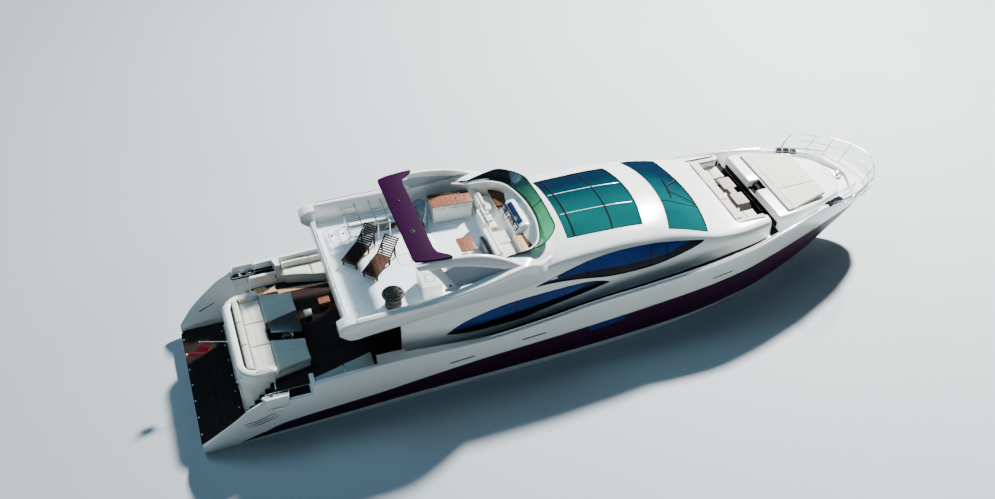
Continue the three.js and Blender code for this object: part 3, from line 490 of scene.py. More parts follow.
# Materials, all procedural and all in the object's own coordinates
class Finish:
    """One node material: a principled shader with colour, roughness and bump built up in steps."""

    def __init__(self, name, roughness=0.5, metallic=0.0, **settings):
        self.material = bpy.data.materials.new(name)
        self.material.use_nodes = True
        self.tree = self.material.node_tree
        self.shader = self.tree.nodes["Principled BSDF"]
        self.shader.inputs["Roughness"].default_value = roughness
        self.shader.inputs["Metallic"].default_value = metallic
        for key, value in settings.items():
            self.shader.inputs[key.replace("_", " ")].default_value = value
        self.place = self.node("ShaderNodeTexCoord").outputs["Object"]
        self.height = None

    def node(self, kind, **inputs):
        made = self.tree.nodes.new(kind)
        for key, value in inputs.items():
            socket = made.inputs[int(key[1:])] if key[1:].isdigit() else made.inputs[key.replace("_", " ")]
            if isinstance(value, bpy.types.NodeSocket):
                self.tree.links.new(value, socket)
            else:
                socket.default_value = value
        return made

    def math(self, operation, a, b=0.0, clamp=False):
        made = self.node("ShaderNodeMath", _0=a, _1=b)
        made.operation = operation
        made.use_clamp = clamp
        return made.outputs[0]

    def stretched(self, scale, turn=(0, 0, 0)):
        mapping = self.node("ShaderNodeMapping", Vector=self.place)
        mapping.inputs["Scale"].default_value = scale
        mapping.inputs["Rotation"].default_value = turn
        return mapping.outputs[0]

    def noise(self, scale, detail=4, roughness=0.5, stretch=None, turn=(0, 0, 0)):
        where = self.place if stretch is None else self.stretched(stretch, turn)
        return self.node("ShaderNodeTexNoise", Vector=where, Scale=scale, Detail=detail,
                         Roughness=roughness).outputs["Fac"]

    def ramp(self, factor, stops):
        made = self.node("ShaderNodeValToRGB", Fac=factor)
        elements = made.color_ramp.elements
        while len(elements) < len(stops):
            elements.new(0.5)
        for element, (position, colour) in zip(elements, stops):
            element.position = position
            element.color = (*colour, 1) if hasattr(colour, "__len__") else (colour, colour, colour, 1)
        return made.outputs[0]

    def mix(self, factor, a, b):
        made = self.tree.nodes.new("ShaderNodeMix")
        made.data_type = "RGBA"
        for socket, value in ((made.inputs[0], factor), (made.inputs[6], a), (made.inputs[7], b)):
            if isinstance(value, bpy.types.NodeSocket):
                self.tree.links.new(value, socket)
            elif hasattr(value, "__len__"):
                socket.default_value = (*value[:3], 1)
            else:
                socket.default_value = value
        return made.outputs[2]

    def colour(self, value):
        if isinstance(value, bpy.types.NodeSocket):
            self.tree.links.new(value, self.shader.inputs["Base Color"])
        else:
            self.shader.inputs["Base Color"].default_value = (*value, 1)
        return self

    def rough(self, factor, low, high):
        scaled = self.node("ShaderNodeMapRange", Value=factor, To_Min=low, To_Max=high).outputs[0]
        self.tree.links.new(scaled, self.shader.inputs["Roughness"])
        return self

    def bump(self, height, distance, strength=1.0):
        made = self.node("ShaderNodeBump", Height=height, Distance=distance, Strength=strength)
        if self.height is not None:
            self.tree.links.new(self.height, made.inputs["Normal"])
        self.height = made.outputs[0]
        self.tree.links.new(self.height, self.shader.inputs["Normal"])
        return self

    def position(self, axis):
        return self.node("ShaderNodeSeparateXYZ", Vector=self.place).outputs[axis]


def tint(colour, amount):
    return tuple(min(1.0, max(0.0, c * amount)) for c in colour)


def painted(name, colour, roughness=0.22, coat=0.6, waterline=False, spec=0.5):
    """Sprayed and polished gelcoat: slow tone changes, faint ripple, darker streaks and specks."""
    f = Finish(name, roughness, Coat_Weight=coat, Coat_Roughness=0.05, Coat_IOR=1.5, Specular_IOR_Level=spec)
    broad = f.noise(0.35, 3)
    fine = f.noise(9.0, 5, 0.6)
    streak = f.noise(1.0, 4, 0.6, stretch=(0.5, 0.5, 0.12))
    base = f.mix(f.ramp(broad, [(0.3, 0.0), (0.75, 1.0)]), tint(colour, 0.95), tint(colour, 1.03))
    base = f.mix(f.math("MULTIPLY", f.ramp(streak, [(0.5, 0.0), (0.8, 1.0)]), 0.10), base, tint(colour, 0.8))
    base = f.mix(f.math("MULTIPLY", f.ramp(fine, [(0.45, 0.0), (0.8, 1.0)]), 0.05), base, tint(colour, 0.86))
    if waterline:
        level = f.math("ADD", f.position(2), f.math("MULTIPLY", fine, 0.012))
        under = f.ramp(f.math("ADD", f.math("MULTIPLY", level, 8.0), 0.5), [(0.44, 1.0), (0.5, 0.0)])
        base = f.mix(under, base, (0.018, 0.028, 0.05))
    f.colour(base)
    f.rough(fine, roughness * 0.8, roughness * 1.35)
    f.bump(f.noise(2.2, 2), 0.0015, 0.35)
    f.bump(f.noise(140.0, 2), 0.0002, 0.25)
    return f.material


def decking(name, dark, light, plank=0.055, caulk=(0.012, 0.011, 0.011), across=False, wear=0.35):
    """Laid teak: planks along X with dark caulking between them, grain along each plank."""
    f = Finish(name, 0.62, Specular_IOR_Level=0.06)
    width = f.position(0 if across else 1)
    row = f.math("DIVIDE", width, plank)
    share = f.math("FRACT", row)
    seam = f.math("ABSOLUTE", f.math("SUBTRACT", share, 0.5))
    gap = f.ramp(seam, [(0.43, 0.0), (0.46, 1.0)])
    board = f.node("ShaderNodeTexWhiteNoise")
    board.noise_dimensions = "1D"
    f.tree.links.new(f.math("FLOOR", row), board.inputs["W"])
    stretch = (14.0, 0.6, 14.0) if across else (0.6, 14.0, 14.0)
    grain = f.noise(3.0, 8, 0.65, stretch=stretch)
    fibre = f.noise(22.0, 4, 0.6, stretch=stretch)
    tone = f.math("ADD", f.math("MULTIPLY", board.outputs["Value"], 0.45), f.math("MULTIPLY", grain, 0.75),
                  True)
    base = f.mix(tone, dark, light)
    base = f.mix(f.math("MULTIPLY", f.ramp(fibre, [(0.5, 0.0), (0.72, 1.0)]), wear), base, tint(dark, 0.6))
    base = f.mix(f.math("MULTIPLY", f.noise(0.8, 4), 0.25), base, tint(light, 1.15))
    f.colour(f.mix(gap, base, caulk))
    f.rough(grain, 0.5, 0.8)
    f.bump(f.math("SUBTRACT", 1.0, gap), 0.003, 0.7)
    f.bump(fibre, 0.0008, 0.5)
    return f.material


def varnished(name, dark, light, coat=0.7, stretch=(1.0, 9.0, 9.0), spec=0.5, rough=(0.22, 0.42)):
    """Finished joinery with long cathedral grain."""
    f = Finish(name, rough[0], Coat_Weight=coat, Coat_Roughness=0.08, Specular_IOR_Level=spec)
    bend = f.noise(1.2, 3)
    where = f.node("ShaderNodeMapping", Vector=f.place)
    where.inputs["Scale"].default_value = stretch
    wave = f.node("ShaderNodeTexWave", Vector=where.outputs[0], Scale=1.6, Distortion=7.0, Detail=4.0,
                  Detail_Scale=1.4)
    fibre = f.noise(30.0, 5, 0.6, stretch=stretch)
    base = f.mix(wave.outputs["Fac"], dark, light)
    base = f.mix(f.math("MULTIPLY", fibre, 0.45), base, tint(dark, 0.75))
    base = f.mix(f.math("MULTIPLY", bend, 0.3), base, tint(light, 1.2))
    f.colour(base)
    f.rough(fibre, *rough)
    f.bump(fibre, 0.0004, 0.4)
    return f.material


def woven(name, colour, thread=260.0, contrast=0.22, sheen=0.3):
    """Outdoor cloth: a plain weave, slubs and slow fading."""
    f = Finish(name, 0.88, Sheen_Weight=sheen, Sheen_Roughness=0.5)
    warp = f.node("ShaderNodeTexWave", Vector=f.place, Scale=thread / 6.28, Distortion=0.6, Detail=1.0)
    warp.bands_direction = "X"
    weft = f.node("ShaderNodeTexWave", Vector=f.place, Scale=thread / 6.28, Distortion=0.6, Detail=1.0)
    weft.bands_direction = "Y"
    weave = f.math("MULTIPLY", f.math("ADD", warp.outputs["Fac"], weft.outputs["Fac"]), 0.5)
    slub = f.noise(60.0, 6, 0.7)
    fade = f.noise(1.6, 4)
    base = f.mix(weave, tint(colour, 1 - contrast), tint(colour, 1.05))
    base = f.mix(f.math("MULTIPLY", slub, 0.3), base, tint(colour, 0.78))
    base = f.mix(f.ramp(fade, [(0.35, 0.0), (0.75, 0.35)]), base, tint(colour, 1.15))
    f.colour(base)
    f.rough(slub, 0.78, 0.95)
    f.bump(weave, 0.0006, 0.5)
    f.bump(slub, 0.0012, 0.35)
    return f.material


def metal(name, colour, roughness=0.16, brushed=(1, 1, 1), dirt=0.2):
    f = Finish(name, roughness, 1.0)
    grain = f.noise(60.0, 4, 0.6, stretch=brushed)
    cloud = f.noise(1.4, 4)
    base = f.mix(f.math("MULTIPLY", cloud, 0.5), tint(colour, 0.92), tint(colour, 1.05))
    base = f.mix(f.math("MULTIPLY", f.ramp(grain, [(0.5, 0.0), (0.75, 1.0)]), dirt), base, tint(colour, 0.6))
    f.colour(base)
    f.rough(grain, roughness * 0.6, roughness * 1.7)
    f.bump(grain, 0.0002, 0.3)
    return f.material


def moulded(name, colour, roughness=0.45, grain_size=240.0, coat=0.0, spec=0.5):
    """Plastic, rubber or painted fittings with a fine moulded grain."""
    f = Finish(name, roughness, Coat_Weight=coat, Coat_Roughness=0.1, Specular_IOR_Level=spec)
    speck = f.noise(grain_size, 3, 0.6)
    cloud = f.noise(2.5, 4)
    base = f.mix(cloud, tint(colour, 0.8), tint(colour, 1.2))
    base = f.mix(f.math("MULTIPLY", f.ramp(speck, [(0.5, 0.0), (0.8, 1.0)]), 0.25), base, tint(colour, 1.7))
    f.colour(base)
    f.rough(speck, roughness * 0.8, min(1.0, roughness * 1.3))
    f.bump(speck, 0.0004, 0.4)
    return f.material


def glazing(name, colour, deep, transmission=0.35, roughness=0.02, coat=1.0, spec=0.6, painted_port_reflection=None):
    """Tinted glass: darker and lighter bands, salt haze and a faint roller wave; the optional last colour is
    a painted reflection that darkens the glass towards port.
    """
    f = Finish(name, roughness, IOR=1.5, Transmission_Weight=transmission, Coat_Weight=coat,
               Coat_Roughness=0.0,
               Specular_IOR_Level=spec)
    band = f.noise(0.45, 3, 0.5, stretch=(1, 1, 1.4))
    haze = f.noise(6.0, 6, 0.65)
    base = f.mix(f.ramp(band, [(0.3, 0.0), (0.72, 1.0)]), deep, colour)
    if painted_port_reflection is not None:
        # Painted reflection: the further to port the glass lies, the more it is mixed towards the darker
        # colour.
        across = f.math("ADD", f.math("MULTIPLY", f.position(1), 0.28), f.math("MULTIPLY", band, 0.5), True)
        base = f.mix(f.ramp(across, [(0.08, 0.0), (0.60, 1.0)]), base, painted_port_reflection)
    base = f.mix(f.math("MULTIPLY", f.ramp(haze, [(0.5, 0.0), (0.85, 1.0)]), 0.10), base, tint(colour, 1.8))
    f.colour(base)
    f.rough(haze, roughness, roughness + 0.06)
    f.bump(f.noise(0.9, 1), 0.001, 0.15)
    return f.material


WHITE_COLOUR = (0.80, 0.83, 0.80)
GELCOAT = painted("gelcoat_white", WHITE_COLOUR)
HULL_WHITE = painted("hull_gelcoat", WHITE_COLOUR, waterline=True)
PLUM = painted("plum_topside_paint", (0.024, 0.0006, 0.019), 0.42, 0.0, spec=0.12)
ARCH_PLUM = painted("arch_plum_paint", (0.018, 0.0004, 0.019), 0.5, 0.0, spec=0.05)
NONSKID = moulded("deck_nonskid", (0.74, 0.79, 0.82), 0.62, 420.0)
TEAK = decking("teak_deck_dark", (0.010, 0.007, 0.007), (0.032, 0.020, 0.017))
TEAK_ACROSS = decking("teak_tread_dark", (0.010, 0.007, 0.007), (0.032, 0.020, 0.017), across=True)
TEAK_BLACK = decking("teak_foredeck_black", (0.003, 0.002, 0.002), (0.010, 0.007, 0.006))
TEAK_BROWN = decking("teak_shelf_brown", (0.055, 0.022, 0.012), (0.13, 0.058, 0.032), plank=0.07)
WOOD = varnished("joinery_warm", (0.15, 0.048, 0.024), (0.29, 0.118, 0.064), coat=0.2)
WOOD_SLAT = varnished("slat_brown", (0.030, 0.012, 0.008), (0.095, 0.042, 0.028), coat=0.0, spec=0.1,
                      rough=(0.5, 0.7))
# Tan wood; on the cockpit floor patches and the two top port stair treads it is painted sunlight on the dark
# teak.
WOOD_PALE = varnished("step_tan", (0.34, 0.19, 0.10), (0.58, 0.38, 0.22), coat=0.3)
TABLE_DARK = varnished("table_dark", (0.012, 0.009, 0.010), (0.035, 0.022, 0.022), coat=0.8)
CLOTH = woven("cushion_cloth_beige", (0.66, 0.63, 0.54))
CLOTH_WHITE = woven("cushion_cloth_pale", (0.78, 0.77, 0.71))
# Greyer, darker copy of the beige cloth for the aft sofa arms: painted shade of the flybridge overhang.
CLOTH_SHADE = woven("cushion_cloth_shaded", (0.52, 0.53, 0.48))
# Blue-grey copy of the beige cloth for the starboard side sofa: painted shade.
CLOTH_STARBOARD_SHADE = woven("cushion_cloth_painted_shade", (0.33, 0.37, 0.36))
PIPING = woven("piping_dark", (0.05, 0.05, 0.05), 400.0)
FLAG_CLOTH = woven("ensign_red", (0.46, 0.012, 0.03), 500.0, 0.15)
STEEL = metal("stainless_polished", (0.78, 0.80, 0.82), 0.14)
RAIL_STEEL = metal("stainless_rail", (0.42, 0.44, 0.47), 0.18)
BRONZE = metal("propeller_bronze", (0.62, 0.40, 0.15), 0.3, dirt=0.4)
BLACK = moulded("black_plastic", (0.014, 0.015, 0.017), 0.5, spec=0.2)
RUBBER = moulded("gasket_rubber", (0.007, 0.008, 0.010), 0.8, spec=0.06)
WICKER = moulded("wicker_strand", (0.020, 0.014, 0.011), 0.6, 90.0)
WICKER_PALE = moulded("wicker_strand_pale", (0.20, 0.155, 0.12), 0.6, 90.0)
# Roof glass: its last colour is the painted reflection that darkens the panes towards port.
ROOF_GLASS = glazing("roof_glass_teal", (0.004, 0.080, 0.072), (0.003, 0.045, 0.055), 0.0, 0.22, 0.0, 0.0,
                     (0.003, 0.010, 0.024))
# Windscreen glass: its last colour is the painted reflection that darkens it towards port.
SCREEN_GLASS = glazing("screen_glass_green", (0.10, 0.46, 0.20), (0.05, 0.28, 0.16), 0.60, 0.04, 0.0, 0.12,
                       (0.010, 0.030, 0.040))
SIDE_GLASS = glazing("side_glass_blue", (0.002, 0.040, 0.24), (0.001, 0.016, 0.10), 0.0, 0.10, 0.0, 0.07)
# Near-black copy of the side glass for the lower share of each pane: painted shade.
SIDE_GLASS_SHADE = glazing("side_glass_night", (0.001, 0.003, 0.012), (0.0008, 0.0016, 0.005), 0.0, 0.10, 0.0,
                         0.07)
SMOKED_GLASS = glazing("smoked_glass", (0.012, 0.016, 0.022), (0.006, 0.008, 0.012), 0.25, 0.04, 0.0, 0.15)
GUARD_GLASS = glazing("guard_glass_pale", (0.62, 0.78, 0.92), (0.48, 0.64, 0.80), 0.85, 0.03, 0.0, 0.15)
TABLE_GLASS = glazing("dark_table_glass", (0.03, 0.035, 0.04), (0.010, 0.012, 0.016), 0.15)
SLAT_DARK = varnished("slat_dark", (0.016, 0.010, 0.009), (0.060, 0.028, 0.018), coat=0.0, spec=0.06,
                      rough=(0.5, 0.7))
DASH_BLUE = moulded("dash_blue", (0.006, 0.016, 0.058), 0.4, 300.0, 0.0, 0.2)
# Slate blue-grey for the recessed white panel in each arch leg: painted shade.
ARCH_PANEL_SHADE = painted("arch_panel_painted_shade", (0.36, 0.42, 0.50), 0.3, 0.5)
LAMP = moulded("lamp_lens", (0.8, 0.82, 0.78), 0.15, 100.0, 0.8)


# Floor at the waterline and soft light
def build_stage():
    f = Finish("studio_floor", 0.75)
    f.colour(f.mix(f.noise(0.15, 3), (0.42, 0.45, 0.47), (0.47, 0.50, 0.52)))
    mesh = bpy.data.meshes.new("studio_floor")
    reach = 260
    mesh.from_pydata([(-reach, -reach, 0), (reach, -reach, 0), (reach, reach, 0), (-reach, reach, 0)],
                     [], [(0, 1, 2, 3)])
    mesh.materials.append(f.material)
    floor = bpy.data.objects.new("studio_floor", mesh)
    bpy.context.scene.collection.objects.link(floor)

    def area(name, position, target, size, power, colour):
        light = bpy.data.lights.new(name, "AREA")
        light.shape = "DISK"
        light.size = size
        light.energy = power
        light.color = colour
        obj = bpy.data.objects.new(name, light)
        aim = Vector(target) - Vector(position)
        obj.matrix_world = Matrix.Translation(position) @ aim.to_track_quat("-Z", "Y").to_matrix().to_4x4()
        bpy.context.scene.collection.objects.link(obj)

    middle = (0, 0, 2)
    area("key_light", (35.5, 25.5, 47), middle, size=5.5, power=190000, colour=(1.0, 0.995, 0.97))
    area("fill_light", (-26, 14, 56), middle, size=26, power=8500, colour=(0.38, 0.72, 1.0))

    sky_strength = 0.22
    low_from, low_colour = 0.45, (0.36, 0.50, 0.58, 1)
    high_from, high_colour = 0.9, (0.30, 0.66, 1.0, 1)
    world = bpy.data.worlds.new("studio")
    world.use_nodes = True
    bpy.context.scene.world = world
    tree = world.node_tree
    background = tree.nodes["Background"]
    background.inputs["Strength"].default_value = sky_strength
    where = tree.nodes.new("ShaderNodeTexCoord")
    split = tree.nodes.new("ShaderNodeSeparateXYZ")
    shade = tree.nodes.new("ShaderNodeValToRGB")
    shade.color_ramp.elements[0].position = low_from
    shade.color_ramp.elements[0].color = low_colour
    shade.color_ramp.elements[1].position = high_from
    shade.color_ramp.elements[1].color = high_colour
    tree.links.new(where.outputs["Generated"], split.inputs[0])
    tree.links.new(split.outputs["Z"], shade.inputs[0])
    tree.links.new(shade.outputs[0], background.inputs["Color"])


build_stage()


# Hull: one loft from the keel over the gunwale down to the decks
GUNWALE = 0.06
STERN_HALF, COCKPIT_HALF, SALOON_HALF = 3.03, 3.0, 2.5
PLATFORM_WELL, SOLE = 0.25, 1.93
COCKPIT_AFT, BLADE_AFT, SALOON_FORWARD, WELL_FORWARD = -12.4, -7.6, 1.5, 14.05
NICHE = {"aft": -11.1, "forward": -8.7, "floor": 2.34}
TROUGH = (-12.36, -11.28)


def topside_y(x, z):
    """Half-breadth of the hull's outer skin."""
    keel, chine_z, chine_y = HULL.at("keel_z", x), HULL.at("chine_z", x), HULL.at("chine_y", x)
    if z <= chine_z:
        share = max(0.0, (z - keel) / (chine_z - keel))
        return chine_y * share ** 0.9
    sheer_y, sheer_z = HULL.at("sheer_y", x), HULL.at("sheer_z", x)
    t = min(1.0, (z - chine_z) / (sheer_z - GUNWALE - chine_z))
    return chine_y + (sheer_y - chine_y) * t + 0.24 * t * (1 - t) * min(1.0, sheer_y / 2)


def gunwale_z(x, starboard):
    """Top of the bulwark, lowered at the boarding gate on the starboard side."""
    top = HULL.at("sheer_z", x)
    if starboard:
        sill, inside = 2.36, smooth_step(-12.98, -12.86, x) * (1 - smooth_step(-11.27, -11.2, x))
    else:
        sill, inside = 2.44, smooth_step(-13.02, -12.95, x) * (1 - smooth_step(-12.22, -12.15, x))
    return top + (min(sill, top) - top) * inside


def hull_ring(x, zone, starboard=False):
    keel, chine = HULL.at("keel_z", x), HULL.at("chine_z", x)
    top = gunwale_z(x, starboard)
    low = max(STRIPE.at("low", x), keel + 0.001)
    high = max(STRIPE.at("high", x), low + 0.001)
    first, second = min(chine, low), max(chine, low)
    high = max(high, second + 0.002)
    r = min(GUNWALE, HULL.at("sheer_y", x) / 3)
    levels = list(np.linspace(keel, first, 8)) + list(np.linspace(first, second, 5))[1:]
    levels += list(np.linspace(second, high, 9))[1:] + list(np.linspace(high, top - r, 11))[1:]
    ring = [(0.0 if i == 0 else topside_y(x, z), z) for i, z in enumerate(levels)]
    side = ring[-1][0]
    for k in range(1, 6):
        a = 0.5 * PI * k / 5
        ring.append((side - r + r * math.cos(a), top - r + r * math.sin(a)))
    if zone == "stern":
        inner, deck, well, floor = STERN_HALF, PLATFORM_WELL, 2.6, PLATFORM_WELL
    elif zone == "cockpit":
        inner, deck, well, floor = COCKPIT_HALF, SOLE, SALOON_HALF, SOLE
    elif zone == "saloon":
        inner, deck, well, floor = DECK.at("inner_y", x), DECK.at("z", x), SALOON_HALF, SOLE
    elif zone == "foredeck":
        inner, deck = DECK.at("inner_y", x), DECK.at("z", x)
        well, floor = min(SALOON_HALF, 0.8 * inner), deck
    else:
        inner, deck, well, floor = 0.6 * side, top, 0.3 * side, top
    upper = inner
    if zone == "stern":
        upper = side - 0.11
    elif zone == "cockpit":
        upper = 3.42 if NICHE["aft"] < x < NICHE["forward"] else 3.0
    trough = zone == "cockpit" and not starboard and TROUGH[0] < x < TROUGH[1]
    upper = 3.42 if trough else upper
    shelf = (2.48 if trough else NICHE["floor"]) if upper > inner and zone == "cockpit" else None
    upper = min(upper, side - r - 0.004)
    inner = min(inner, upper)
    if zone == "nose":
        ring += [(inner, top)] * 7 + [(inner, deck), (0.5 * (inner + well), deck), (well, deck)]
        ring += [(well, floor), (0.5 * well, floor), (0.0, floor)]
        return ring
    edge = min(0.03, 0.4 * (top - deck), 0.4 * (side - r - upper) + 0.001)
    for k in range(4):
        a = 0.5 * PI * k / 3
        ring.append((upper + edge - edge * math.sin(a), top - edge + edge * math.cos(a)))
    if shelf is not None:
        ring += [(upper, shelf + 0.02), (upper - 0.02, shelf), (inner + 0.01, shelf)]
    else:
        flare = float(np.interp(x, (-15.45, -14.9, -13.74, -12.4), (0.54, 0.70, 0.76, 2.05)))
        foot = min(flare, top - edge - 0.02) if zone == "stern" else deck + 0.06
        ring += [(inner + (upper - inner) * t, foot + (top - edge - foot) * t) for t in (0.5, 0.02, 0.0)]
    ring += [(inner, deck + 0.02), (inner - 0.02, deck), (well, deck), (well, floor), (0.5 * well, floor),
             (0.0, floor)]
    return ring


def hull_zone(x):
    for limit, zone in ((COCKPIT_AFT, "stern"), (BLADE_AFT, "cockpit"), (SALOON_FORWARD, "saloon"),
                        (WELL_FORWARD, "foredeck")):
        if x < limit:
            return zone
    return "nose"


def chine_meets_stripe():
    low, high = 10.0, 13.5
    for _ in range(40):
        middle = 0.5 * (low + high)
        if HULL.at("chine_z", middle) > STRIPE.at("low", middle):
            high = middle
        else:
            low = middle
    return low


def build_hull():
    crossing = chine_meets_stripe()
    stations = set(np.round(np.arange(-15.45, 15.86, 0.11), 4))
    for start, end in ((-13.04, -12.84), (-12.24, -12.13), (-11.29, -11.17)):
        stations |= set(np.round(np.arange(start, end, 0.012), 4))
    stations |= {15.85, -14.2, crossing, 13.33, 13.6, 13.84, 13.9, 13.96, 14.0}
    steps = (COCKPIT_AFT, *TROUGH, NICHE["aft"], NICHE["forward"], BLADE_AFT, SALOON_FORWARD, WELL_FORWARD)
    stations = sorted(x for x in stations if x <= 15.85 and all(abs(x - s) > 0.01 for s in steps))
    rows = []
    xs = []
    for x in sorted(stations + list(steps) + [s + 1e-6 for s in steps]):
        zone = hull_zone(x - 1e-7)
        ring, other = hull_ring(x, zone), hull_ring(x, zone, True)
        full = [(x, y, z) for y, z in ring] + [(x, -y, z) for y, z in other[-2:0:-1]]
        rows.append(full)
        xs.append(x)
    count = len(rows[0])

    def finish(i, j):
        k = j if j < count / 2 else count - 1 - j
        x = xs[i]
        if 11 <= k < 19 and x > -14.2:
            return 1
        if 7 <= k < 11 and x > crossing:
            return 1
        return 0

    hull = Build().grid(rows, ring=True, material=finish,
                        caps=True).object("hull_shell", [HULL_WHITE, PLUM], sharp=40)
    garage = Build().box((-12.6, -1.8, 0.48), (-10.4, 1.8, 1.7), 0.0).object("garage_cut", [])
    cut(hull, garage, sharp=40)
    return settle(hull, "gelcoat", replaces=["hull"])


build_hull()


# Superstructure: smooth section through foot, saddle, waist, shoulder, roof edge and crown
def deck_z(x):
    return DECK.at("z", x)


def section_at(x):
    """Half section from the wall foot to the crown."""
    get = lambda name: HOUSE.at(name, x)
    low = deck_z(x)
    edge_y, edge_z, crown = get("edge_y"), get("edge_z"), get("crown_z")
    rise = crown - edge_z
    saddle = 0.085 * smooth_step(-7.9, -6.8, x) * (1 - smooth_step(-0.4, 2.2, x))
    waist_y, waist_z = get("waist_y"), get("waist_z")
    points = [
        (get("foot_y"), low),
        (get("foot_y") + 0.01 + saddle, low + 0.30 * (waist_z - low)),
        (waist_y, waist_z),
        (get("shoulder_y") + 0.012, get("shoulder_z") - 0.02),
        (edge_y, edge_z),
        (0.62 * edge_y, edge_z + 0.66 * rise),
        (0.30 * edge_y, edge_z + 0.92 * rise),
        (0.0, crown),
    ]
    after = [(-y, z) for y, z in points[-2:-4:-1]]
    curve = spline(points + after, 14)[: 7 * 14 + 1]
    curve[-1] = (0.0, curve[-1][1])
    return curve


SECTION_STEP = 0.05
SECTIONS = [section_at(x) for x in np.arange(-7.8, 8.8, SECTION_STEP)]


def house_section(x, inset=0.0):
    """Half section at any station, dense and smooth, moved inwards by the inset."""
    place = min(max((x + 7.8) / SECTION_STEP, 0.0), len(SECTIONS) - 1.001)
    k = int(place)
    curve = SECTIONS[k] + (place - k) * (SECTIONS[k + 1] - SECTIONS[k])
    if inset:
        low, high = curve[0][1], curve[-1][1]
        share = np.clip((curve[:, 1] - low) / (high - low), 0, 1)
        curve = np.stack([curve[:, 0] * (1 - inset / 2.75), curve[:, 1] - inset * share**0.5], axis=1)
    return curve


def house_y(x, z):
    curve = house_section(x)[:60]
    return float(np.interp(z, curve[:, 1], curve[:, 0]))


def house_z(x, y):
    curve = house_section(x)[42:][::-1]
    return float(np.interp(abs(y), curve[:, 0], curve[:, 1]))


# Window and roof openings: edge curves over X, and the grid lines that follow them
def between(top, bottom):
    """Smooth outline from an upper and a lower edge that share both tips."""
    upper, lower = (resample(spline(points, 10), 0.08) for points in (top, bottom))
    return [tuple(p) for p in upper] + [tuple(p) for p in lower[1:-1]]


UPPER_TOP = [(-2.25, 4.30), (-1.26, 4.62), (-0.70, 4.79), (0.14, 4.97), (1.35, 5.06), (2.61, 5.00),
             (4.03, 4.80), (5.15, 4.56)]
UPPER_LOW = [(5.15, 4.56), (4.72, 4.41), (3.80, 4.16), (2.71, 3.96), (1.18, 3.95), (-0.30, 4.18),
             (-1.50, 4.30), (-2.25, 4.30)]
LOWER_TOP = [(-5.90, 2.98), (-5.09, 3.40), (-3.61, 3.76), (-1.92, 3.90), (-0.17, 3.95), (0.55, 3.83),
             (0.96, 3.66)]
LOWER_LOW = [(0.96, 3.66), (-0.30, 3.40), (-2.03, 3.05), (-2.71, 2.88), (-4.41, 2.80), (-5.30, 2.86),
             (-5.90, 2.98)]
ROOF_PANE = {"aft": -0.59, "aft_half": 1.78, "aft_bow": 0.09, "forward": 2.63, "forward_half": 1.86,
             "forward_bow": 0.28}
WINDSHIELD = {"aft": 3.66, "aft_half": 2.24, "aft_bow": 0.40, "forward": 5.42, "forward_half": 2.44,
              "forward_bow": 0.46}
LOUNGE = {"aft": 7.38, "half": 2.05, "floor": 3.65}
STAIR = {"aft": -8.3, "forward": -6.3, "low": 1.88, "high": 2.54}
EDGE_LINES = [spline(points, 10) for points in (LOWER_LOW[::-1], LOWER_TOP, UPPER_LOW[::-1], UPPER_TOP)]
WINDOW_SPANS = ((-5.90, 0.96), (-2.25, 5.15))
ROOF_INNER = ((-7.6, 1.88), (-5.2, 1.88), (-0.59, 1.78), (2.63, 1.86), (3.66, 2.24), (5.42, 2.44),
              (7.38, 2.05), (8.65, 2.05))
ROOF_BOW = ((-7.6, 0.0), (-2.0, 0.0), (-0.59, 0.09), (2.63, 0.28), (3.66, 0.40), (5.42, 0.46), (7.0, 0.0),
            (8.65, 0.0))


def table_value(table, x):
    return float(np.interp(x, [row[0] for row in table], [row[1] for row in table]))


def pane_point(pane, u, v, grow=0.0):
    aft = pane["aft"] - grow + pane["aft_bow"] * (1 - v * v)
    forward = pane["forward"] + grow + pane["forward_bow"] * (1 - v * v)
    half = pane["aft_half"] + (pane["forward_half"] - pane["aft_half"]) * u + grow
    return aft + (forward - aft) * u, half * v


def pane_outline(pane, grow=0.0, count=24):
    spots = [(0, -1 + 2 * k / count) for k in range(count)] + [(k / count, 1) for k in range(count)]
    spots += [(1, 1 - 2 * k / count) for k in range(count)] + [(1 - k / count, -1) for k in range(count)]
    return [pane_point(pane, u, v, grow) for u, v in spots]


# Superstructure shell, its grid running along every opening
BANDS = (6, 10, 5, 10, 9, 3, 26)


def house_half(x, pull):
    """Half ring from the wall foot to the crown, with grid lines on the window and roof edges."""
    curve = house_section(x, pull)
    heights = [float(np.interp(x, line[:, 0], line[:, 1])) for line in EDGE_LINES]
    if x > 5.15:
        heights[2] = heights[3] = 4.56 - 0.36 * smooth_step(5.15, 7.6, x)
    marks = [0.0] + [float(np.interp(z, curve[:57, 1], np.arange(57))) for z in heights]
    inner = table_value(ROOF_INNER, x)
    outer = 2.54 if x < -5 else 0.5 * (inner + float(curve[56, 0]))
    marks += [float(np.interp(y, curve[42:, 0][::-1],
                              np.arange(98, 41, -1))) for y in (outer, inner)] + [98.0]
    marks = np.maximum.accumulate(marks)
    places = np.concatenate([np.linspace(a, b, n + 1)[:-1] for a, b,
                             n in zip(marks, marks[1:], BANDS)] + [[98.0]])
    ys = np.interp(places, np.arange(99), curve[:, 0])
    zs = np.interp(places, np.arange(99), curve[:, 1])
    bow = table_value(ROOF_BOW, x)
    half = []
    for y, z in zip(ys, zs):
        if y < inner - 1e-6 and bow > 0:
            ahead = x + bow * (1 - (y / inner) ** 2)
            half.append((ahead, y, z + house_z(ahead, y) - house_z(x, y)))
        else:
            half.append((x, y, z))
    return half


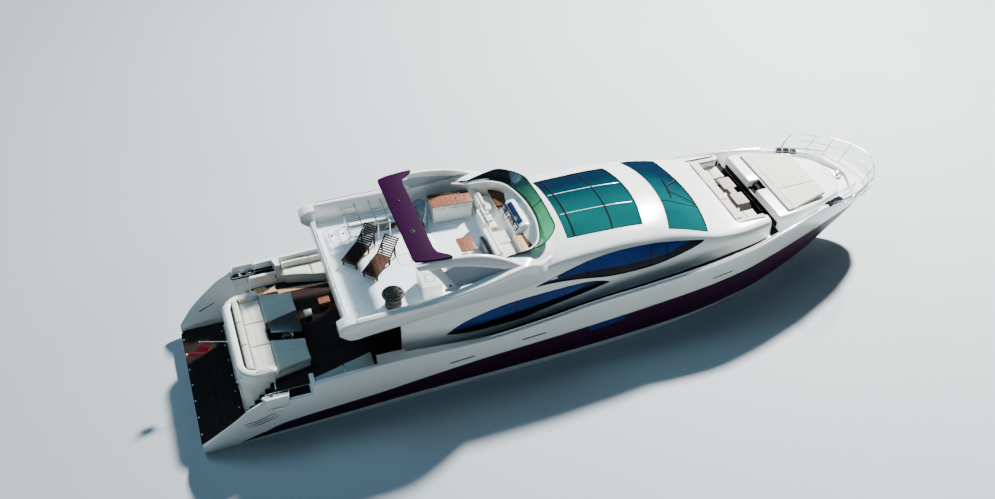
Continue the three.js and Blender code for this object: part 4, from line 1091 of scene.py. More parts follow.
def build_house():
    nose, end = 0.16, 8.65
    fixed = [-7.6, -6.3, -5.90, -2.25, -0.59, 0.96, 2.63, 3.66, 5.15, 5.42, 7.38]
    xs = [x for x in np.arange(-7.6, end - nose, 0.085) if min(abs(x - f) for f in fixed) > 0.03]
    xs = sorted(xs + fixed + list(end - nose + nose * np.sin(np.linspace(0, 0.5 * PI, 9))))
    rows = []
    for x in xs:
        pull = max(0.0, nose - math.sqrt(max(0.0, nose**2 - max(0.0, x - end + nose) ** 2)))
        half = house_half(x, pull)
        rows.append(half + [(px, -y, z) for px, y, z in half[-2::-1]])
    limits = np.cumsum(BANDS)
    count = len(rows[0])

    def opening(i, j):
        port = j < count // 2
        band = int(np.searchsorted(limits, j if port else count - 2 - j, side="right"))
        x = 0.5 * (xs[i] + xs[i + 1])
        if band in (1, 3):
            low, high = WINDOW_SPANS[band // 2]
            return low < x < high
        if band == 5:
            return port and x < STAIR["forward"]
        return band == 6 and (-0.59 < x < 2.63 or 3.66 < x < 5.42 or x > 7.38)

    shell = Build().grid(rows)
    keep = [k for k in range(len(shell.faces)) if not opening(k // (count - 1), k % (count - 1))]
    shell.faces = [shell.faces[k] for k in keep]
    shell.face_material = [0] * len(keep)
    last = len(shell.vertices) - count
    arm = int(limits[5]) + 1
    x, y, z = shell.vertices[last]
    for side, sign in (([last + k for k in range(arm)], 1), ([last + count - 1 - k for k in range(arm)], -1)):
        corner = len(shell.vertices)
        shell.vertices.append((end, sign * LOUNGE["half"], z))
        shell.faces.append(side + [corner])
        shell.face_material.append(0)
    house = shell.object("house_shell", [GELCOAT], sharp=38)
    mesh = house.data
    outward = sum(p.normal.y * p.center.y + p.normal.z * (p.center.z - 3.5) for p in mesh.polygons)
    if outward < 0:
        mesh.flip_normals()
    solidify = house.modifiers.new("thickness", "SOLIDIFY")
    solidify.thickness = 0.07
    solidify.offset = -1.0
    bpy.context.view_layer.update()
    thick = bpy.data.meshes.new_from_object(house.evaluated_get(bpy.context.evaluated_depsgraph_get()))
    house.modifiers.clear()
    house.data = thick
    bpy.data.meshes.remove(mesh)
    thick.set_sharp_from_angle(angle=math.radians(38))
    return settle(house, "gelcoat", replaces=["superstructure"])


build_house()


# Rounded aft edges of the side blades, and the tub of the foredeck lounge
def build_house_edges():
    edges = Build()
    for x, inset in ((-7.6, 0.035),):
        curve = house_section(x, inset)[:60]
        edges.tube([(x, y, z) for y, z in curve[::2]], 0.042, 12)
    edges.mirror()
    edges.piece("house_aft_bullnose", GELCOAT, "gelcoat")

    tub = Build()
    low, floor, aft, half = 3.56, LOUNGE["floor"], LOUNGE["aft"], LOUNGE["half"]
    tub.box((aft - 0.05, -half - 0.05, low), (8.66, half + 0.05, floor), 0.012)
    top = house_z(aft, 1.0) - 0.045
    tub.box((aft - 0.06, -half, floor), (aft, half, top), 0.02)
    tub.box((aft, half, floor), (8.6, half + 0.06, top - 0.03), 0.02)
    tub.box((aft, -half - 0.06, floor), (8.6, -half, top - 0.03), 0.02)
    tub.piece("lounge_tub", GELCOAT, "gelcoat")

    lip = Build()
    path = [(8.5, y, 0) for y in (-half,)] + [(x, -half, 0) for x in np.linspace(8.4, aft + 0.12, 14)]
    path += [(aft + 0.03, -half + 0.03,
              0)] + [(aft, y, 0) for y in np.linspace(-half + 0.12, half - 0.12, 40)]
    path += [(aft + 0.03, half - 0.03, 0)] + [(x, half, 0) for x in np.linspace(aft + 0.12, 8.5, 15)]
    lip.tube([(x, y, house_z(x, y) - 0.012) for x, y, _ in path], 0.026, 12)
    lip.piece("lounge_coaming_lip", GELCOAT, "gelcoat")


build_house_edges()


def side_pane(top, low, part, depth=0.028, thick=0.012, columns=70, rows=12):
    """Glass between two edge curves; part gives the shares of the height where it starts and ends."""
    upper, lower = spline(top, 10), spline(low, 10)[::-1]
    b = Build()
    skins = []
    for inset in (depth, depth + thick):
        grid = []
        for x in np.linspace(top[0][0] + 0.01, top[-1][0] - 0.01, columns):
            z1, z0 = np.interp(x, upper[:, 0], upper[:, 1]), np.interp(x, lower[:, 0], lower[:, 1])
            split = 0.36 + 0.60 * smooth_step(top[-1][0] - 1.9, top[-1][0] - 0.3, x)
            z0, z1 = z0 + 0.004, z1 - 0.004
            ends = [z0 + (z1 - z0) * share for share in ((0, split) if part == "low" else (split, 1))]
            grid.append([(x, house_y(x, z) - inset, z) for z in np.linspace(*ends, rows)])
        skins.append(grid)
    rings = [outer + inner[::-1] for outer, inner in zip(*skins)]
    return b.grid(rings, ring=True, caps=True)


def window_line(top, low, lift=0.0):
    return [(x, house_y(x, z) + lift, z) for x, z in between(top, low)]


def build_side_windows():
    for side, sign in (("port", 1), ("starboard", -1)):
        for level, top, low in (("upper", UPPER_TOP, UPPER_LOW), ("lower", LOWER_TOP, LOWER_LOW)):
            # The lower share of each pane is a separate near-black piece: painted shade on the glass.
            glass, shade = side_pane(top, low, "high"), side_pane(top, low, "low")
            seal = Build().tube(window_line(top, low, -0.006), 0.017, 8, closed=True)
            bars = (-0.05, 2.72, 3.45) if level == "upper" else (-3.0, -1.0)
            upper, lower = spline(top, 10), spline(low, 10)[::-1]
            for x in bars:
                z1, z0 = np.interp(x, upper[:, 0], upper[:, 1]), np.interp(x, lower[:, 0], lower[:, 1])
                seal.tube([(x, house_y(x, z) - 0.026, z) for z in np.linspace(z0, z1, 12)], 0.011, 6)
            if sign < 0:
                for shape in (glass, shade, seal):
                    shape.mirrored_only()
            glass.piece(f"{level}_glass_{side}", SIDE_GLASS, "side_glass",
                        replaces=[f"{level}_side_glass_{side}"])
            shade.piece(f"{level}_glass_shade_{side}", SIDE_GLASS_SHADE, "side_glass")
            seal.piece(f"{level}_glass_seal_{side}", RUBBER, "black_plastic")


build_side_windows()


def roof_pane(pane, depth=0.024, thick=0.014, columns=36, rows=44):
    skins = []
    for inset in (depth, depth + thick):
        grid = []
        for u in np.linspace(0.004, 0.996, columns):
            row = []
            for v in np.linspace(-0.996, 0.996, rows):
                x, y = pane_point(pane, u, v)
                row.append((x, y, house_z(x, y) - inset))
            grid.append(row)
        skins.append(grid)
    rings = [outer + inner[::-1] for outer, inner in zip(*skins)]
    return Build().grid(rings, ring=True, caps=True)


def on_pane(pane, spots, depth):
    path = []
    for u, v in spots:
        x, y = pane_point(pane, u, v)
        path.append((x, y, house_z(x, y) - depth))
    return path


def build_roof_glass():
    roof_pane(ROOF_PANE).piece("sunroof_glass", ROOF_GLASS, "roof_glass", replaces=["roof_glass"])
    roof_pane(WINDSHIELD).piece("windshield_glass", ROOF_GLASS, "roof_glass", replaces=["windshield"])
    frame = Build()
    for pane in (ROOF_PANE, WINDSHIELD):
        frame.tube([(x, y, house_z(x, y) - 0.004) for x, y in pane_outline(pane)], 0.02, 8, closed=True)
    across = np.linspace(-0.99, 0.99, 30)
    flat = [(a, b * 0.5) for a, b in circle(1.0, 10)]
    for u, width in ((0.10, 0.035), (0.60, 0.03)):
        frame.sweep(on_pane(ROOF_PANE, [(u, v) for v in across], 0.014),
                    [(a * width, b * width) for a, b in flat])
    frame.sweep(on_pane(WINDSHIELD, [(u, -0.34 - 0.02 * u) for u in np.linspace(0.02, 0.98, 20)], 0.016),
                [(a * 0.018, b * 0.018) for a, b in flat])
    frame.piece("roof_glass_frame", RUBBER, "black_plastic")
    seams = Build()
    for v in (-0.33, 0.36):
        seams.sweep(on_pane(ROOF_PANE, [(u, v) for u in np.linspace(0.03, 0.97, 24)], 0.019),
                    [(a * 0.011, b * 0.008) for a, b in flat])
    seams.piece("roof_glass_seams", LAMP, "gelcoat")
    lip = Build()
    for pane, grow in ((ROOF_PANE, 0.06), (WINDSHIELD, 0.06)):
        lip.tube([(x, y, house_z(x, y) - 0.008) for x, y in pane_outline(pane, grow)], 0.014, 8, closed=True)
    lip.piece("roof_glass_surround", GELCOAT, "gelcoat")


build_roof_glass()


def build_wipers():
    arms = Build()
    blades = Build()
    for v0, v1, u1 in ((-0.30, -0.02, 0.42), (0.40, 0.12, 0.45)):
        foot = on_pane(WINDSHIELD, [(0.985, v0)], -0.03)[0]
        tip = on_pane(WINDSHIELD, [(u1, v1)], -0.02)[0]
        arms.lathe(foot, [(0, -0.05), (0.035, -0.05), (0.03, 0.02), (0, 0.03)], sides=14)
        middle = on_pane(WINDSHIELD, [(0.5 * (0.985 + u1), 0.5 * (v0 + v1))], -0.045)[0]
        arms.tube(spline([foot, middle, tip], 8), 0.018, 8)
        along = on_pane(WINDSHIELD, [(u1 + (t - 0.5) * 0.14,
                                      v1 + (t - 0.5) * 0.42) for t in np.linspace(0, 1, 14)], -0.006)
        blades.sweep(along, [(-0.026, -0.008), (0.026, -0.008), (0.014, 0.016), (-0.014, 0.016)])
    arms.piece("wiper_arms", BLACK, "black_plastic")
    blades.piece("wiper_blades", RUBBER, "black_plastic")


build_wipers()


# Flybridge moulding: one closed loft with the stair opening, wings aft and a rolled coaming
FLY_DECK, FLY_UNDERSIDE = 4.6, 4.47
FLY_AFT, FLY_BAY, FLY_END = -10.04, -9.72, -1.35


def fly_values(x):
    """Outer corner, bottom corner and inner edge of the coaming at a station."""
    top_y, top_z = FLY.at("top_y", x), FLY.at("top_z", x)
    ease = smooth_step(-3.0, -1.4, x)
    corner_z = top_z + (5.32 - top_z) * ease
    corner_y = top_y + (2.46 - top_y) * smooth_step(-2.2, -1.35, x)
    bottom_y = FLY.at("bottom_y", x) + (2.755 - FLY.at("bottom_y", x)) * smooth_step(-3.0, -1.4, x)
    return corner_y, corner_z, bottom_y, max(FLY.at("bottom_z", x), FLY_UNDERSIDE), FLY.at("well_y", x), top_z


def fly_flank(x, t):
    corner_y, corner_z, bottom_y, bottom_z, _, _ = fly_values(x)
    r = 0.07 + 0.10 * smooth_step(-2.6, -1.4, x)
    y = bottom_y + (corner_y - bottom_y) * t + 0.25 * t * (1 - t)
    return y, bottom_z + (corner_z - r - bottom_z) * t


def fly_top_z(x, y):
    """Height of the coaming's top surface."""
    corner_y, corner_z, _, _, well_y, top_z = fly_values(x)
    share = min(max((corner_y - y) / max(corner_y - well_y, 0.05), 0.0), 1.0)
    return corner_z + (top_z - corner_z) * math.sin(0.5 * PI * share)


def fly_half(x, well):
    _, corner_z, bottom_y, _, well_y, top_z = fly_values(x)
    flat = min(2.6, bottom_y - 0.08)
    r = 0.07 + 0.10 * smooth_step(-2.6, -1.4, x)
    half = [(y, FLY_UNDERSIDE) for y in (0.0, 0.9, STAIR["low"], STAIR["high"], flat)]
    half += [fly_flank(x, t) for t in np.linspace(0, 1, 10)]
    side = half[-1][0]
    for k in range(1, 6):
        a = 0.5 * PI * k / 5
        half.append((side - r * (1 - math.cos(a)), corner_z - r * (1 - math.sin(a))))
    start, inner = half[-1][0], well_y + 0.05
    for t in np.linspace(0, 1, 9)[1:]:
        y = start + (inner - start) * t
        half.append((y, fly_top_z(x, y)))
    if well:
        half += [(inner - 0.03, top_z - 0.012), (inner - 0.045, top_z - 0.045)]
        half += [(well_y + 0.002, 4.72), (well_y - 0.002, 4.66), (well_y - 0.022, 4.618),
                 (well_y - 0.06, FLY_DECK)]
        floor = FLY_DECK
        half += [(min(y, k * well_y), floor) for y, k in ((2.54, 0.9), (1.88, 0.75), (0.9, 0.4), (0.0, 0.0))]
    else:
        crown = house_z(-1.35, 0) if x > -1.4 else top_z
        rest = np.linspace(inner, 0, 11)[1:]
        half += [(float(y), top_z + (crown - top_z) * (1 - y / inner)) for y in rest]
    return half


def build_flybridge():
    body = Build()
    step = -1.51
    xs = [x for x in np.arange(FLY_BAY, FLY_END, 0.085)
          if all(abs(x - f) > 0.03 for f in (-8.3, -6.3, step, FLY_END))]
    xs = sorted(xs + [-8.3, -6.3, step - 1e-4, step, FLY_END])
    rows = []
    for x in xs:
        half = fly_half(x, x < step - 5e-5)
        rows.append([(x, y, z) for y, z in half] + [(x, -y, z) for y, z in half[-2:0:-1]])
    count = len(rows[0])
    body.grid(rows, ring=True, caps=True)
    top = len(fly_half(-7.0, True))
    low_edges, high_edges = (2, 3), (top - 3, top - 4)
    keep, first, last = [], xs.index(-8.3), xs.index(-6.3)
    for k in range(len(body.faces)):
        i, j = k // count, k % count
        hole = k < (len(xs) - 1) * count and first <= i < last and (j == low_edges[0] or j == high_edges[1])
        if not hole:
            keep.append(k)
    body.faces = [body.faces[k] for k in keep]
    at = lambda i, j: i * count + j
    for i in range(first, last):
        for low, high in zip(low_edges, high_edges):
            body.faces.append([at(i, low), at(i + 1, low), at(i + 1, high), at(i, high)])
    for i in (first, last):
        body.faces.append([at(i, low_edges[0]), at(i, low_edges[1]), at(i, high_edges[1]),
                           at(i, high_edges[0])])
    body.face_material = [0] * len(body.faces)

    for sign in (1, -1):
        rows = []
        for x, k in ((FLY_AFT, 0.955), (-10.035, 0.975), (-10.02, 0.99), (-9.99, 1.0), (-9.88, 1.0),
                     (FLY_BAY, 1.0), (-9.45, 1.0)):
            outer = [fly_flank(x, t) for t in np.linspace(0, 1, 8)]
            corner_z = fly_values(x)[1]
            side = outer[-1][0]
            outer += [(side - 0.03 * (1 - math.cos(a)),
                       corner_z - 0.03 * (1 - math.sin(a))) for a in np.linspace(0.3, 0.5 * PI, 5)]
            low = outer[0][1]
            inner = 2.95
            outer += [(inner + 0.05, corner_z), (inner + 0.015, corner_z - 0.015), (inner, corner_z - 0.05)]
            outer += [(inner, low + 0.05), (inner + 0.05, low)]
            centre_y, centre_z = 3.2, 0.5 * (low + corner_z)
            rows.append([(x, sign * (centre_y + (y - centre_y) * k), centre_z + (z - centre_z) * k) for y,
                         z in outer])
        body.grid(rows, ring=True, caps=True)

    rounded = [(-0.10, 4.56), (-0.11, 4.60), (-0.11, 4.87), (-0.09, 4.93), (-0.05, 4.965), (0.0, 4.975)]
    rounded += [(-a, z) for a, z in rounded[-2::-1]]
    body.sweep([(-9.61, y, 0) for y in np.linspace(-3.26, 3.26, 24)], rounded)
    for sign in (1, -1):
        shoulder = [(0.0, 5.40), (0.03, 5.28), (0.09, 5.12), (0.2, 5.02), (0.36, 4.97)]
        body.prism([(sign * (3.24 - a), z) for a, z in shoulder] + [(sign * 3.24, 4.9)], -9.70, -9.52, 0.015,
                   2, 0,
                   Matrix(((0, 0, 1, 0), (1, 0, 0, 0), (0, 1, 0, 0), (0, 0, 0, 1))))
    body.piece("flybridge_moulding", GELCOAT, "gelcoat", replaces=["flybridge"], sharp=36)


build_flybridge()


def build_fly_deck():
    deck = Build()
    edge = [(x, FLY.at("well_y", x) - 0.11) for x in np.arange(-9.42, -3.2, 0.2)]
    edge += [(x, FLY.at("well_y", x) - 0.11) for x in np.arange(-3.2, -1.62, 0.08)]
    port = [(x, y) for x, y in edge if y > 0]
    strips = []
    for (xa, ya), (xb, yb) in zip(port, port[1:]):
        middle = 0.5 * (xa + xb)
        cuts = [(-ya, ya, -yb, yb)]
        if STAIR["aft"] - 0.12 < middle < STAIR["forward"] + 0.12:
            cuts = [(-ya, STAIR["low"] - 0.06, -yb, STAIR["low"] - 0.06),
                    (STAIR["high"] + 0.06, ya, STAIR["high"] + 0.06, yb)]
        strips.extend((xa, xb, cut_line) for cut_line in cuts)
    for xa, xb, (a0, a1, b0, b1) in strips:
        rows = [[(xa, y, 4.606) for y in np.linspace(a0, a1, 12)],
                [(xb, y, 4.606) for y in np.linspace(b0, b1, 12)]]
        low = [[(x, y, 4.599) for x, y, _ in row] for row in rows]
        deck.grid([low[0] + rows[0][::-1], low[1] + rows[1][::-1]], ring=True, caps=True)
    deck.piece("fly_deck_nonskid", NONSKID, "gelcoat")

    trim = Build()
    hatch = rounded_outline([(-9.1, 1.72), (-8.42, 1.72), (-8.42, 2.68), (-9.1, 2.68)], 0.1, 6)
    trim.tube([(x, y, 4.606) for x, y in hatch], 0.011, 6, closed=True)
    trim.tube([(x, y, 4.607) for x, y in rounded_outline([(-6.9, -0.3), (-6.4, -0.3), (-6.4, 0.3),
                                                          (-6.9, 0.3)], 0.06)],
              0.009, 6, closed=True)
    for x in (-9.0, -8.52):
        trim.box((x - 0.03, 2.15, 4.6), (x + 0.03, 2.25, 4.618), 0.006)
    trim.piece("fly_hatch_gasket", RUBBER, "black_plastic")

    frame_line = Build()
    corners = [(STAIR["aft"], STAIR["low"]), (STAIR["forward"], STAIR["low"]),
               (STAIR["forward"], STAIR["high"]), (STAIR["aft"], STAIR["high"])]
    frame_line.tube([(x, y, 4.606) for x, y in rounded_outline(corners, 0.02, 3)], 0.024, 10, closed=True)
    frame_line.piece("stair_opening_trim", STEEL, "stainless")


build_fly_deck()


# Radar arch: the plum band and its two swept legs
def leaned(x, z, across):
    return x, 3.06 - 0.38 * (z - 5.4) + across, z


def swept_leg(upper, lower, half_thick, count=40):
    """Rounded blade between an upper and a lower edge line, both given in X and Z."""
    top, bottom = resample(spline(upper, 12), 0.01), resample(spline(lower, 12), 0.01)
    b = Build()
    rows = []
    for t in np.linspace(0, 1, count):
        a, c = top[int(t * (len(top) - 1))], bottom[int(t * (len(bottom) - 1))]
        ring = []
        for k in range(20):
            angle = 2 * PI * k / 20
            u = 0.5 + 0.5 * math.copysign(abs(math.cos(angle)) ** 0.55, math.cos(angle))
            v = math.copysign(abs(math.sin(angle)) ** 0.55, math.sin(angle))
            ring.append(leaned(a[0] + (c[0] - a[0]) * u, a[1] + (c[1] - a[1]) * u, v * half_thick))
        rows.append(ring)
    return b.grid(rows, ring=True, caps=True)


def build_arch():
    upper = [(-6.98, 6.70), (-6.1, 6.72), (-5.5, 6.70), (-4.7, 6.60), (-4.0, 6.40), (-3.4, 6.12),
             (-2.86, 5.80)]
    lower = [(-6.86, 6.5), (-6.3, 6.43), (-5.5, 6.36), (-4.8, 6.2), (-4.1, 6.0), (-3.6, 5.84), (-3.2, 5.77)]
    leg = swept_leg(upper, lower, 0.085, 60)
    strut = swept_leg([(-6.62, 6.52), (-6.36, 6.28), (-6.08, 5.90), (-5.84, 5.48)],
                      [(-6.05, 6.42), (-5.95, 6.25), (-5.72, 5.92), (-5.42, 5.50)], 0.062, 24)
    leg.add(strut.vertices, strut.faces, 0)
    foot = [leaned(x, 5.56, 0) for x in (-5.98, -5.4)]
    leg.sweep([(foot[0][0], foot[0][1] - 0.02, 5.53), (foot[1][0], foot[1][1] - 0.02, 5.55)],
              [(a * 0.09, b * 0.045) for a, b in circle(1.0, 14)])
    # The recessed panel takes the blue-grey painted-shade colour instead of white gelcoat.
    panel = Build()
    edge = [(-6.02, 6.20), (-5.50, 5.54), (-4.9, 5.58), (-3.5, 5.76), (-4.1, 5.995), (-4.8, 6.19),
            (-5.5, 6.345)]
    rows = []
    ring = rounded_outline(edge, 0.05, 3)
    for across, inset in ((-0.022, 0.0), (0.012, 0.0), (0.018, 0.012)):
        centre = np.mean(np.array(ring), axis=0)
        rows.append([leaned(*(np.array(p) + (centre - np.array(p)) * inset), across) for p in ring])
    panel.grid(rows, ring=True, caps=True)
    spot = Build()
    x, y, z = leaned(-5.78, 5.72, 0.056)
    spot.lathe((x, y, z), [(0, -0.01), (0.045, -0.01), (0.045, 0.006), (0.03, 0.014), (0, 0.014)],
               (0, 0.93, 0.36), 20)
    for side, sign in (("port", 1), ("starboard", -1)):
        parts = [(leg, f"arch_leg_shell_{side}", GELCOAT, "gelcoat", [f"arch_leg_{side}"]),
                 (panel, f"arch_leg_panel_{side}", ARCH_PANEL_SHADE, "gelcoat", []),
                 (spot, f"arch_leg_lamp_{side}", BLACK, "black_plastic", [])]
        for shape, name, material, slot, nodes in parts:
            made = Build()
            made.add(shape.vertices, shape.faces, 0)
            if sign < 0:
                made.mirrored_only()
            made.piece(name, material, slot, replaces=nodes)

    band = Build()
    rows = []
    for y in np.linspace(-2.62, 2.62, 64):
        side = abs(y)
        aft = -6.98 + 0.06 * smooth_step(2.3, 2.48, side) + 1.15 * smooth_step(2.44, 2.66, side) ** 1.5
        forward = -6.08 + 0.06 * smooth_step(1.9, 2.2, side) + 0.46 * smooth_step(2.15, 2.6, side)
        forward = max(forward, aft + 0.05)
        crown = 0.02 * (1 - (side / 2.7) ** 2)
        low = 6.7 + 0.004
        r = 0.035
        ring = []
        for centre_x, centre_z, a0 in ((aft + r, 6.8 - r + crown, PI),
                                       (forward - r, 6.8 - r + crown, 0.5 * PI),
                                       (forward - r, low + r, 0.0), (aft + r, low + r, -0.5 * PI)):
            for k in range(4):
                a = a0 - 0.5 * PI * k / 3
                ring.append((centre_x + r * math.cos(a), y, centre_z + r * math.sin(a)))
        rows.append(ring)
    band.grid(rows, ring=True, caps=True)
    band.piece("arch_band_shell", ARCH_PLUM, "plum_paint", replaces=["arch_band"])

    top = Build()
    top.lathe((-6.55, -0.9, 6.81), [(0, 0), (0.10, 0), (0.10, 0.012), (0.03, 0.02), (0.022, 0.05),
                                    (0, 0.052)], sides=24)
    top.lathe((-6.55, 0.9, 6.81), [(0, 0), (0.06, 0), (0.06, 0.01), (0.05, 0.04), (0.02, 0.055), (0, 0.056)],
              sides=20)
    top.piece("arch_aerial_base", BLACK, "black_plastic")


build_arch()


# Wrap-round windscreen on the flybridge coaming
SCREEN_BASE = [(-3.27, 2.36), (-2.6, 2.30), (-2.1, 2.08), (-1.78, 1.77), (-1.55, 1.2), (-1.42, 0.6),
               (-1.38, 0)]
SCREEN_TOP = [(-3.27, 2.36, 5.87), (-2.5, 2.42, 6.02), (-1.85, 2.36, 6.12), (-1.15, 1.7, 6.14),
              (-1.02, 0.9, 6.15), (-0.98, 0, 6.15)]


def mirrored_path(path):
    points = [tuple(p) for p in path]
    return points + [(x, -y, *rest) for x, y, *rest in reversed(points[:-1])]


def build_windscreen():
    low = resample(mirrored_path(spline([(x, y, 5.79) for x, y in SCREEN_BASE], 10)), 0.08)
    high_raw = resample(mirrored_path(spline(SCREEN_TOP, 10)), 0.08)
    place = np.linspace(0, 1, len(low))
    high = np.stack([np.interp(place, np.linspace(0, 1, len(high_raw)), high_raw[:, k]) for k in range(3)],
                    axis=1)
    glass = Build()
    rows = []
    for a, b in zip(low, high):
        if b[2] - a[2] < 0.06:
            continue
        outward = np.array([b[0] - a[0], b[1] - a[1], 0.0])
        outward /= max(np.linalg.norm(outward), 1e-6)
        skin = [a + (b - a) * t + np.array([0, 0, 0.02]) * math.sin(PI * t) for t in np.linspace(0.02, 1, 8)]
        rows.append(skin + [p - 0.010 * outward - np.array([0, 0, 0.004]) for p in skin[::-1]])
    first, last = int(0.26 * len(rows)), int(0.86 * len(rows))
    glass.grid(rows[first:last + 1], ring=True, caps=True)
    glass.piece("fly_windscreen_glass", SCREEN_GLASS, "roof_glass", replaces=["fly_windscreen"])
    smoked = Build()
    smoked.grid(rows[:first + 1], ring=True, caps=True)
    smoked.grid(rows[last:], ring=True, caps=True)
    smoked.piece("fly_windscreen_sides", SMOKED_GLASS, "side_glass")

    frame_bars = Build()
    frame_bars.tube(high, 0.021, 10)
    frame_bars.tube([p + np.array([0, 0, 0.006]) for p in low], 0.022, 10)
    n = len(low) - 1
    for share in (0.27, 0.5, 0.85):
        k = int(round(share * n))
        frame_bars.tube([low[k] + (high[k] - low[k]) * t for t in np.linspace(0, 1, 6)], 0.019, 8)
    frame_bars.piece("fly_windscreen_frame", RUBBER, "black_plastic")
    wings = Build()
    for sign in (1, -1):
        wing = [(-3.9, 2.62, 5.80), (-3.27, 2.38, 5.80), (-3.27, 2.37, 5.89)]
        pts = [(x, sign * y, z) for x, y, z in wing]
        wings.add(pts + [(x, y - sign * 0.012, z) for x, y, z in pts],
                  [[0, 1, 2], [5, 4, 3], [0, 3, 4, 1], [1, 4, 5, 2], [2, 5, 3, 0]])
    wings.piece("fly_windscreen_wings", RUBBER, "black_plastic")

    ledge = Build()
    path = resample(mirrored_path(spline([(x, y, 5.775) for x, y in [(-3.9, 2.60)] + SCREEN_BASE], 10)), 0.09)
    ledge.sweep(path, [(-0.10, -0.05), (-0.10, -0.006), (-0.08, 0.008), (0.08, 0.008), (0.10, -0.006),
                       (0.10, -0.05)])
    ledge.piece("fly_windscreen_ledge", GELCOAT, "gelcoat")


build_windscreen()


# Upholstery: a closed crowned form with pulled-in sides, sewn channels, wrinkles and a piping cord
def even_steps(count, reach=1.0):
    """Spots from -1 to 1, closer together towards both ends."""
    t = np.linspace(-1, 1, count + 1)
    return reach * np.sign(t) * (1 - (1 - np.abs(t)) ** 1.5)


def cushion(name, quad, low, high, cloth=None, slot="cushion_beige", crown=0.035, radius=0.05, pull=0.018,
            channels=(),
            cross=(), place=None, both=False, steps=(22, 30, 6), piping=True, replaces=()):
    """quad is the outline's four corners; channels run along the second side, cross seams along the first."""
    nu, nv, nw = steps
    quad = [np.array(p, float) for p in quad]
    a = 0.25 * (np.linalg.norm(quad[1] - quad[0]) + np.linalg.norm(quad[2] - quad[3]))
    b = 0.25 * (np.linalg.norm(quad[3] - quad[0]) + np.linalg.norm(quad[2] - quad[1]))
    t = 0.5 * (high - low)
    r = min(radius, 0.9 * t, 0.45 * a, 0.45 * b)
    us, vs, ws = even_steps(nu), even_steps(nv), np.linspace(-1, 1, nw + 1)
    seed = float(sum(ord(c) for c in name) % 97)

    def shape(u, v, w):
        p = np.array([u * a, v * b, w * t])
        core = np.clip(p, (r - a, r - b, r - t), (a - r, b - r, t - r))
        away = p - core
        length = np.linalg.norm(away)
        q = core + (away / length * r if length > 1e-9 else 0)
        x, y, z = q
        x -= pull * (x / a) * math.cos(0.5 * PI * min(1, abs(v)))
        y -= pull * (y / b) * math.cos(0.5 * PI * min(1, abs(u)))
        face = min(max(abs(w) * 4 - 3, 0.0), 1.0)
        if w > 0 or both:
            lift = crown * (1 - u * u) * (1 - v * v) ** 0.8
            for c in channels:
                lift -= 0.55 * crown * math.exp(-((u - c) * a / 0.022) ** 2)
            for c in cross:
                lift -= 0.55 * crown * math.exp(-((v - c) * b / 0.022) ** 2)
            wave = noise.noise(Vector((x * 5 + seed, y * 5, low)))
            crease = noise.noise(Vector((x * 17 + seed, y * 17, 3.0)))
            corner = math.exp(-((1 - abs(u)) * a + (1 - abs(v)) * b) / 0.12)
            pucker = corner * math.sin(38 * math.atan2((1 - abs(u)) * a + 0.02, (1 - abs(v)) * b + 0.02))
            lift += 0.006 * wave + 0.0022 * crease + 0.003 * pucker
            z += math.copysign(face * lift, w)
        s, q2 = 0.5 * (x / a + 1), 0.5 * (y / b + 1)
        flat = (1 - q2) * ((1 - s) * quad[0] + s * quad[1]) + q2 * ((1 - s) * quad[3] + s * quad[2])
        return Vector((flat[0], flat[1], z + low + t))

    spots, points, faces = {}, [], []

    def vertex(i, j, k):
        if (i, j, k) not in spots:
            spots[(i, j, k)] = len(points)
            points.append(shape(us[i], vs[j], ws[k]))
        return spots[(i, j, k)]

    for k, turn in ((0, 1), (nw, -1)):
        for i in range(nu):
            for j in range(nv):
                faces.append([vertex(i, j, k), vertex(i, j + 1, k), vertex(i + 1, j + 1, k),
                              vertex(i + 1, j, k)][::turn])
    for k in range(nw):
        for i in range(nu):
            for j, turn in ((0, 1), (nv, -1)):
                faces.append([vertex(i, j, k), vertex(i + 1, j, k), vertex(i + 1, j, k + 1),
                              vertex(i, j, k + 1)][::turn])
        for j in range(nv):
            for i, turn in ((0, -1), (nu, 1)):
                faces.append([vertex(i, j, k), vertex(i, j + 1, k), vertex(i, j + 1, k + 1),
                              vertex(i, j, k + 1)][::turn])
    body = Build().add(points, faces, 0, place)
    if piping:
        loop = [(i, 0) for i in range(nu)] + [(nu, j) for j in range(nv)]
        loop += [(i, nv) for i in range(nu, 0, -1)] + [(0, j) for j in range(nv, 0, -1)]
        edge = [points[spots[(i, j, nw)]] for i, j in loop]
        if place is not None:
            edge = [place @ p for p in edge]
        body.tube(edge, 0.008, 6, closed=True, material=1)
    obj = body.piece(name, [cloth or CLOTH, CLOTH_WHITE if cloth is None else cloth], slot, replaces=replaces,
                     sharp=60)
    return obj


def rect(x0, y0, x1, y1):
    return [(x0, y0), (x1, y0), (x1, y1), (x0, y1)]


def upright(x, lean=0.12, turn=0.0, base=(0, 0, 0)):
    """Frame for a backrest: local X is up, local Y across, local Z towards the sitter."""
    facing = Matrix(((math.sin(-lean), 0, math.cos(-lean)), (0, 1, 0),
                     (math.cos(-lean), 0, -math.sin(-lean)))).to_4x4()
    return Matrix.Translation((x, base[1], base[2])) @ Matrix.Rotation(turn, 4, "Z") @ facing


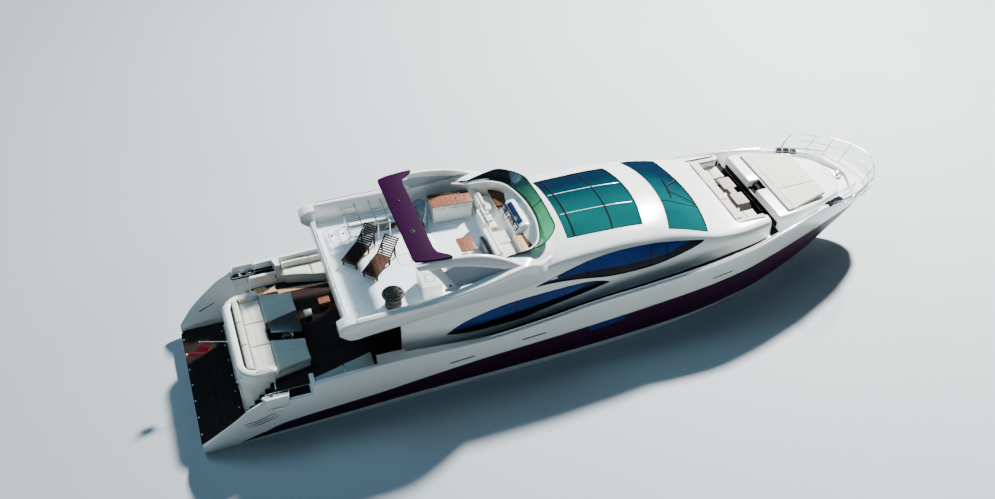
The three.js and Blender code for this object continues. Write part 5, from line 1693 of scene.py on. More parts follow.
# Flybridge seats, tables, bar and cabinet
def build_fly_seats():
    base = Build()
    base.prism(rounded_outline(rect(-3.12, 0.14, -2.80, 0.98), 0.1), 4.602, 4.93, 0.02)
    base.prism(rounded_outline(rect(-3.18, 0.10, -2.74, 1.02), 0.08), 4.90, 4.96, 0.015)
    base.prism(rounded_outline(rect(-3.36, 0.10, -3.16, 1.02), 0.07), 4.602, 5.44, 0.03)
    base.piece("helm_seat_base", GELCOAT, "gelcoat", replaces=["helm_seat"])
    cushion("helm_seat_cushion_port", rect(-3.15, 0.57, -2.72, 0.99), 4.955, 5.09, crown=0.03,
            steps=(16, 18, 5))
    cushion("helm_seat_cushion_starboard", rect(-3.15, 0.13, -2.72, 0.55), 4.955, 5.09, crown=0.03,
            steps=(16, 18, 5))
    for side, y0, y1 in (("port", 0.57, 1.0), ("starboard", 0.12, 0.55)):
        cushion(f"helm_seat_back_{side}", rect(0.0, y0, 0.46, y1), 0.0, 0.12, crown=0.03, cross=(),
                channels=(0.1,),
                place=upright(-3.17, 0.10, base=(0, 0, 5.07)), steps=(18, 18, 5))
    for side, y in (("port", 1.01), ("centre", 0.56), ("starboard", 0.11)):
        cushion(f"helm_seat_arm_{side}", rect(-3.12, y - 0.05, -2.80, y + 0.05), 5.10, 5.20, crown=0.015,
                radius=0.04,
                steps=(14, 8, 5), cloth=CLOTH_WHITE)

    base = Build()
    base.prism(rounded_outline(rect(-2.94, 1.22, -2.46, 2.16), 0.06), 4.602, 4.94, 0.02)
    base.prism(rounded_outline(rect(-3.07, 1.22, -2.94, 2.16), 0.05), 4.602, 5.36, 0.02)
    base.piece("port_bench_base", GELCOAT, "gelcoat", replaces=["fly_seat_port"])
    cushion("port_bench_seat", rect(-2.93, 1.23, -2.44, 2.15), 4.935, 5.10, crown=0.04, cross=(0.0,))
    cushion("port_bench_back", rect(0.0, 1.24, 0.34, 2.15), 0.0, 0.13, crown=0.03, cross=(0.0,),
            place=upright(-2.95, 0.12, base=(0, 0, 5.09)))

    base = Build()
    base.prism(rounded_outline(rect(-3.22, -1.60, -2.52, -0.10), 0.06), 4.602, 4.93, 0.02)
    base.prism(rounded_outline(rect(-3.48, -1.62, -3.30, -0.08), 0.05), 4.602, 5.38, 0.03)
    base.piece("starboard_bench_base", GELCOAT, "gelcoat", replaces=["fly_sofa"])
    cushion("starboard_bench_seat_fore", rect(-3.16, -0.84, -2.50, -0.08), 4.925, 5.09, crown=0.035)
    cushion("starboard_bench_seat_aft", rect(-3.16, -1.62, -2.50, -0.86), 4.925, 5.09, crown=0.035)
    cushion("starboard_bench_back", rect(0.0, -1.62, 0.42, -0.08), 0.0, 0.13, crown=0.03, cross=(-0.02,),
            cloth=CLOTH_WHITE,
            place=upright(-3.28, 0.08, base=(0, 0, 5.0)))
    # Dark box aft of the starboard bench back: painted shadow cast by the bench.
    shade = Build()
    shade.box((-3.68, -1.56, 4.602), (-3.52, -0.30, 5.20), 0.02)
    shade.piece("starboard_bench_painted_shadow", TABLE_DARK, "black_plastic")


build_fly_seats()


def build_bar():
    body = Build()
    outline = rounded_outline([(-4.94, 1.67), (-3.31, 1.57), (-3.31, 2.25), (-4.94, 2.40)], 0.04, 4)
    body.prism(outline, 4.602, 5.425, 0.012)
    toe = rounded_outline([(-4.90, 1.72), (-3.34, 1.62), (-3.34, 2.2), (-4.90, 2.3)], 0.03)
    body.prism(toe, 4.6, 4.66, 0.004)
    front = np.array([-4.94, 1.67]), np.array([-3.31, 1.57])
    for t0, t1 in ((0.04, 0.33), (0.36, 0.64), (0.67, 0.96)):
        p, q = front[0] + (front[1] - front[0]) * t0, front[0] + (front[1] - front[0]) * t1
        out = np.array([-0.061, -1.0]) * 0.012
        body.prism([tuple(p + out * 2), tuple(q + out * 2), tuple(q - out), tuple(p - out)], 4.74, 5.30,
                   0.006)
    body.piece("bar_body", GELCOAT, "gelcoat", replaces=["wet_bar"])
    top = Build()
    slab = rounded_outline([(-4.98, 1.63), (-3.28, 1.53), (-3.28, 2.14), (-4.98, 2.28)], 0.06, 5)
    top.prism(slab, 5.43, 5.478, 0.014)
    top.piece("bar_top", WOOD, "wood_warm")
    back = Build()
    back.prism(rounded_outline([(-4.98, 2.30), (-3.28, 2.16), (-3.28, 2.27), (-4.98, 2.42)], 0.02), 5.42,
               5.50, 0.008)
    back.piece("bar_backsplash", TABLE_DARK, "black_plastic")
    knobs = Build()
    for t in (0.30, 0.345, 0.39):
        p = front[0] + (front[1] - front[0]) * t
        knobs.lathe((p[0], p[1] - 0.012, 5.36), [(0, -0.01), (0.022, -0.01), (0.02, 0.018), (0, 0.022)],
                    (-0.06, -1, 0), 14)
    for t in (0.185, 0.50, 0.815):
        p = front[0] + (front[1] - front[0]) * t
        knobs.tube([(p[0] - 0.07, p[1] - 0.03, 5.25), (p[0] - 0.07, p[1] - 0.055, 5.25),
                    (p[0] + 0.07, p[1] - 0.06, 5.25),
                    (p[0] + 0.07, p[1] - 0.035, 5.25)], 0.007, 8)
    sink = rounded_outline(rect(-3.95, 1.70, -3.55, 2.02), 0.06, 5)
    knobs.sweep([(x, y, 5.479) for x, y in sink], [(-0.012, 0), (0.012, 0), (0.008, 0.004), (-0.008, 0.004)],
                closed=True)
    knobs.tube([(-3.75, 2.08, 5.47), (-3.75, 2.08, 5.62), (-3.75, 2.05, 5.66), (-3.75, 1.97, 5.66),
                (-3.75, 1.94, 5.63)], 0.011, 10)
    knobs.piece("bar_fittings", STEEL, "stainless")

    cabinet = Build()
    cabinet.prism(rounded_outline(rect(-6.60, -2.35, -5.85, -1.35), 0.05), 4.602, 5.215, 0.012)
    cabinet.prism(rounded_outline(rect(-6.62, -2.37, -5.83, -1.33), 0.06), 5.21, 5.248, 0.012)
    for y0, y1 in ((-2.30, -1.88), (-1.82, -1.40)):
        cabinet.box((-6.612, y0, 4.68), (-6.598, y1, 5.16), 0.004)
    cabinet.piece("cabinet_body", GELCOAT, "gelcoat", replaces=["fly_cabinet"])
    fittings = Build()
    for y in (-1.90, -1.80):
        fittings.tube([(-6.60, y, 5.0), (-6.635, y, 5.0), (-6.635, y, 5.1), (-6.60, y, 5.1)], 0.006, 8)
    fittings.sweep([(x, y, 5.249) for x, y in rounded_outline(rect(-6.4, -2.1, -6.05, -1.7), 0.05, 5)],
                   [(-0.012, 0), (0.012, 0), (0.008, 0.005), (-0.008, 0.005)], closed=True)
    fittings.piece("cabinet_fittings", STEEL, "stainless")

    table = Build()
    table.prism(rounded_outline(rect(-4.65, -1.0, -4.0, -0.2), 0.06, 5), 5.245, 5.288, 0.014)
    table.piece("fly_table_top", WOOD, "wood_warm", replaces=["fly_table"])
    leg = Build()
    leg.lathe((-4.325, -0.6, 4.602), [(0, 0), (0.20, 0), (0.205, 0.01), (0.19, 0.02), (0.07, 0.035),
                                      (0.042, 0.06),
                                      (0.038, 0.30), (0.046, 0.31), (0.046, 0.36), (0.038, 0.37),
                                      (0.038, 0.60),
                                      (0.10, 0.635), (0.10, 0.645), (0, 0.645)], sides=28)
    leg.piece("fly_table_leg", STEEL, "stainless")


build_bar()


def build_wicker_table():
    b = Build()
    rows = []
    profile = spline([(0.20, 4.602), (0.30, 4.66), (0.31, 4.80), (0.27, 4.92), (0.33, 5.08), (0.40, 5.20),
                      (0.41, 5.255)], 6)
    sides = 96
    for n, (radius, z) in enumerate(profile):
        ring = []
        for k in range(sides):
            weave = 0.007 * (1 if (k // 2 + n) % 2 else -1)
            a = 2 * PI * k / sides
            ring.append((-7.75 + (radius + weave) * math.cos(a), -2.26 + (radius + weave) * math.sin(a), z))
        rows.append(ring)
    b.grid(rows, ring=True, caps=True)
    for z, radius in ((4.615, 0.25), (4.92, 0.285), (5.25, 0.405)):
        b.tube([(-7.75 + radius * math.cos(a), -2.26 + radius * math.sin(a),
                 z) for a in np.linspace(0, 2 * PI, 49)[:-1]],
               0.014, 8, closed=True)
    for k in range(8):
        a = 2 * PI * k / 8
        b.tube([(-7.75 + r * math.cos(a), -2.26 + r * math.sin(a), z) for r,
                z in ((0.24, 4.62), (0.32, 4.74), (0.28, 4.92), (0.40, 5.23))],
               0.012, 6)
    b.piece("wicker_drum", WICKER, "wicker", replaces=["wicker_table"], sharp=50)
    top = Build()
    top.lathe((-7.75, -2.26, 5.25), [(0, 0), (0.385, 0), (0.392, 0.008), (0.392, 0.022), (0.384, 0.03),
                                     (0, 0.03)], sides=48)
    top.piece("wicker_table_glass", TABLE_GLASS, "black_plastic")
    lace = Build()
    for petals, middle, swing, z in ((9, 0.25, 0.10, 5.286), (7, 0.17, 0.11, 5.292)):
        turns = np.linspace(0, 2 * PI, 181)[:-1]
        lace.tube([(-7.75 + (middle + swing * math.cos(petals * a)) * math.cos(a),
                    -2.26 + (middle + swing * math.cos(petals * a)) * math.sin(a),
                    z) for a in turns], 0.009, 6, closed=True)
    for radius in (0.37, 0.06):
        lace.tube([(-7.75 + radius * math.cos(a), -2.26 + radius * math.sin(a),
                    5.286) for a in np.linspace(0, 2 * PI, 49)[:-1]],
                  0.011, 6, closed=True)
    lace.piece("wicker_top_weave", WICKER_PALE, "wicker")


build_wicker_table()


def build_loungers():
    length, half, height, hinge = 1.96, 0.31, 0.33, 1.215
    for side, foot in (("port", (-8.83, 0.18)), ("starboard", (-8.25, -0.70))):
        place = Matrix.Translation((foot[0], foot[1], 4.602)) @ Matrix.Rotation(math.radians(46), 4, "Z")
        slats, backs, wood = Build(), Build(), Build()
        for y in (-half + 0.025, half - 0.025):
            wood.box((0, y - 0.022, height - 0.05), (hinge + 0.06, y + 0.022, height - 0.002), 0.006, 2, 0,
                     place)
            wood.box((0.09, y - 0.03, 0), (0.15, y + 0.03, height - 0.02), 0.008, 2, 0, place)
            wood.box((hinge - 0.15, y - 0.03, 0), (hinge - 0.09, y + 0.03, height - 0.02), 0.008, 2, 0, place)
            wood.box((length - 0.42, y - 0.025, 0), (length - 0.36, y + 0.025, height + 0.22), 0.008, 2, 0,
                     place)
            rail = [(hinge, y, height - 0.02), (length - 0.07, y, height + 0.435)]
            wood.sweep([place @ Vector(p) for p in rail],
                       rounded_outline(rect(-0.022, -0.022, 0.022, 0.022), 0.006, 2))
        wood.box((0.0, -half, height - 0.045), (0.05, half, height - 0.004), 0.006, 2, 0, place)
        for k in range(15):
            x = 0.055 + k * 0.077
            slats.box((x, -half + 0.004, height - 0.008), (x + 0.068, half - 0.004, height + 0.014), 0.005, 2,
                      0, place)
        along = Vector((length - 0.07 - hinge, 0, 0.455))
        for k in range(9):
            start = Vector((hinge, 0, height)) + along * ((k + 0.15) / 9)
            end = start + along.normalized() * 0.058
            lift = Vector((-along.z, 0, along.x)).normalized() * 0.018
            ring = [start, end, end + lift, start + lift]
            rows = [[place @ (Vector((v.x, y, v.z))) for v in ring] for y in (-half + 0.004, half - 0.004)]
            backs.grid(rows, ring=True, caps=True)
        strut = [(hinge + 0.34, -half + 0.05, height + 0.18), (hinge + 0.30, -half + 0.05, 0.14)]
        wood.tube([place @ Vector(p) for p in strut], 0.012, 8)
        wood.piece(f"lounger_frame_{side}", SLAT_DARK, "wood_warm", replaces=[f"lounger_{side}"])
        slats.piece(f"lounger_slats_{side}", SLAT_DARK if side == "port" else WOOD_SLAT, "wood_warm",
                    sharp=30)
        backs.piece(f"lounger_back_slats_{side}", SLAT_DARK, "wood_warm", sharp=30)


build_loungers()


# Flybridge helm: console pod, dash, gauges and wheel
WHEEL_X, WHEEL_Y, WHEEL_Z, WHEEL_TILT, WHEEL_RADIUS = -2.33, 0.3, 5.48, 0.9, 0.19


def build_helm():
    section = [(-2.31, 4.602), (-2.33, 5.16), (-2.27, 5.30), (-2.13, 5.52), (-2.02, 5.60), (-1.86, 5.635),
               (-1.72, 5.60), (-1.66, 5.50), (-1.66, 4.602)]
    outline = rounded_outline(section, [0.0, 0.06, 0.08, 0.08, 0.08, 0.1, 0.06, 0.06, 0.0], 4)
    pod = Build()
    rows = []
    for y in np.linspace(-0.66, 1.04, 36):
        edge = min(y + 0.66, 1.04 - y) / 0.12
        k = 1 if edge >= 1 else math.sqrt(max(0.0, 1 - (1 - edge) ** 2)) * 0.16 + 0.84
        rows.append([(-1.95 + (x + 1.95) * k, y, 4.602 + (z - 4.602) * (0.5 + 0.5 * k)) for x, z in outline])
    pod.grid(rows, ring=True, caps=True)
    for k in range(2):
        y = (0.05, 0.55)[k]
        pod.box((-2.345, y, 4.75), (-2.30, y + 0.42, 5.08), 0.012)
    tilt = Vector((-math.sin(WHEEL_TILT), 0, math.cos(WHEEL_TILT)))
    foot = Vector((WHEEL_X, WHEEL_Y, WHEEL_Z))
    pod.lathe(foot - tilt * 0.17, [(0, 0), (0.085, 0), (0.075, 0.05), (0.052, 0.10), (0.05, 0.129),
                                   (0, 0.129)], tilt, 24)
    pod.piece("console_pod", GELCOAT, "gelcoat", replaces=["fly_console"])

    dash, screens, dials = Build(), Build(), Build()
    slope = Vector((0.14, 0, 0.22)).normalized()
    out = Vector((-slope.z, 0, slope.x))
    turn = Matrix((slope, Vector((0, 1, 0)), out)).transposed().to_4x4()
    place = Matrix.Translation(Vector((-2.27, 0, 5.31)) + out * 0.004) @ turn
    dash.prism(rounded_outline(rect(0.0, -0.58, 0.25, 0.98), 0.05, 5), 0.0, 0.012, 0.004, 2, 0, place)
    crest = Vector((0.22, 0, 0.105)).normalized()
    hood = Matrix((crest, Vector((0, 1, 0)), Vector((-crest.z, 0, crest.x)))).transposed().to_4x4()
    hood = Matrix.Translation(Vector((-2.115, 0, 5.545))) @ hood
    dash.prism(rounded_outline(rect(0.0, -0.46, 0.22, 0.84), 0.06, 5), 0.0, 0.014, 0.004, 2, 0, hood)
    dash.piece("console_dash", DASH_BLUE, "black_plastic")
    for y0, y1 in ((0.52, 0.90), (-0.20, 0.10)):
        screens.prism(rounded_outline(rect(0.03, y0, 0.22, y1), 0.015), 0.012, 0.022, 0.003, 2, 0, place)
    screens.piece("console_screens", TABLE_GLASS, "black_plastic")
    for y in (-0.50, -0.40, -0.30, 0.16, 0.26, 0.36, 0.46):
        for x in (0.07, 0.17):
            centre = place @ Vector((x, y, 0.011))
            dials.lathe(centre, [(0, 0), (0.034, 0), (0.036, 0.006), (0.032, 0.012), (0.029, 0.008),
                                 (0, 0.008)], out, 20)
    throttle = Vector((-2.08, -0.14, 5.56))
    dials.lathe(throttle, [(0, 0), (0.06, 0), (0.055, 0.02), (0.03, 0.05), (0, 0.055)], sides=20)
    for dy in (-0.025, 0.025):
        dials.tube([throttle + Vector((0, dy, 0.03)), throttle + Vector((-0.05, dy, 0.13))], 0.010, 8)
        dials.lathe(throttle + Vector((-0.05, dy, 0.13)),
                    [(0, -0.02), (0.016, -0.012), (0.02, 0.004), (0.012, 0.022), (0, 0.024)], sides=12)
    dials.piece("console_dials", STEEL, "stainless")

    turn = Vector((0, 0, 1)).rotation_difference(tilt).to_matrix().to_4x4()
    place = Matrix.Translation(foot) @ turn
    rim, metal_parts = Build(), Build()
    ring = [place @ Vector((WHEEL_RADIUS * math.cos(a), WHEEL_RADIUS * math.sin(a),
                            0)) for a in np.linspace(0, 2 * PI, 65)[:-1]]
    rim.tube(ring, 0.0155, 12, closed=True)
    rim.lathe(foot - tilt * 0.0, [(0, 0.02), (0.036, 0.02), (0.03, 0.028), (0, 0.032)], tilt, 20)
    rim.piece("wheel_rim", BLACK, "black_plastic", "steering_wheel", ["steering_wheel"])
    metal_parts.lathe(foot, [(0, -0.0395), (0.05, -0.0395), (0.05, -0.02), (0.042, 0.012), (0.036, 0.02),
                             (0, 0.02)], tilt, 24)
    for k in range(3):
        a = k * 2 * PI / 3 - 0.5 * PI
        path = [place @ Vector((r * math.cos(a), r * math.sin(a), z)) for r,
                z in ((0.02, -0.004), (0.09, -0.010), (0.178, 0.0))]
        metal_parts.sweep(spline(path, 5), [(0.016 * c, 0.005 * s) for c, s in circle(1.0, 10)],
                          up=tuple(tilt))
    metal_parts.piece("wheel_spokes", STEEL, "stainless", "steering_wheel")


build_helm()


def build_dash_shelves():
    shelf, dark = Build(), Build()
    inside = lambda x: FLY.at("well_y", x) - 0.03
    port = [(-2.42, 1.12), (-1.66, 1.10)] + [(x, inside(x)) for x in np.linspace(-1.64, -2.42, 12)]
    dark.prism(port, 5.20, 5.30, 0.01)
    starboard = [(-1.66, -0.70)] + [(x, -inside(x)) for x in np.linspace(-1.64, -2.10, 9)] + [(-2.10, -0.72)]
    dark.prism(starboard, 5.20, 5.30, 0.01)
    light = [(-2.12, -0.72)] + [(x, -inside(x)) for x in np.linspace(-2.12, -2.48, 7)] + [(-2.46, -0.74)]
    shelf.prism(light, 5.18, 5.29, 0.01)
    dark.piece("dash_shelf_dark", TEAK_BROWN, "teak_dark")
    shelf.piece("dash_shelf_light", WOOD_PALE, "wood_warm")
    skirt = Build()
    for sign, x0 in ((1, -2.42), (-1, -2.46)):
        pts = [(x0, sign * 1.12), (x0, sign * inside(x0)), (x0 + 0.05, sign * inside(x0)),
               (x0 + 0.05, sign * 1.12)]
        if sign < 0:
            pts = [(x0, -0.72), (x0, -inside(x0)), (x0 + 0.05, -inside(x0)), (x0 + 0.05, -0.72)]
        skirt.prism(pts, 4.602, 5.19, 0.006)
    skirt.piece("dash_skirt", GELCOAT, "gelcoat")

    guard, bars = Build(), Build()
    centre = Vector((-5.24, 2.08, 4.62))
    rows = []
    for u in np.linspace(-1, 1, 21):
        width = math.sqrt(max(0.0, 1 - (0.96 * u) ** 2))
        rows.append([(centre.x + 0.34 * math.cos(0.9 * u * PI / 2) - 0.16 + dx, centre.y + 0.66 * u,
                      centre.z + z)
                     for dx, z in ((0, 0.02), (-0.05, 0.25 + 0.25 * width), (-0.12, 0.12 + 0.70 * width),
                                   (-0.112, 0.12 + 0.70 * width), (-0.042, 0.25 + 0.25 * width),
                                   (0.008, 0.02))])
    guard.grid(rows, ring=True, caps=True)
    guard.piece("stair_guard_glass", GUARD_GLASS, "side_glass")
    bars.tube([row[2] for row in rows], 0.011, 10)
    bars.tube([rows[0][2], rows[0][0]], 0.011, 10)
    bars.tube([rows[-1][2], rows[-1][0]], 0.011, 10)
    bars.piece("stair_guard_frame", RUBBER, "black_plastic")


build_dash_shelves()


# Stern: platform, stairs, transom block with its rolled rim, and the tender garage door
TRANSOM, PLATFORM_TOP, BLOCK_HALF, SOLE_TOP = -13.74, 0.45, 2.13, 1.96


def build_platform():
    outline = rounded_outline([(-15.49, -2.86), (-15.33, -3.02), (TRANSOM, -3.02), (TRANSOM, 3.02),
                               (-15.33, 3.02), (-15.49, 2.86)],
                              [0.03, 0.03, 0.0, 0.0, 0.03, 0.03], 4)
    teak = Build().prism(outline, 0.30, PLATFORM_TOP, 0.012)
    teak.piece("platform_teak", TEAK_ACROSS, "teak_dark", replaces=["swim_platform"])
    edge = Build()
    edge.sweep([(-15.475, y, 0.36) for y in np.linspace(-2.84, 2.84, 40)],
               [(-0.03, -0.06), (0.03, -0.06), (0.035, 0.04), (0.0, 0.062), (-0.03, 0.04)])
    edge.piece("platform_edge", GELCOAT, "gelcoat")
    lamps = Build()
    for y in np.linspace(-2.5, 2.5, 7):
        lamps.lathe((-15.42, y, PLATFORM_TOP), [(0, -0.01), (0.035, -0.01), (0.035, 0.004), (0.022, 0.010),
                                                (0, 0.012)], sides=18)
        lamps.lathe((-13.9, y, PLATFORM_TOP), [(0, -0.01), (0.022, -0.01), (0.022, 0.003), (0, 0.006)],
                    sides=14)
    lamps.piece("platform_lamps", LAMP, "stainless")
    seams = Build()
    for y in (-1.1, 1.1):
        hatch = rounded_outline(rect(-15.1, y - 0.45, -14.35, y + 0.45), 0.04, 4)
        seams.tube([(x, yy, PLATFORM_TOP + 0.001) for x, yy in hatch], 0.005, 6, closed=True)
    seams.piece("platform_hatch_seams", RUBBER, "black_plastic")


def build_stairs():
    run, rise = (TRANSOM + 12.4) / -6, (SOLE_TOP - PLATFORM_TOP) / 6
    for side, sign in (("port", 1), ("starboard", -1)):
        body, treads, tan = Build(), Build(), Build()
        profile_points = [(TRANSOM, 0.252)]
        for k in range(6):
            top = PLATFORM_TOP + rise * (k + 1) - 0.018
            profile_points += [(TRANSOM + run * k, top), (TRANSOM + run * (k + 1), top)]
        profile_points += [(-12.402, 0.252)]
        body.wall(profile_points, 2.142, 3.025, 0.008)
        for k in range(6):
            low = PLATFORM_TOP + rise * (k + 1) - 0.02
            board = rounded_outline(rect(TRANSOM + run * k - 0.012, 2.18, TRANSOM + run * (k + 1) - 0.004,
                                         2.99), 0.02, 3)
            # The two top port treads are tan: painted sunlight on the teak.
            (tan if side == "port" and k >= 4 else treads).prism(board, low, low + 0.022, 0.005)
        for shape, name, material, nodes in ((body, f"stair_body_{side}", GELCOAT, [f"stern_stairs_{side}"]),
                                             (treads, f"stair_treads_{side}", TEAK_ACROSS, []),
                                             (tan, f"stair_painted_sunlit_treads_{side}", WOOD_PALE, [])):
            if not shape.vertices:
                continue
            if sign < 0:
                shape.mirrored_only()
            shape.piece(name, material, "gelcoat" if nodes else "teak_dark", replaces=nodes)


def block_outline(grow=0.0):
    half = BLOCK_HALF + grow
    corners = [(-12.405, -half), (-12.405, half), (-13.40, half), (-13.66 - grow, 1.97),
               (TRANSOM - grow, 1.70),
               (TRANSOM - grow, -1.70), (-13.66 - grow, -1.97), (-13.40, -half)]
    return rounded_outline(corners, [0, 0, 0.2, 0.2, 0.15, 0.15, 0.2, 0.2], 5)


def build_transom():
    b = Build()
    b.prism(block_outline(), 0.252, 0.481, 0.006)
    b.prism(block_outline(), 1.70, 2.36, 0.012)
    for sign in (1, -1):
        side = ([(-12.405, sign * 1.742)] + [p for p in block_outline() if sign * p[1] > 1.742]
                + [(TRANSOM + 0.006, sign * 1.742)])
        ordered = side if sign > 0 else [side[-1]] + side[1:-1] + [side[0]]
        b.prism(ordered, 0.47, 1.71, 0.0)
        for y in (1.5025,):
            b.box((-13.795, sign * y - 0.02 + 0.02 * sign, 1.70),
                  (-13.70, sign * y + 0.02 + 0.02 * sign, 1.75), 0.008)
    b.piece("transom_body", GELCOAT, "gelcoat", replaces=["transom_block"])

    rim = Build()
    path = rounded_outline([(-12.40, 2.02), (-13.52, 2.02), (-13.52, -2.02), (-12.40, -2.02)],
                           [0, 0.55, 0.55, 0], 12)
    curve = resample([(x, y, 2.55) for x, y in path], 0.06)
    profile_points = [(0.20, -0.42), (0.205, -0.20), (0.195, -0.06), (0.165, 0.02), (0.11, 0.065),
                      (0.04, 0.082),
                      (-0.04, 0.078), (-0.09, 0.055), (-0.12, 0.015), (-0.13, -0.05), (-0.13, -0.42)]
    rim.sweep(curve, profile_points)
    for sign in (1, -1):
        ball = [(0, -0.30), (0.10, -0.30), (0.16, -0.28), (0.165, 0.0), (0.155, 0.035), (0.12, 0.065),
                (0.06, 0.078), (0, 0.08)]
        rim.lathe((-12.42, sign * 2.055, 2.55), ball, sides=28)
    rim.piece("transom_rim", GELCOAT, "gelcoat")

    slot = Build()
    inner = rounded_outline([(-12.62, 1.872), (-13.372, 1.872), (-13.372, -1.872), (-12.62, -1.872)],
                            [0, 0.42, 0.42, 0], 10)
    slot.sweep(resample([(x, y, 2.52) for x, y in inner], 0.06),
               [(-0.012, -0.14), (0.022, -0.14), (0.022, 0.06), (-0.012, 0.06)])
    slot.piece("rim_slot", RUBBER, "black_plastic")


def build_garage_door():
    panel, gaskets, fittings = Build(), Build(), Build()
    panel.box((-13.738, -1.73, 0.489), (-13.682, 1.73, 1.691), 0.012)
    for y0, y1 in ((-1.62, -0.56), (-0.52, 0.52), (0.56, 1.62)):
        frame_outline = rounded_outline([(y0, 0.60), (y1, 0.60), (y1, 1.58), (y0, 1.58)], 0.08, 5)
        gaskets.tube([(-13.739, y, z) for y, z in frame_outline], 0.006, 6, closed=True)
    panel.piece("garage_door_panel", GELCOAT, "gelcoat", "garage_door", ["garage_door"])
    gaskets.piece("garage_door_lines", RUBBER, "black_plastic", "garage_door")
    fittings.tube([(-13.77, y, 1.725) for y in np.linspace(-1.499, 1.499, 20)], 0.0175, 14)
    for y in (-1.2, -0.06, 1.08):
        fittings.box((-13.776, y, 1.56), (-13.744, y + 0.12, 1.722), 0.005)
        for z in (1.585, 1.625):
            for dy in (0.03, 0.09):
                fittings.lathe((-13.776, y + dy, z), [(0, 0), (0.009, 0), (0.008, 0.003), (0, 0.004)],
                               (-1, 0, 0), 12)
    for y in (-0.9, 0.9):
        fittings.tube([(-13.738, y - 0.09, 0.72), (-13.760, y - 0.09, 0.72), (-13.760, y + 0.09, 0.72),
                       (-13.738, y + 0.09, 0.72)], 0.007, 8)
    fittings.piece("garage_door_hinge", STEEL, "stainless", "garage_door")


def build_flag():
    staff = Build()
    foot, tip = Vector((-13.58, 0, 2.34)), Vector((-14.78, 0, 2.76))
    staff.tube([foot + (tip - foot) * t for t in np.linspace(0, 1, 14)], 0.0205, 14,
               scale=np.linspace(1.05, 0.8, 14))
    axis = (tip - foot).normalized()
    staff.lathe(foot + (tip - foot) * 0.16, [(0, -0.02), (0.045, -0.02), (0.05, 0.0), (0.034, 0.03),
                                             (0.026, 0.10), (0, 0.10)], axis, 22)
    staff.lathe(tip - axis * 0.005, [(0, -0.02), (0.018, -0.018), (0.026, 0.0), (0.02, 0.014), (0, 0.02)],
                axis, 16)
    for t in (0.60, 0.965):
        p = foot + (tip - foot) * t
        ring = [p + Vector((0, 0.027 * math.cos(a),
                            0.027 * math.sin(a))) for a in np.linspace(0, 2 * PI, 17)[:-1]]
        staff.tube(ring, 0.005, 6, closed=True)
    staff.piece("flagstaff_tube", STEEL, "stainless", replaces=["flagstaff"])

    # A rectangle of cloth: each line down the hoist has the cut's width, each line along the fly its length
    cut = (0.468, 0.97)
    hoist_in, hoist_out = Vector((-14.30, -0.024, 2.555)), Vector((-14.74, -0.024, 2.715))
    fall = resample(spline([(0, 0), (-0.13, -0.23), (-0.34, -0.43), (-0.66, -0.55)], 10), 0.02)
    steps = np.linspace(0, 1, len(fall))
    nu, nv = 60, 28

    def cloth_rows(scale):
        rows = []
        for u in np.linspace(0, 1, nu + 1):
            x, z = (scale * np.interp(u, steps, fall[:, k]) for k in range(2))
            row = []
            for v in np.linspace(0, 1, nv + 1):
                swing = 0.052 * math.sin(2 * PI * (1.6 * u - 0.2 * v)) * min(1.0, 3 * u)
                fold = 0.016 * math.sin(2 * PI * (3.4 * u + 0.15 * v)) * min(1.0, 2 * u)
                row.append(hoist_out.lerp(hoist_in, v) + Vector((x, swing + fold, z)))
            rows.append(row)
        return rows

    low, high = 0.5, 1.5
    for _ in range(24):
        middle = 0.5 * (low + high)
        line = [row[nv // 2] for row in cloth_rows(middle)]
        if sum((b - a).length for a, b in zip(line, line[1:])) < cut[1]:
            low = middle
        else:
            high = middle
    rows = cloth_rows(middle)
    cloth = Build()
    back = [[p - Vector((0, 0.003, 0)) for p in row] for row in rows]
    cloth.grid([front + behind[::-1] for front, behind in zip(rows, back)], ring=True, caps=True)
    flag = cloth.piece("ensign_cloth", FLAG_CLOTH, "flag_cloth", replaces=["flag"], sharp=60)


build_platform()
build_stairs()
build_transom()
build_garage_door()
build_flag()


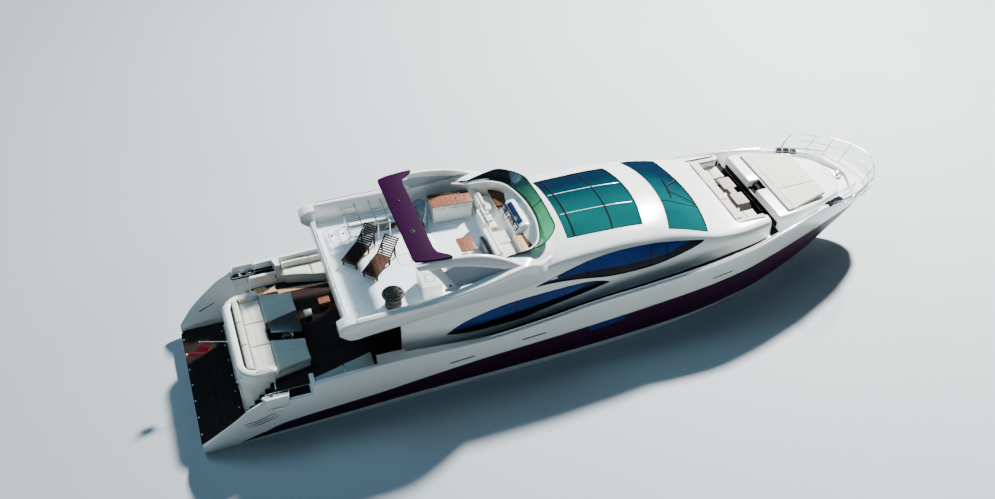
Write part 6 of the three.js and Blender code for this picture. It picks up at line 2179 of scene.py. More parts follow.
# Cockpit: sole, sofas, table and small seats
def build_cockpit():
    outline = [(-12.395, -2.997), (-7.602, -2.997), (-7.602, -2.497), (-6.072, -2.497), (-6.072, 2.497),
               (-7.602, 2.497), (-7.602, 2.997), (-12.395, 2.997)]
    Build().prism(outline, 1.931, SOLE_TOP, 0.004).piece("cockpit_teak", TEAK, "teak_dark",
                                                         replaces=["cockpit_sole"])

    base = Build()
    base.prism(rounded_outline(rect(-13.10, -2.03, -12.42, 2.03), 0.03), 2.342, 2.372, 0.006)
    base.prism(rounded_outline([(-12.396, -2.06), (-12.27, -2.06), (-12.27, 2.06), (-12.396, 2.06)], 0.02),
               1.962, 2.24, 0.01)
    for sign in (1, -1):
        arm = [(-12.27, 0.50), (-12.27, 2.05), (-10.99, 1.80), (-10.99, 0.81)]
        base.prism([(x, sign * y) for x, y in arm][::sign], 1.962, 2.24, 0.012)
    base.piece("aft_sofa_base", GELCOAT, "gelcoat", replaces=["aft_sofa"])
    for k, (y0, y1) in enumerate(((-1.85, -0.63), (-0.61, 0.61), (0.63, 1.85))):
        cushion(f"aft_sofa_seat_{k + 1}", rect(-13.02, y0, -12.26, y1), 2.31, 2.43, crown=0.03,
                channels=(-0.35, 0.3))
        cushion(f"aft_sofa_back_{k + 1}", rect(0.0, y0, 0.27, y1), 0.0, 0.22, crown=0.025, radius=0.07,
                place=upright(-13.28, 0.18, base=(0, 0, 2.385)), cross=(-0.5, 0.0, 0.5))
    for sign, side in ((1, "port"), (-1, "starboard")):
        y0, y1 = sorted((sign * 1.84, sign * 2.05))
        cushion(f"aft_sofa_end_{side}", rect(-13.04, y0, -12.44, y1), 2.35, 2.61, crown=0.015, radius=0.06,
                steps=(18, 10, 6))
        arm = [(-12.24, 0.46), (-10.94, 0.78), (-10.94, 1.84), (-12.24, 2.09)]
        quad = [(x, sign * y) for x, y in arm]
        quad = quad if sign > 0 else [quad[3], quad[2], quad[1], quad[0]]
        # The arms use the darker copy of the beige cloth: painted shade.
        cushion(f"aft_sofa_arm_{side}", quad, 2.23, 2.43, cloth=CLOTH_SHADE, crown=0.035, cross=(0.0,))

    table = Build()
    table.prism(rounded_outline([(-12.14, -0.29), (-10.98, -0.60), (-10.98, 0.60), (-12.14, 0.29)], 0.05, 5),
                2.602, 2.648, 0.014)
    table.piece("aft_table_top", TABLE_DARK, "teak_dark", replaces=["aft_table"])
    leg = Build()
    leg.lathe((-11.5, 0, 1.962), [(0, 0), (0.23, 0), (0.235, 0.012), (0.22, 0.024), (0.09, 0.04),
                                  (0.062, 0.07), (0.055, 0.36),
                                  (0.068, 0.37), (0.068, 0.44), (0.055, 0.45), (0.055, 0.60), (0.16, 0.637),
                                  (0, 0.639)], sides=32)
    leg.piece("aft_table_leg", RAIL_STEEL, "stainless")

    for side, sign in (("port", 1), ("starboard", -1)):
        base = Build()
        seat = [(-10.98, 2.90), (-8.78, 2.34), (-8.78, 2.985), (-10.98, 2.985)]
        base.prism([(x, sign * y) for x, y in seat][::sign], 1.962, 2.38, 0.012)
        base.prism([(x, sign * y) for x, y in [(-11.01, 2.99), (-8.76, 2.99), (-8.76, 3.29),
                                               (-11.01, 3.29)]][::sign], 2.342, 2.40, 0.012)
        base.piece(f"side_sofa_base_{side}", GELCOAT, "gelcoat", replaces=[f"side_sofa_{side}"])
        # Starboard seats and backs get the blue-grey painted-shade copy of the cloth; port keeps beige seats
        # and pale backs.
        cloth, slot = (CLOTH, "cushion_beige") if sign > 0 else (CLOTH_STARBOARD_SHADE, "cushion_grey")
        for k, (x0, x1) in enumerate(((-11.02, -9.89), (-9.88, -8.75))):
            inner = [2.86 + (2.28 - 2.86) * (x + 11.02) / 2.27 for x in (x0, x1)]
            quad = [(x0, sign * inner[0]), (x1, sign * inner[1]), (x1, sign * 3.24), (x0, sign * 3.24)]
            quad = quad if sign > 0 else [quad[3], quad[2], quad[1], quad[0]]
            cushion(f"side_sofa_seat_{side}_{k + 1}", quad, 2.36, 2.47, cloth, slot, crown=0.03)
            back = [(x0, sign * 3.25), (x1, sign * 3.25), (x1, sign * 3.41), (x0, sign * 3.41)]
            back = back if sign > 0 else [back[3], back[2], back[1], back[0]]
            cushion(f"side_sofa_back_{side}_{k + 1}", back, 2.44, 2.76,
                    CLOTH_WHITE if sign > 0 else CLOTH_STARBOARD_SHADE, slot,
                    crown=0.012, radius=0.05, steps=(24, 8, 8))

    # Tan strips on the cockpit floor by the port gate: painted sunlight falling on the dark teak.
    boards = Build()
    boards.prism([(-12.33, 2.52), (-11.42, 2.52), (-11.40, 2.93), (-11.76, 2.80), (-11.86, 2.94),
                  (-12.33, 2.94)], 1.962, 1.992, 0.008)
    boards.prism([(-11.40, 2.36), (-9.30, 2.34), (-9.30, 2.42), (-11.40, 2.62)], 1.962, 1.978, 0.004)
    boards.piece("painted_sunlit_teak_patches", WOOD_PALE, "wood_warm")
    stool = Build()
    stool.prism(rounded_outline(rect(-10.66, 0.50, -10.38, 0.80), 0.04), 1.962, 2.20, 0.012)
    stool.piece("stool_base", TABLE_DARK, "teak_dark")
    cushion("stool_cushion", rect(-10.68, 0.47, -10.36, 0.83), 2.195, 2.30, crown=0.02, steps=(14, 14, 5))
    box = Build()
    box.prism(rounded_outline(rect(-9.98, 0.95, -9.56, 1.27), 0.03), 1.962, 2.28, 0.012)
    box.prism(rounded_outline(rect(-10.0, 0.93, -9.54, 1.29), 0.035), 2.275, 2.31, 0.012)
    box.piece("side_table_box", WOOD, "wood_warm")


build_cockpit()


# Mooring pods on the quarters, the boarding gate and their fittings
def build_pods():
    for side, sign in (("port", 1), ("starboard", -1)):
        lip, dark, steel = Build(), Build(), Build()
        aft, fore = -13.13, -12.11
        top, floor = (2.88, 2.45) if sign > 0 else (2.76, 2.37)
        loop = rounded_outline([(aft, 3.24), (fore, 3.30), (fore, 3.50), (aft + 0.16, 3.50)], 0.10, 6)
        rows = []
        for along, up in ((-0.06, -0.74), (-0.01, -0.72), (0.06, -0.60), (0.12, -0.40), (0.155, -0.20),
                          (0.15, -0.06), (0.12, -0.01),
                          (0.07, 0.01), (0.02, -0.01), (0.0, -0.06), (-0.02, -0.38)):
            row = []
            for k, (x, y) in enumerate(loop):
                last, following = loop[k - 1], loop[(k + 1) % len(loop)]
                run = Vector((following[0] - last[0], following[1] - last[1], 0)).normalized()
                outward = 1.0 if y > 3.38 else 0.12
                edge = top - (0.34 if sign > 0 else 0.20) if y < 3.38 else top
                row.append((x + run.y * along * 0.12 * outward, y - run.x * along * outward, edge + up))
            rows.append(row)
        lip.grid(rows, ring=True)
        dark.prism(rounded_outline(rect(aft + 0.03, 3.22, fore - 0.01, 3.50), 0.09, 6), floor, floor + 0.05,
                   0.004)
        mid = 0.5 * (aft + fore)
        steel.lathe((mid - 0.1, 3.36, floor + 0.045),
                    [(0, 0), (0.09, 0), (0.09, 0.02), (0.055, 0.05), (0.045, 0.15), (0.07, 0.20),
                                                     (0.066, 0.225), (0, 0.23)], sides=24)
        steel.tube([(mid + 0.14, 3.36, floor + 0.12), (mid + 0.18, 3.30, floor + 0.16),
                    (mid + 0.34, 3.30, floor + 0.16),
                    (mid + 0.38, 3.36, floor + 0.12), (mid + 0.34, 3.42, floor + 0.16),
                    (mid + 0.18, 3.42, floor + 0.16)],
                   0.018, 8, closed=True)
        if sign < 0:
            rim = [(mid - 0.16, 3.55, top - 0.66), (mid - 0.14, 3.61, top - 0.60),
                   (mid + 0.26, 3.63, top - 0.58),
                   (mid + 0.30, 3.56, top - 0.62)]
            steel.tube(rounded_path(rim, 0.04), 0.028, 10)
        for shape, name, material, slot, nodes in ((lip, "pod_lip", GELCOAT, "gelcoat",
                                                    [f"mooring_pod_{side}"]),
                                                   (dark, "pod_recess", RUBBER, "black_plastic", []),
                                                   (steel, "pod_capstan", STEEL, "stainless", [])):
            if sign < 0:
                shape.mirrored_only()
            shape.piece(f"{name}_{side}", material, slot, replaces=nodes)

    steel, white, dark, louvre = Build(), Build(), Build(), Build()
    for sign in (1, -1):
        gate = [(-12.46, sign * 2.12, 2.34), (-12.46, sign * 2.12, 2.66), (-12.50, sign * 3.06, 2.68),
                (-12.50, sign * 3.06, 2.30)]
        steel.tube(rounded_path(gate, 0.05), 0.016, 10)
        steel.tube([(-12.475, sign * 2.14, 2.48), (-12.495, sign * 3.04, 2.49)], 0.010, 8)
        for x0 in (-12.98, -12.72):
            grab = [(x0, sign * 2.06, 2.60), (x0, sign * 2.06, 2.68), (x0 + 0.2, sign * 2.06, 2.68),
                    (x0 + 0.2, sign * 2.06, 2.60)]
            steel.tube(rounded_path(grab, 0.04), 0.013, 10)
        for k in range(3):
            x0, z = -13.88 + 0.06 * k, 1.62 - 0.15 * k
            slit = [(x, sign * (topside_y(x, z0) + 0.001), z0) for x, z0 in
                    ((x0 + t * 1.2, z + 0.20 * t - 0.12 * math.sin(PI * t)) for t in np.linspace(0, 1, 18))]
            louvre.tube(slit, 0.022, 8,
                        scale=[0.3 + 0.7 * math.sin(PI * (0.05 + 0.9 * t)) for t in np.linspace(0, 1, 18)])
        line = []
        for x in np.linspace(-14.62, -13.9, 12):
            rise = HULL.at("sheer_z", x) - 0.72
            line.append((x, sign * (3.03 + (HULL.at("sheer_y", x) - 0.13 - 3.03) * 0.55), 0.72 + 0.5 * rise))
        louvre.tube(line, 0.022, 8, scale=[0.5] + [1.0] * 10 + [0.5])
    white.box((-12.9, -3.55, 2.355), (-11.28, -3.01, 2.372), 0.006)
    # Thin dark sheet on the starboard gate sill: painted shade of the gate opening.
    dark.box((-12.88, -3.44, 2.372), (-11.3, -3.03, 2.378), 0.002)
    steel.tube([(-12.0, -3.50, 2.44), (-11.3, -3.50, 2.44)], 0.012, 8)
    for x in (-11.95, -11.65, -11.35):
        steel.tube([(x, -3.50, 2.37), (x, -3.50, 2.44)], 0.009, 8)
    white.prism(rounded_outline(rect(-11.27, -3.52, -11.15, -3.04), 0.045, 5), 2.3, 2.985, 0.03, 3)
    # Dark floor and back wall in the port trough: painted shade in the recess.
    dark.box((-12.355, 3.12, 2.478), (-11.285, 3.418, 2.486), 0.003)
    dark.box((-12.355, 3.414, 2.484), (-11.285, 3.424, 2.60), 0.003)
    white.box((-12.38, 2.992, 2.44), (-11.26, 3.13, 2.56), 0.02)
    steel.piece("stern_handrails", STEEL, "stainless")
    white.piece("gate_sill", GELCOAT, "gelcoat")
    dark.piece("gate_recess_painted_shade", RUBBER, "black_plastic")
    louvre.piece("quarter_louvres", RUBBER, "black_plastic")


def rounded_path(points, radius, steps=5):
    """Polyline in space with its inner corners turned into arcs."""
    pts = [Vector(p) for p in points]
    out = [pts[0]]
    for a, b, c in zip(pts, pts[1:], pts[2:]):
        reach = min(radius, 0.45 * (a - b).length, 0.45 * (c - b).length)
        start, end = b + (a - b).normalized() * reach, b + (c - b).normalized() * reach
        for k in range(steps + 1):
            t = k / steps
            out.append((1 - t) ** 2 * start + 2 * t * (1 - t) * b + t * t * end)
    return out + [pts[-1]]


build_pods()


# Foredeck: lounge, walkway, trunk with its sunpad, cap rails, bow rail and windlass
def trunk_ring(x, pull, step):
    half, top, low = TRUNK.at("half_y", x), TRUNK.at("top_z", x) - pull, deck_z(x) + 0.002
    r = min(0.10, 0.4 * half)
    floor = top if step is None else step
    ring = [(0.0, low), (0.5 * half, low), (half + 0.05, low), (half + 0.045, low + 0.03)]
    ring += [(half + 0.045 - 0.045 * t, low + 0.03 + (top - r - low - 0.03) * t) for t in (0.33, 0.66, 1.0)]
    ring += [(half - r * (1 - math.cos(a)),
              top - r * (1 - math.sin(a))) for a in np.linspace(0, 0.5 * PI, 7)[1:]]
    edge = min(0.36, 0.5 * half)
    ring += [(edge + (half - r - edge) * t, top) for t in (0.75, 0.5, 0.25)]
    lip = 0.05 if step is not None else 0.0
    ring += [(edge, top), (edge - 0.3 * lip, top - 0.1 * lip), (edge - 0.8 * lip, top - 0.5 * lip),
             (edge - lip, floor if step is not None else top)]
    ring += [(0.15 if half > 0.3 else 0.1 * half, floor), (0.0, floor)]
    return ring


def build_trunk():
    rows = []
    nose = 0.22
    round_over = [(9.15 + 0.06 * (1 - math.cos(a)), 0.06 * (1 - math.sin(a)),
                   3.96) for a in np.linspace(0, 0.5 * PI, 6)]
    stations = round_over + [(x, 0.0, 3.96) for x in np.linspace(9.25, 9.42, 3)]
    stations += [(9.4201, 0.0, 4.13)] + [(x, 0.0, 4.13) for x in np.linspace(9.48, 9.65, 3)]
    stations += [(x, 0.0, None) for x in [9.6501] + list(np.linspace(9.75, 13.4 - nose, 36))]
    stations += [(13.4 - nose + nose * math.sin(a), 0.16 * (1 - math.cos(a)),
                  None) for a in np.linspace(0, 0.5 * PI, 9)[1:]]
    for x, pull, step in stations:
        ring = trunk_ring(x, pull, step)
        rows.append([(x, y, z) for y, z in ring] + [(x, -y, z) for y, z in ring[-2:0:-1]])
    trunk = Build().grid(rows, ring=True, caps=True)
    trunk.piece("trunk_moulding", GELCOAT, "gelcoat", replaces=["trunk"], sharp=40)
    tread = Build()
    for x0, x1, z in ((9.17, 9.421, 3.962), (9.421, 9.65, 4.132)):
        tread.box((x0, -0.305, z), (x1, 0.305, z + 0.006), 0.002)
        tread.box((x1 - 0.006, -0.305, z), (x1, 0.305, z + 0.165), 0.002)
    for side in (1, -1):
        kick = [(9.138, side * 0.33), (9.138, side * (TRUNK.at("half_y", 9.3) - 0.10)),
                (9.152, side * (TRUNK.at("half_y", 9.3) - 0.10)), (9.152, side * 0.33)][::-side]
        tread.prism(kick, 3.655, 3.93, 0.002)
    tread.box((9.140, -0.325, 3.655), (9.151, 0.325, 3.952), 0.002)
    tread.piece("trunk_step_treads", TEAK_BLACK, "teak_dark")

    half = lambda x: TRUNK.at("half_y", x) - 0.2
    seam = -0.64
    cushion("sunpad_head", [(9.70, -half(9.70)), (9.97, -half(9.97)), (9.97, half(9.97)), (9.70, half(9.70))],
            4.30, 4.40,
            crown=0.012, radius=0.04, steps=(12, 60, 5), replaces=["sunpad"])
    cushion("sunpad_port", [(9.98, seam + 0.005), (11.93, seam + 0.005), (11.93, half(11.93)),
                            (9.98, half(9.98))], 4.22, 4.385,
            crown=0.022, radius=0.045, steps=(46, 60, 6), cross=(-0.02,))
    cushion("sunpad_starboard", [(9.98, -half(9.98)), (11.93, -half(11.93)), (11.93, seam - 0.005),
                                 (9.98, seam - 0.005)],
            4.22, 4.385, crown=0.022, radius=0.045, steps=(46, 30, 6))


def build_bow_lounge():
    base = Build()
    base.prism(rounded_outline(rect(7.382, -1.98, 7.80, 1.98), 0.03), 3.652, 3.99, 0.012)
    for sign in (1, -1):
        base.prism(rounded_outline([(7.70, sign * 1.17), (8.44, sign * 1.17), (8.44, sign * 2.045),
                                    (7.70, sign * 2.045)][::sign], 0.05),
                   3.652, 3.99, 0.012)
    base.piece("bow_sofa_base", GELCOAT, "gelcoat", replaces=["bow_sofa"])
    for k, (y0, y1) in enumerate(((-1.14, -0.01), (0.01, 1.14))):
        cushion(f"bow_sofa_seat_{k + 1}", rect(7.50, y0, 7.87, y1), 3.985, 4.11, crown=0.03,
                steps=(20, 36, 6))
    for side, sign in (("port", 1), ("starboard", -1)):
        y0, y1 = sorted((sign * 1.16, sign * 1.93))
        cushion(f"bow_sofa_corner_{side}", rect(7.50, y0, 7.95, y1), 3.985, 4.11, crown=0.03,
                steps=(22, 26, 6))
        cushion(f"bow_sofa_arm_{side}", rect(7.965, y0, 8.47, y1), 3.985, 4.11, crown=0.03, steps=(22, 26, 6))
        y0, y1 = sorted((sign * 1.94, sign * 2.04))
        cushion(f"bow_sofa_side_{side}", rect(7.50, y0, 8.42, y1), 4.05, 4.37, CLOTH_WHITE, crown=0.012,
                radius=0.04, steps=(34, 8, 8))
    for k, (y0, y1) in enumerate(((-1.93, -0.66), (-0.65, 0.65), (0.66, 1.93))):
        cushion(f"bow_sofa_back_{k + 1}", rect(0.0, y0, 0.33, y1), 0.0, 0.11, CLOTH_WHITE, crown=0.018,
                place=upright(7.392, 0.06, base=(0, 0, 4.06)), steps=(16, 34, 6))
        low = house_z(7.25, 0.5 * (y0 + y1)) - 0.035
        cushion(f"bow_sofa_headrest_{k + 1}", rect(7.08, y0, 7.47, y1), low, low + 0.075, crown=0.014,
                radius=0.035, steps=(18, 34, 5))
    for side, sign in (("port", 1), ("starboard", -1)):
        y0, y1 = sorted((sign * 1.94, sign * 2.14))
        low = house_z(7.8, 2.1) - 0.04
        cushion(f"bow_sofa_headrest_{side}", rect(7.08, y0, 8.42, y1), low, low + 0.07, crown=0.012,
                radius=0.03, steps=(40, 10, 5))
    cord = Build()
    edge = [(8.44, -2.155), (7.20, -2.155), (7.06, -2.02), (7.06, 2.02), (7.20, 2.155), (8.44, 2.155)]
    line = resample(rounded_path([(x, y, 0.0) for x, y in edge], 0.1), 0.06)
    cord.tube([(x, y, house_z(x, y) + 0.008) for x, y, _ in line], 0.014, 8)
    cord.piece("bow_sofa_piping", PIPING, "cushion_beige")

    tops, legs = Build(), Build()
    for sign in (1, -1):
        y0, y1 = sorted((sign * 0.19, sign * 0.90))
        tops.prism(rounded_outline(rect(7.88, y0, 8.46, y1), 0.04, 5), 4.252, 4.28, 0.010)
        legs.lathe((8.15, sign * 0.545, 3.662), [(0, 0), (0.15, 0), (0.155, 0.01), (0.145, 0.02),
                                                 (0.06, 0.035), (0.045, 0.06),
                                                (0.040, 0.25), (0.048, 0.26), (0.048, 0.31), (0.040, 0.32),
                                                (0.040, 0.54),
                                                (0.09, 0.575), (0.09, 0.581), (0, 0.581)], sides=26)
    tops.prism(rounded_outline(rect(8.0, -0.188, 8.28, 0.188), 0.02, 4), 4.246, 4.272, 0.008)
    tops.piece("bow_table_tops", TABLE_PINK, "wood_warm", replaces=["bow_table_port", "bow_table_starboard"])
    legs.piece("bow_table_legs", RAIL_STEEL, "stainless")

    teak = Build()
    teak.prism(rect(7.81, -1.16, 8.655, 1.16), 3.651, 3.661, 0.002)
    teak.prism(rect(8.445, -2.04, 8.655, 2.04), 3.651, 3.6605, 0.002)
    rows = []
    for x in np.linspace(8.657, 9.148, 8):
        half, z = min(DECK.at("inner_y", x), 2.72), deck_z(x)
        rows.append([(x, y, z + dz) for dz, line in ((0.009, np.linspace(-half, half, 20)),
                                                     (0.001, np.linspace(half, -half, 20)))
                     for y in line])
    teak.grid(rows, ring=True, caps=True)
    teak.piece("foredeck_walkway_teak", TEAK_BLACK, "teak_dark")

    slot = Build()
    rows = []
    for x in np.linspace(7.0, 8.40, 16):
        spots = [(y, house_z(x, y) + 0.012) for y in (2.20, 2.28)]
        rows.append([(x, y, z) for y, z in spots] + [(x, y, z - 0.03) for y, z in spots[::-1]])
    slot.grid(rows, ring=True, caps=True)
    slot.box((8.44, 2.04, 3.68), (8.60, 2.052, 4.28), 0.004)
    slot.piece("lounge_port_slot", RUBBER, "black_plastic")


def side_deck_strip(x0, x1, across, lift, step=0.25):
    """Band along both side decks between the house foot and the bulwark."""
    band = Build()
    rows = []
    for x in np.arange(x0, x1 + 1e-6, step):
        inner = max(HOUSE.at("foot_y", x), TRUNK.at("half_y", x) + 0.07 if x > 9.15 else 0.0)
        outer = DECK.at("inner_y", x) - 0.02
        a, c = inner + (outer - inner) * across[0], inner + (outer - inner) * across[1]
        z = deck_z(x)
        rows.append([(x, a, z + lift), (x, c, z + lift), (x, c, z + 0.001), (x, a, z + 0.001)])
    return band.grid(rows, ring=True, caps=True).mirror()


def build_side_decks():
    side_deck_strip(-7.3, 8.6, (0.06, 0.94), 0.007).piece("side_deck_teak", TEAK, "teak_dark")
    front = Build()
    rows = []
    for x in np.arange(9.2, 13.2, 0.2):
        inner, outer, z = TRUNK.at("half_y", x) + 0.08, DECK.at("inner_y", x) - 0.05, deck_z(x)
        if outer - inner > 0.03:
            rows.append([(x, inner, z + 0.006), (x, outer, z + 0.006), (x, outer, z + 0.001),
                         (x, inner, z + 0.001)])
    front.grid(rows, ring=True, caps=True).mirror()
    front.piece("foredeck_side_nonskid", NONSKID, "gelcoat")

    cap, feet = Build(), Build()
    joints = (-4.3, -2.7, -1.1, 0.4, 1.9, 3.45, 5.02, 6.56, 8.13, 9.56, 11.04)
    for x0, x1 in zip(joints, joints[1:]):
        path = [(x, HULL.at("sheer_y", x) - 0.12,
                 HULL.at("sheer_z", x) + 0.055) for x in np.linspace(x0 + 0.05, x1 - 0.05, 14)]
        ends = [(path[0][0] - 0.03, path[0][1],
                 path[0][2] - 0.05)], [(path[-1][0] + 0.03, path[-1][1], path[-1][2] - 0.05)]
        cap.tube(rounded_path(ends[0] + path + ends[1], 0.03), 0.021, 10)
        for x in np.linspace(x0 + 0.4, x1 - 0.4, 3):
            y, z = HULL.at("sheer_y", x) - 0.12, HULL.at("sheer_z", x)
            feet.lathe((x, y, z - 0.004), [(0, 0), (0.024, 0), (0.022, 0.006), (0.011, 0.012), (0.011, 0.046),
                                           (0, 0.046)], sides=12)
    cap.mirror().piece("bulwark_cap_rail", STEEL, "stainless")
    feet.mirror().piece("bulwark_cap_rail_feet", STEEL, "stainless")

    dark, steel = Build(), Build()
    for x in (11.82, 12.14, 12.46):
        place = Matrix.Translation((x, HULL.at("sheer_y", x) - 0.10,
                                    HULL.at("sheer_z", x))) @ Matrix.Rotation(-0.34, 4, "Z")
        dark.prism(rounded_outline(rect(-0.14, -0.15, 0.14, 0.095), 0.03), -0.08, 0.045, 0.014, 2, 0, place)
    for x, y, z, turn in ((12.84, 1.50, 3.735, -0.4), (11.72, 1.90, 3.72, -0.25)):
        place = Matrix.Translation((x, y, z)) @ Matrix.Rotation(turn, 4, "Z")
        for dx in (-0.06, 0.06):
            steel.lathe(place @ Vector((dx, 0, -0.01)),
                        [(0, 0), (0.034, 0), (0.03, 0.012), (0.018, 0.02), (0.016, 0.07), (0, 0.07)],
                        sides=14)
        bar = [place @ Vector((s, 0, 0.075 - 0.010 * abs(s / 0.17) ** 2))
               for s in np.linspace(-0.17, 0.17, 9)]
        steel.tube(bar, 0.017, 10, scale=[0.55, 0.85, 1, 1, 1, 1, 1, 0.85, 0.55])
    dark.mirror().piece("foredeck_recess_boxes", RUBBER, "black_plastic")
    steel.mirror().piece("foredeck_cleats", STEEL, "stainless")


def build_bow_rail():
    feet = [(12.23, 2.31), (13.25, 1.86), (13.92, 1.40), (14.42, 0.86)]
    heads = [(12.59, 2.31), (13.66, 1.90), (14.32, 1.50), (14.84, 0.85)]
    lift = lambda x: HULL.at("sheer_z", x)
    rails, posts = Build(), Build()
    for share, radius, tip in ((1.0, 0.019, 15.15), (0.52, 0.012, 15.02)):
        half = [(11.86, HULL.at("sheer_y", 11.86) - 0.12, lift(11.86) - 0.01)]
        for (fx, fy), (hx, hy) in zip(feet, heads):
            half.append((fx + (hx - fx) * share, fy + (hy - fy) * share,
                         lift(fx) + (4.62 - lift(fx)) * share))
        nose = (tip, 0, lift(14.9) + (4.62 - lift(14.9)) * share)
        rails.tube(spline(half + [nose] + [(x, -y, z) for x, y, z in half[::-1]], 8), radius, 12)
    for (fx, fy), (hx, hy) in zip(feet[1:], heads[1:]):
        for sign in (1, -1):
            foot, head = Vector((fx, sign * fy, lift(fx) - 0.03)), Vector((hx, sign * hy, 4.62))
            posts.tube([foot + (head - foot) * t for t in np.linspace(0, 1, 8)], 0.0165, 10)
            posts.lathe((fx, sign * fy, lift(fx) - 0.006),
                        [(0, 0), (0.042, 0), (0.044, 0.005), (0.036, 0.012), (0.022, 0.03), (0, 0.03)],
                        sides=18)
    rails.piece("bow_rail_bars", RAIL_STEEL, "stainless", replaces=["bow_rail"])
    posts.piece("bow_rail_posts", RAIL_STEEL, "stainless")

    inside = Build()
    for z, out, radius in ((4.36, 0.0, 0.020), (4.16, -0.03, 0.014)):
        half = [(x, HULL.at("sheer_y", x) - 0.27 + out,
                 z + (HULL.at("sheer_z", x) - 4.11) * 0.9) for x in (11.6, 12.2, 12.8, 13.3, 13.7)]
        inside.tube(spline(half, 6), radius, 10)
    for x in (11.6, 12.3, 13.0, 13.7):
        y, sheer = HULL.at("sheer_y", x) - 0.27, HULL.at("sheer_z", x)
        inside.tube([(x, y + 0.02, sheer - 0.26), (x, y, 4.36 + (sheer - 4.11) * 0.9)], 0.012, 8)
    inside.mirror().piece("foredeck_grab_rails", RAIL_STEEL, "stainless")


def build_windlass():
    b = Build()
    b.prism(rounded_outline(rect(13.56, -0.20, 13.86, 0.20), 0.07, 6), 3.722, 3.82, 0.02, 3)
    b.lathe((13.70, 0, 3.81), [(0, 0), (0.085, 0), (0.086, 0.014), (0.058, 0.04), (0.050, 0.085),
                               (0.056, 0.13), (0.083, 0.155),
                               (0.084, 0.17), (0.07, 0.183), (0.03, 0.19), (0, 0.19)], sides=36)
    for y in (-0.13, 0.13):
        b.lathe((13.63, y, 3.815), [(0, 0), (0.036, 0), (0.036, 0.012), (0.026, 0.022), (0, 0.026)], sides=20)
    for k in range(6):
        a = 2 * PI * k / 6
        b.box((-0.006, -0.006, 3.85), (0.006, 0.006, 3.93), 0.002, 1, 0,
              Matrix.Translation((13.70 + 0.052 * math.cos(a), 0.052 * math.sin(a),
                                  0)) @ Matrix.Rotation(a, 4, "Z"))
    b.piece("windlass_body", STEEL, "stainless", replaces=["windlass"])
    chain = Build()
    for k in range(9):
        x = 13.84 + 0.068 * k
        flat = k % 2 == 0
        loop = [(x + 0.048 * math.cos(a), (0.024 * math.sin(a) if flat else 0.0),
                 3.768 + (0.0 if flat else 0.024 * math.sin(a)))
                for a in np.linspace(0, 2 * PI, 17)[:-1]]
        chain.tube(loop, 0.0085, 6, closed=True)
    chain.box((14.02, -0.10, 3.735), (14.12, 0.10, 3.752), 0.006)
    chain.piece("windlass_chain", STEEL, "stainless")
    hatch = Build()
    for x0, x1 in ((12.95, 13.28),):
        outline = rounded_outline(rect(x0, -0.28, x1, 0.28), 0.05, 5)
        hatch.tube([(x, y, TRUNK.at("top_z", x) + 0.001) for x, y in resample(outline, 0.05, closed=True)],
                   0.006, 6, closed=True)
    hatch.piece("trunk_hatch_gasket", RUBBER, "black_plastic")


TABLE_PINK = varnished("table_pale_pink", (0.38, 0.28, 0.28), (0.56, 0.46, 0.45), coat=0.0, spec=0.06,
                       rough=(0.5, 0.7))
build_trunk()
build_bow_lounge()
build_side_decks()
build_bow_rail()
build_windlass()


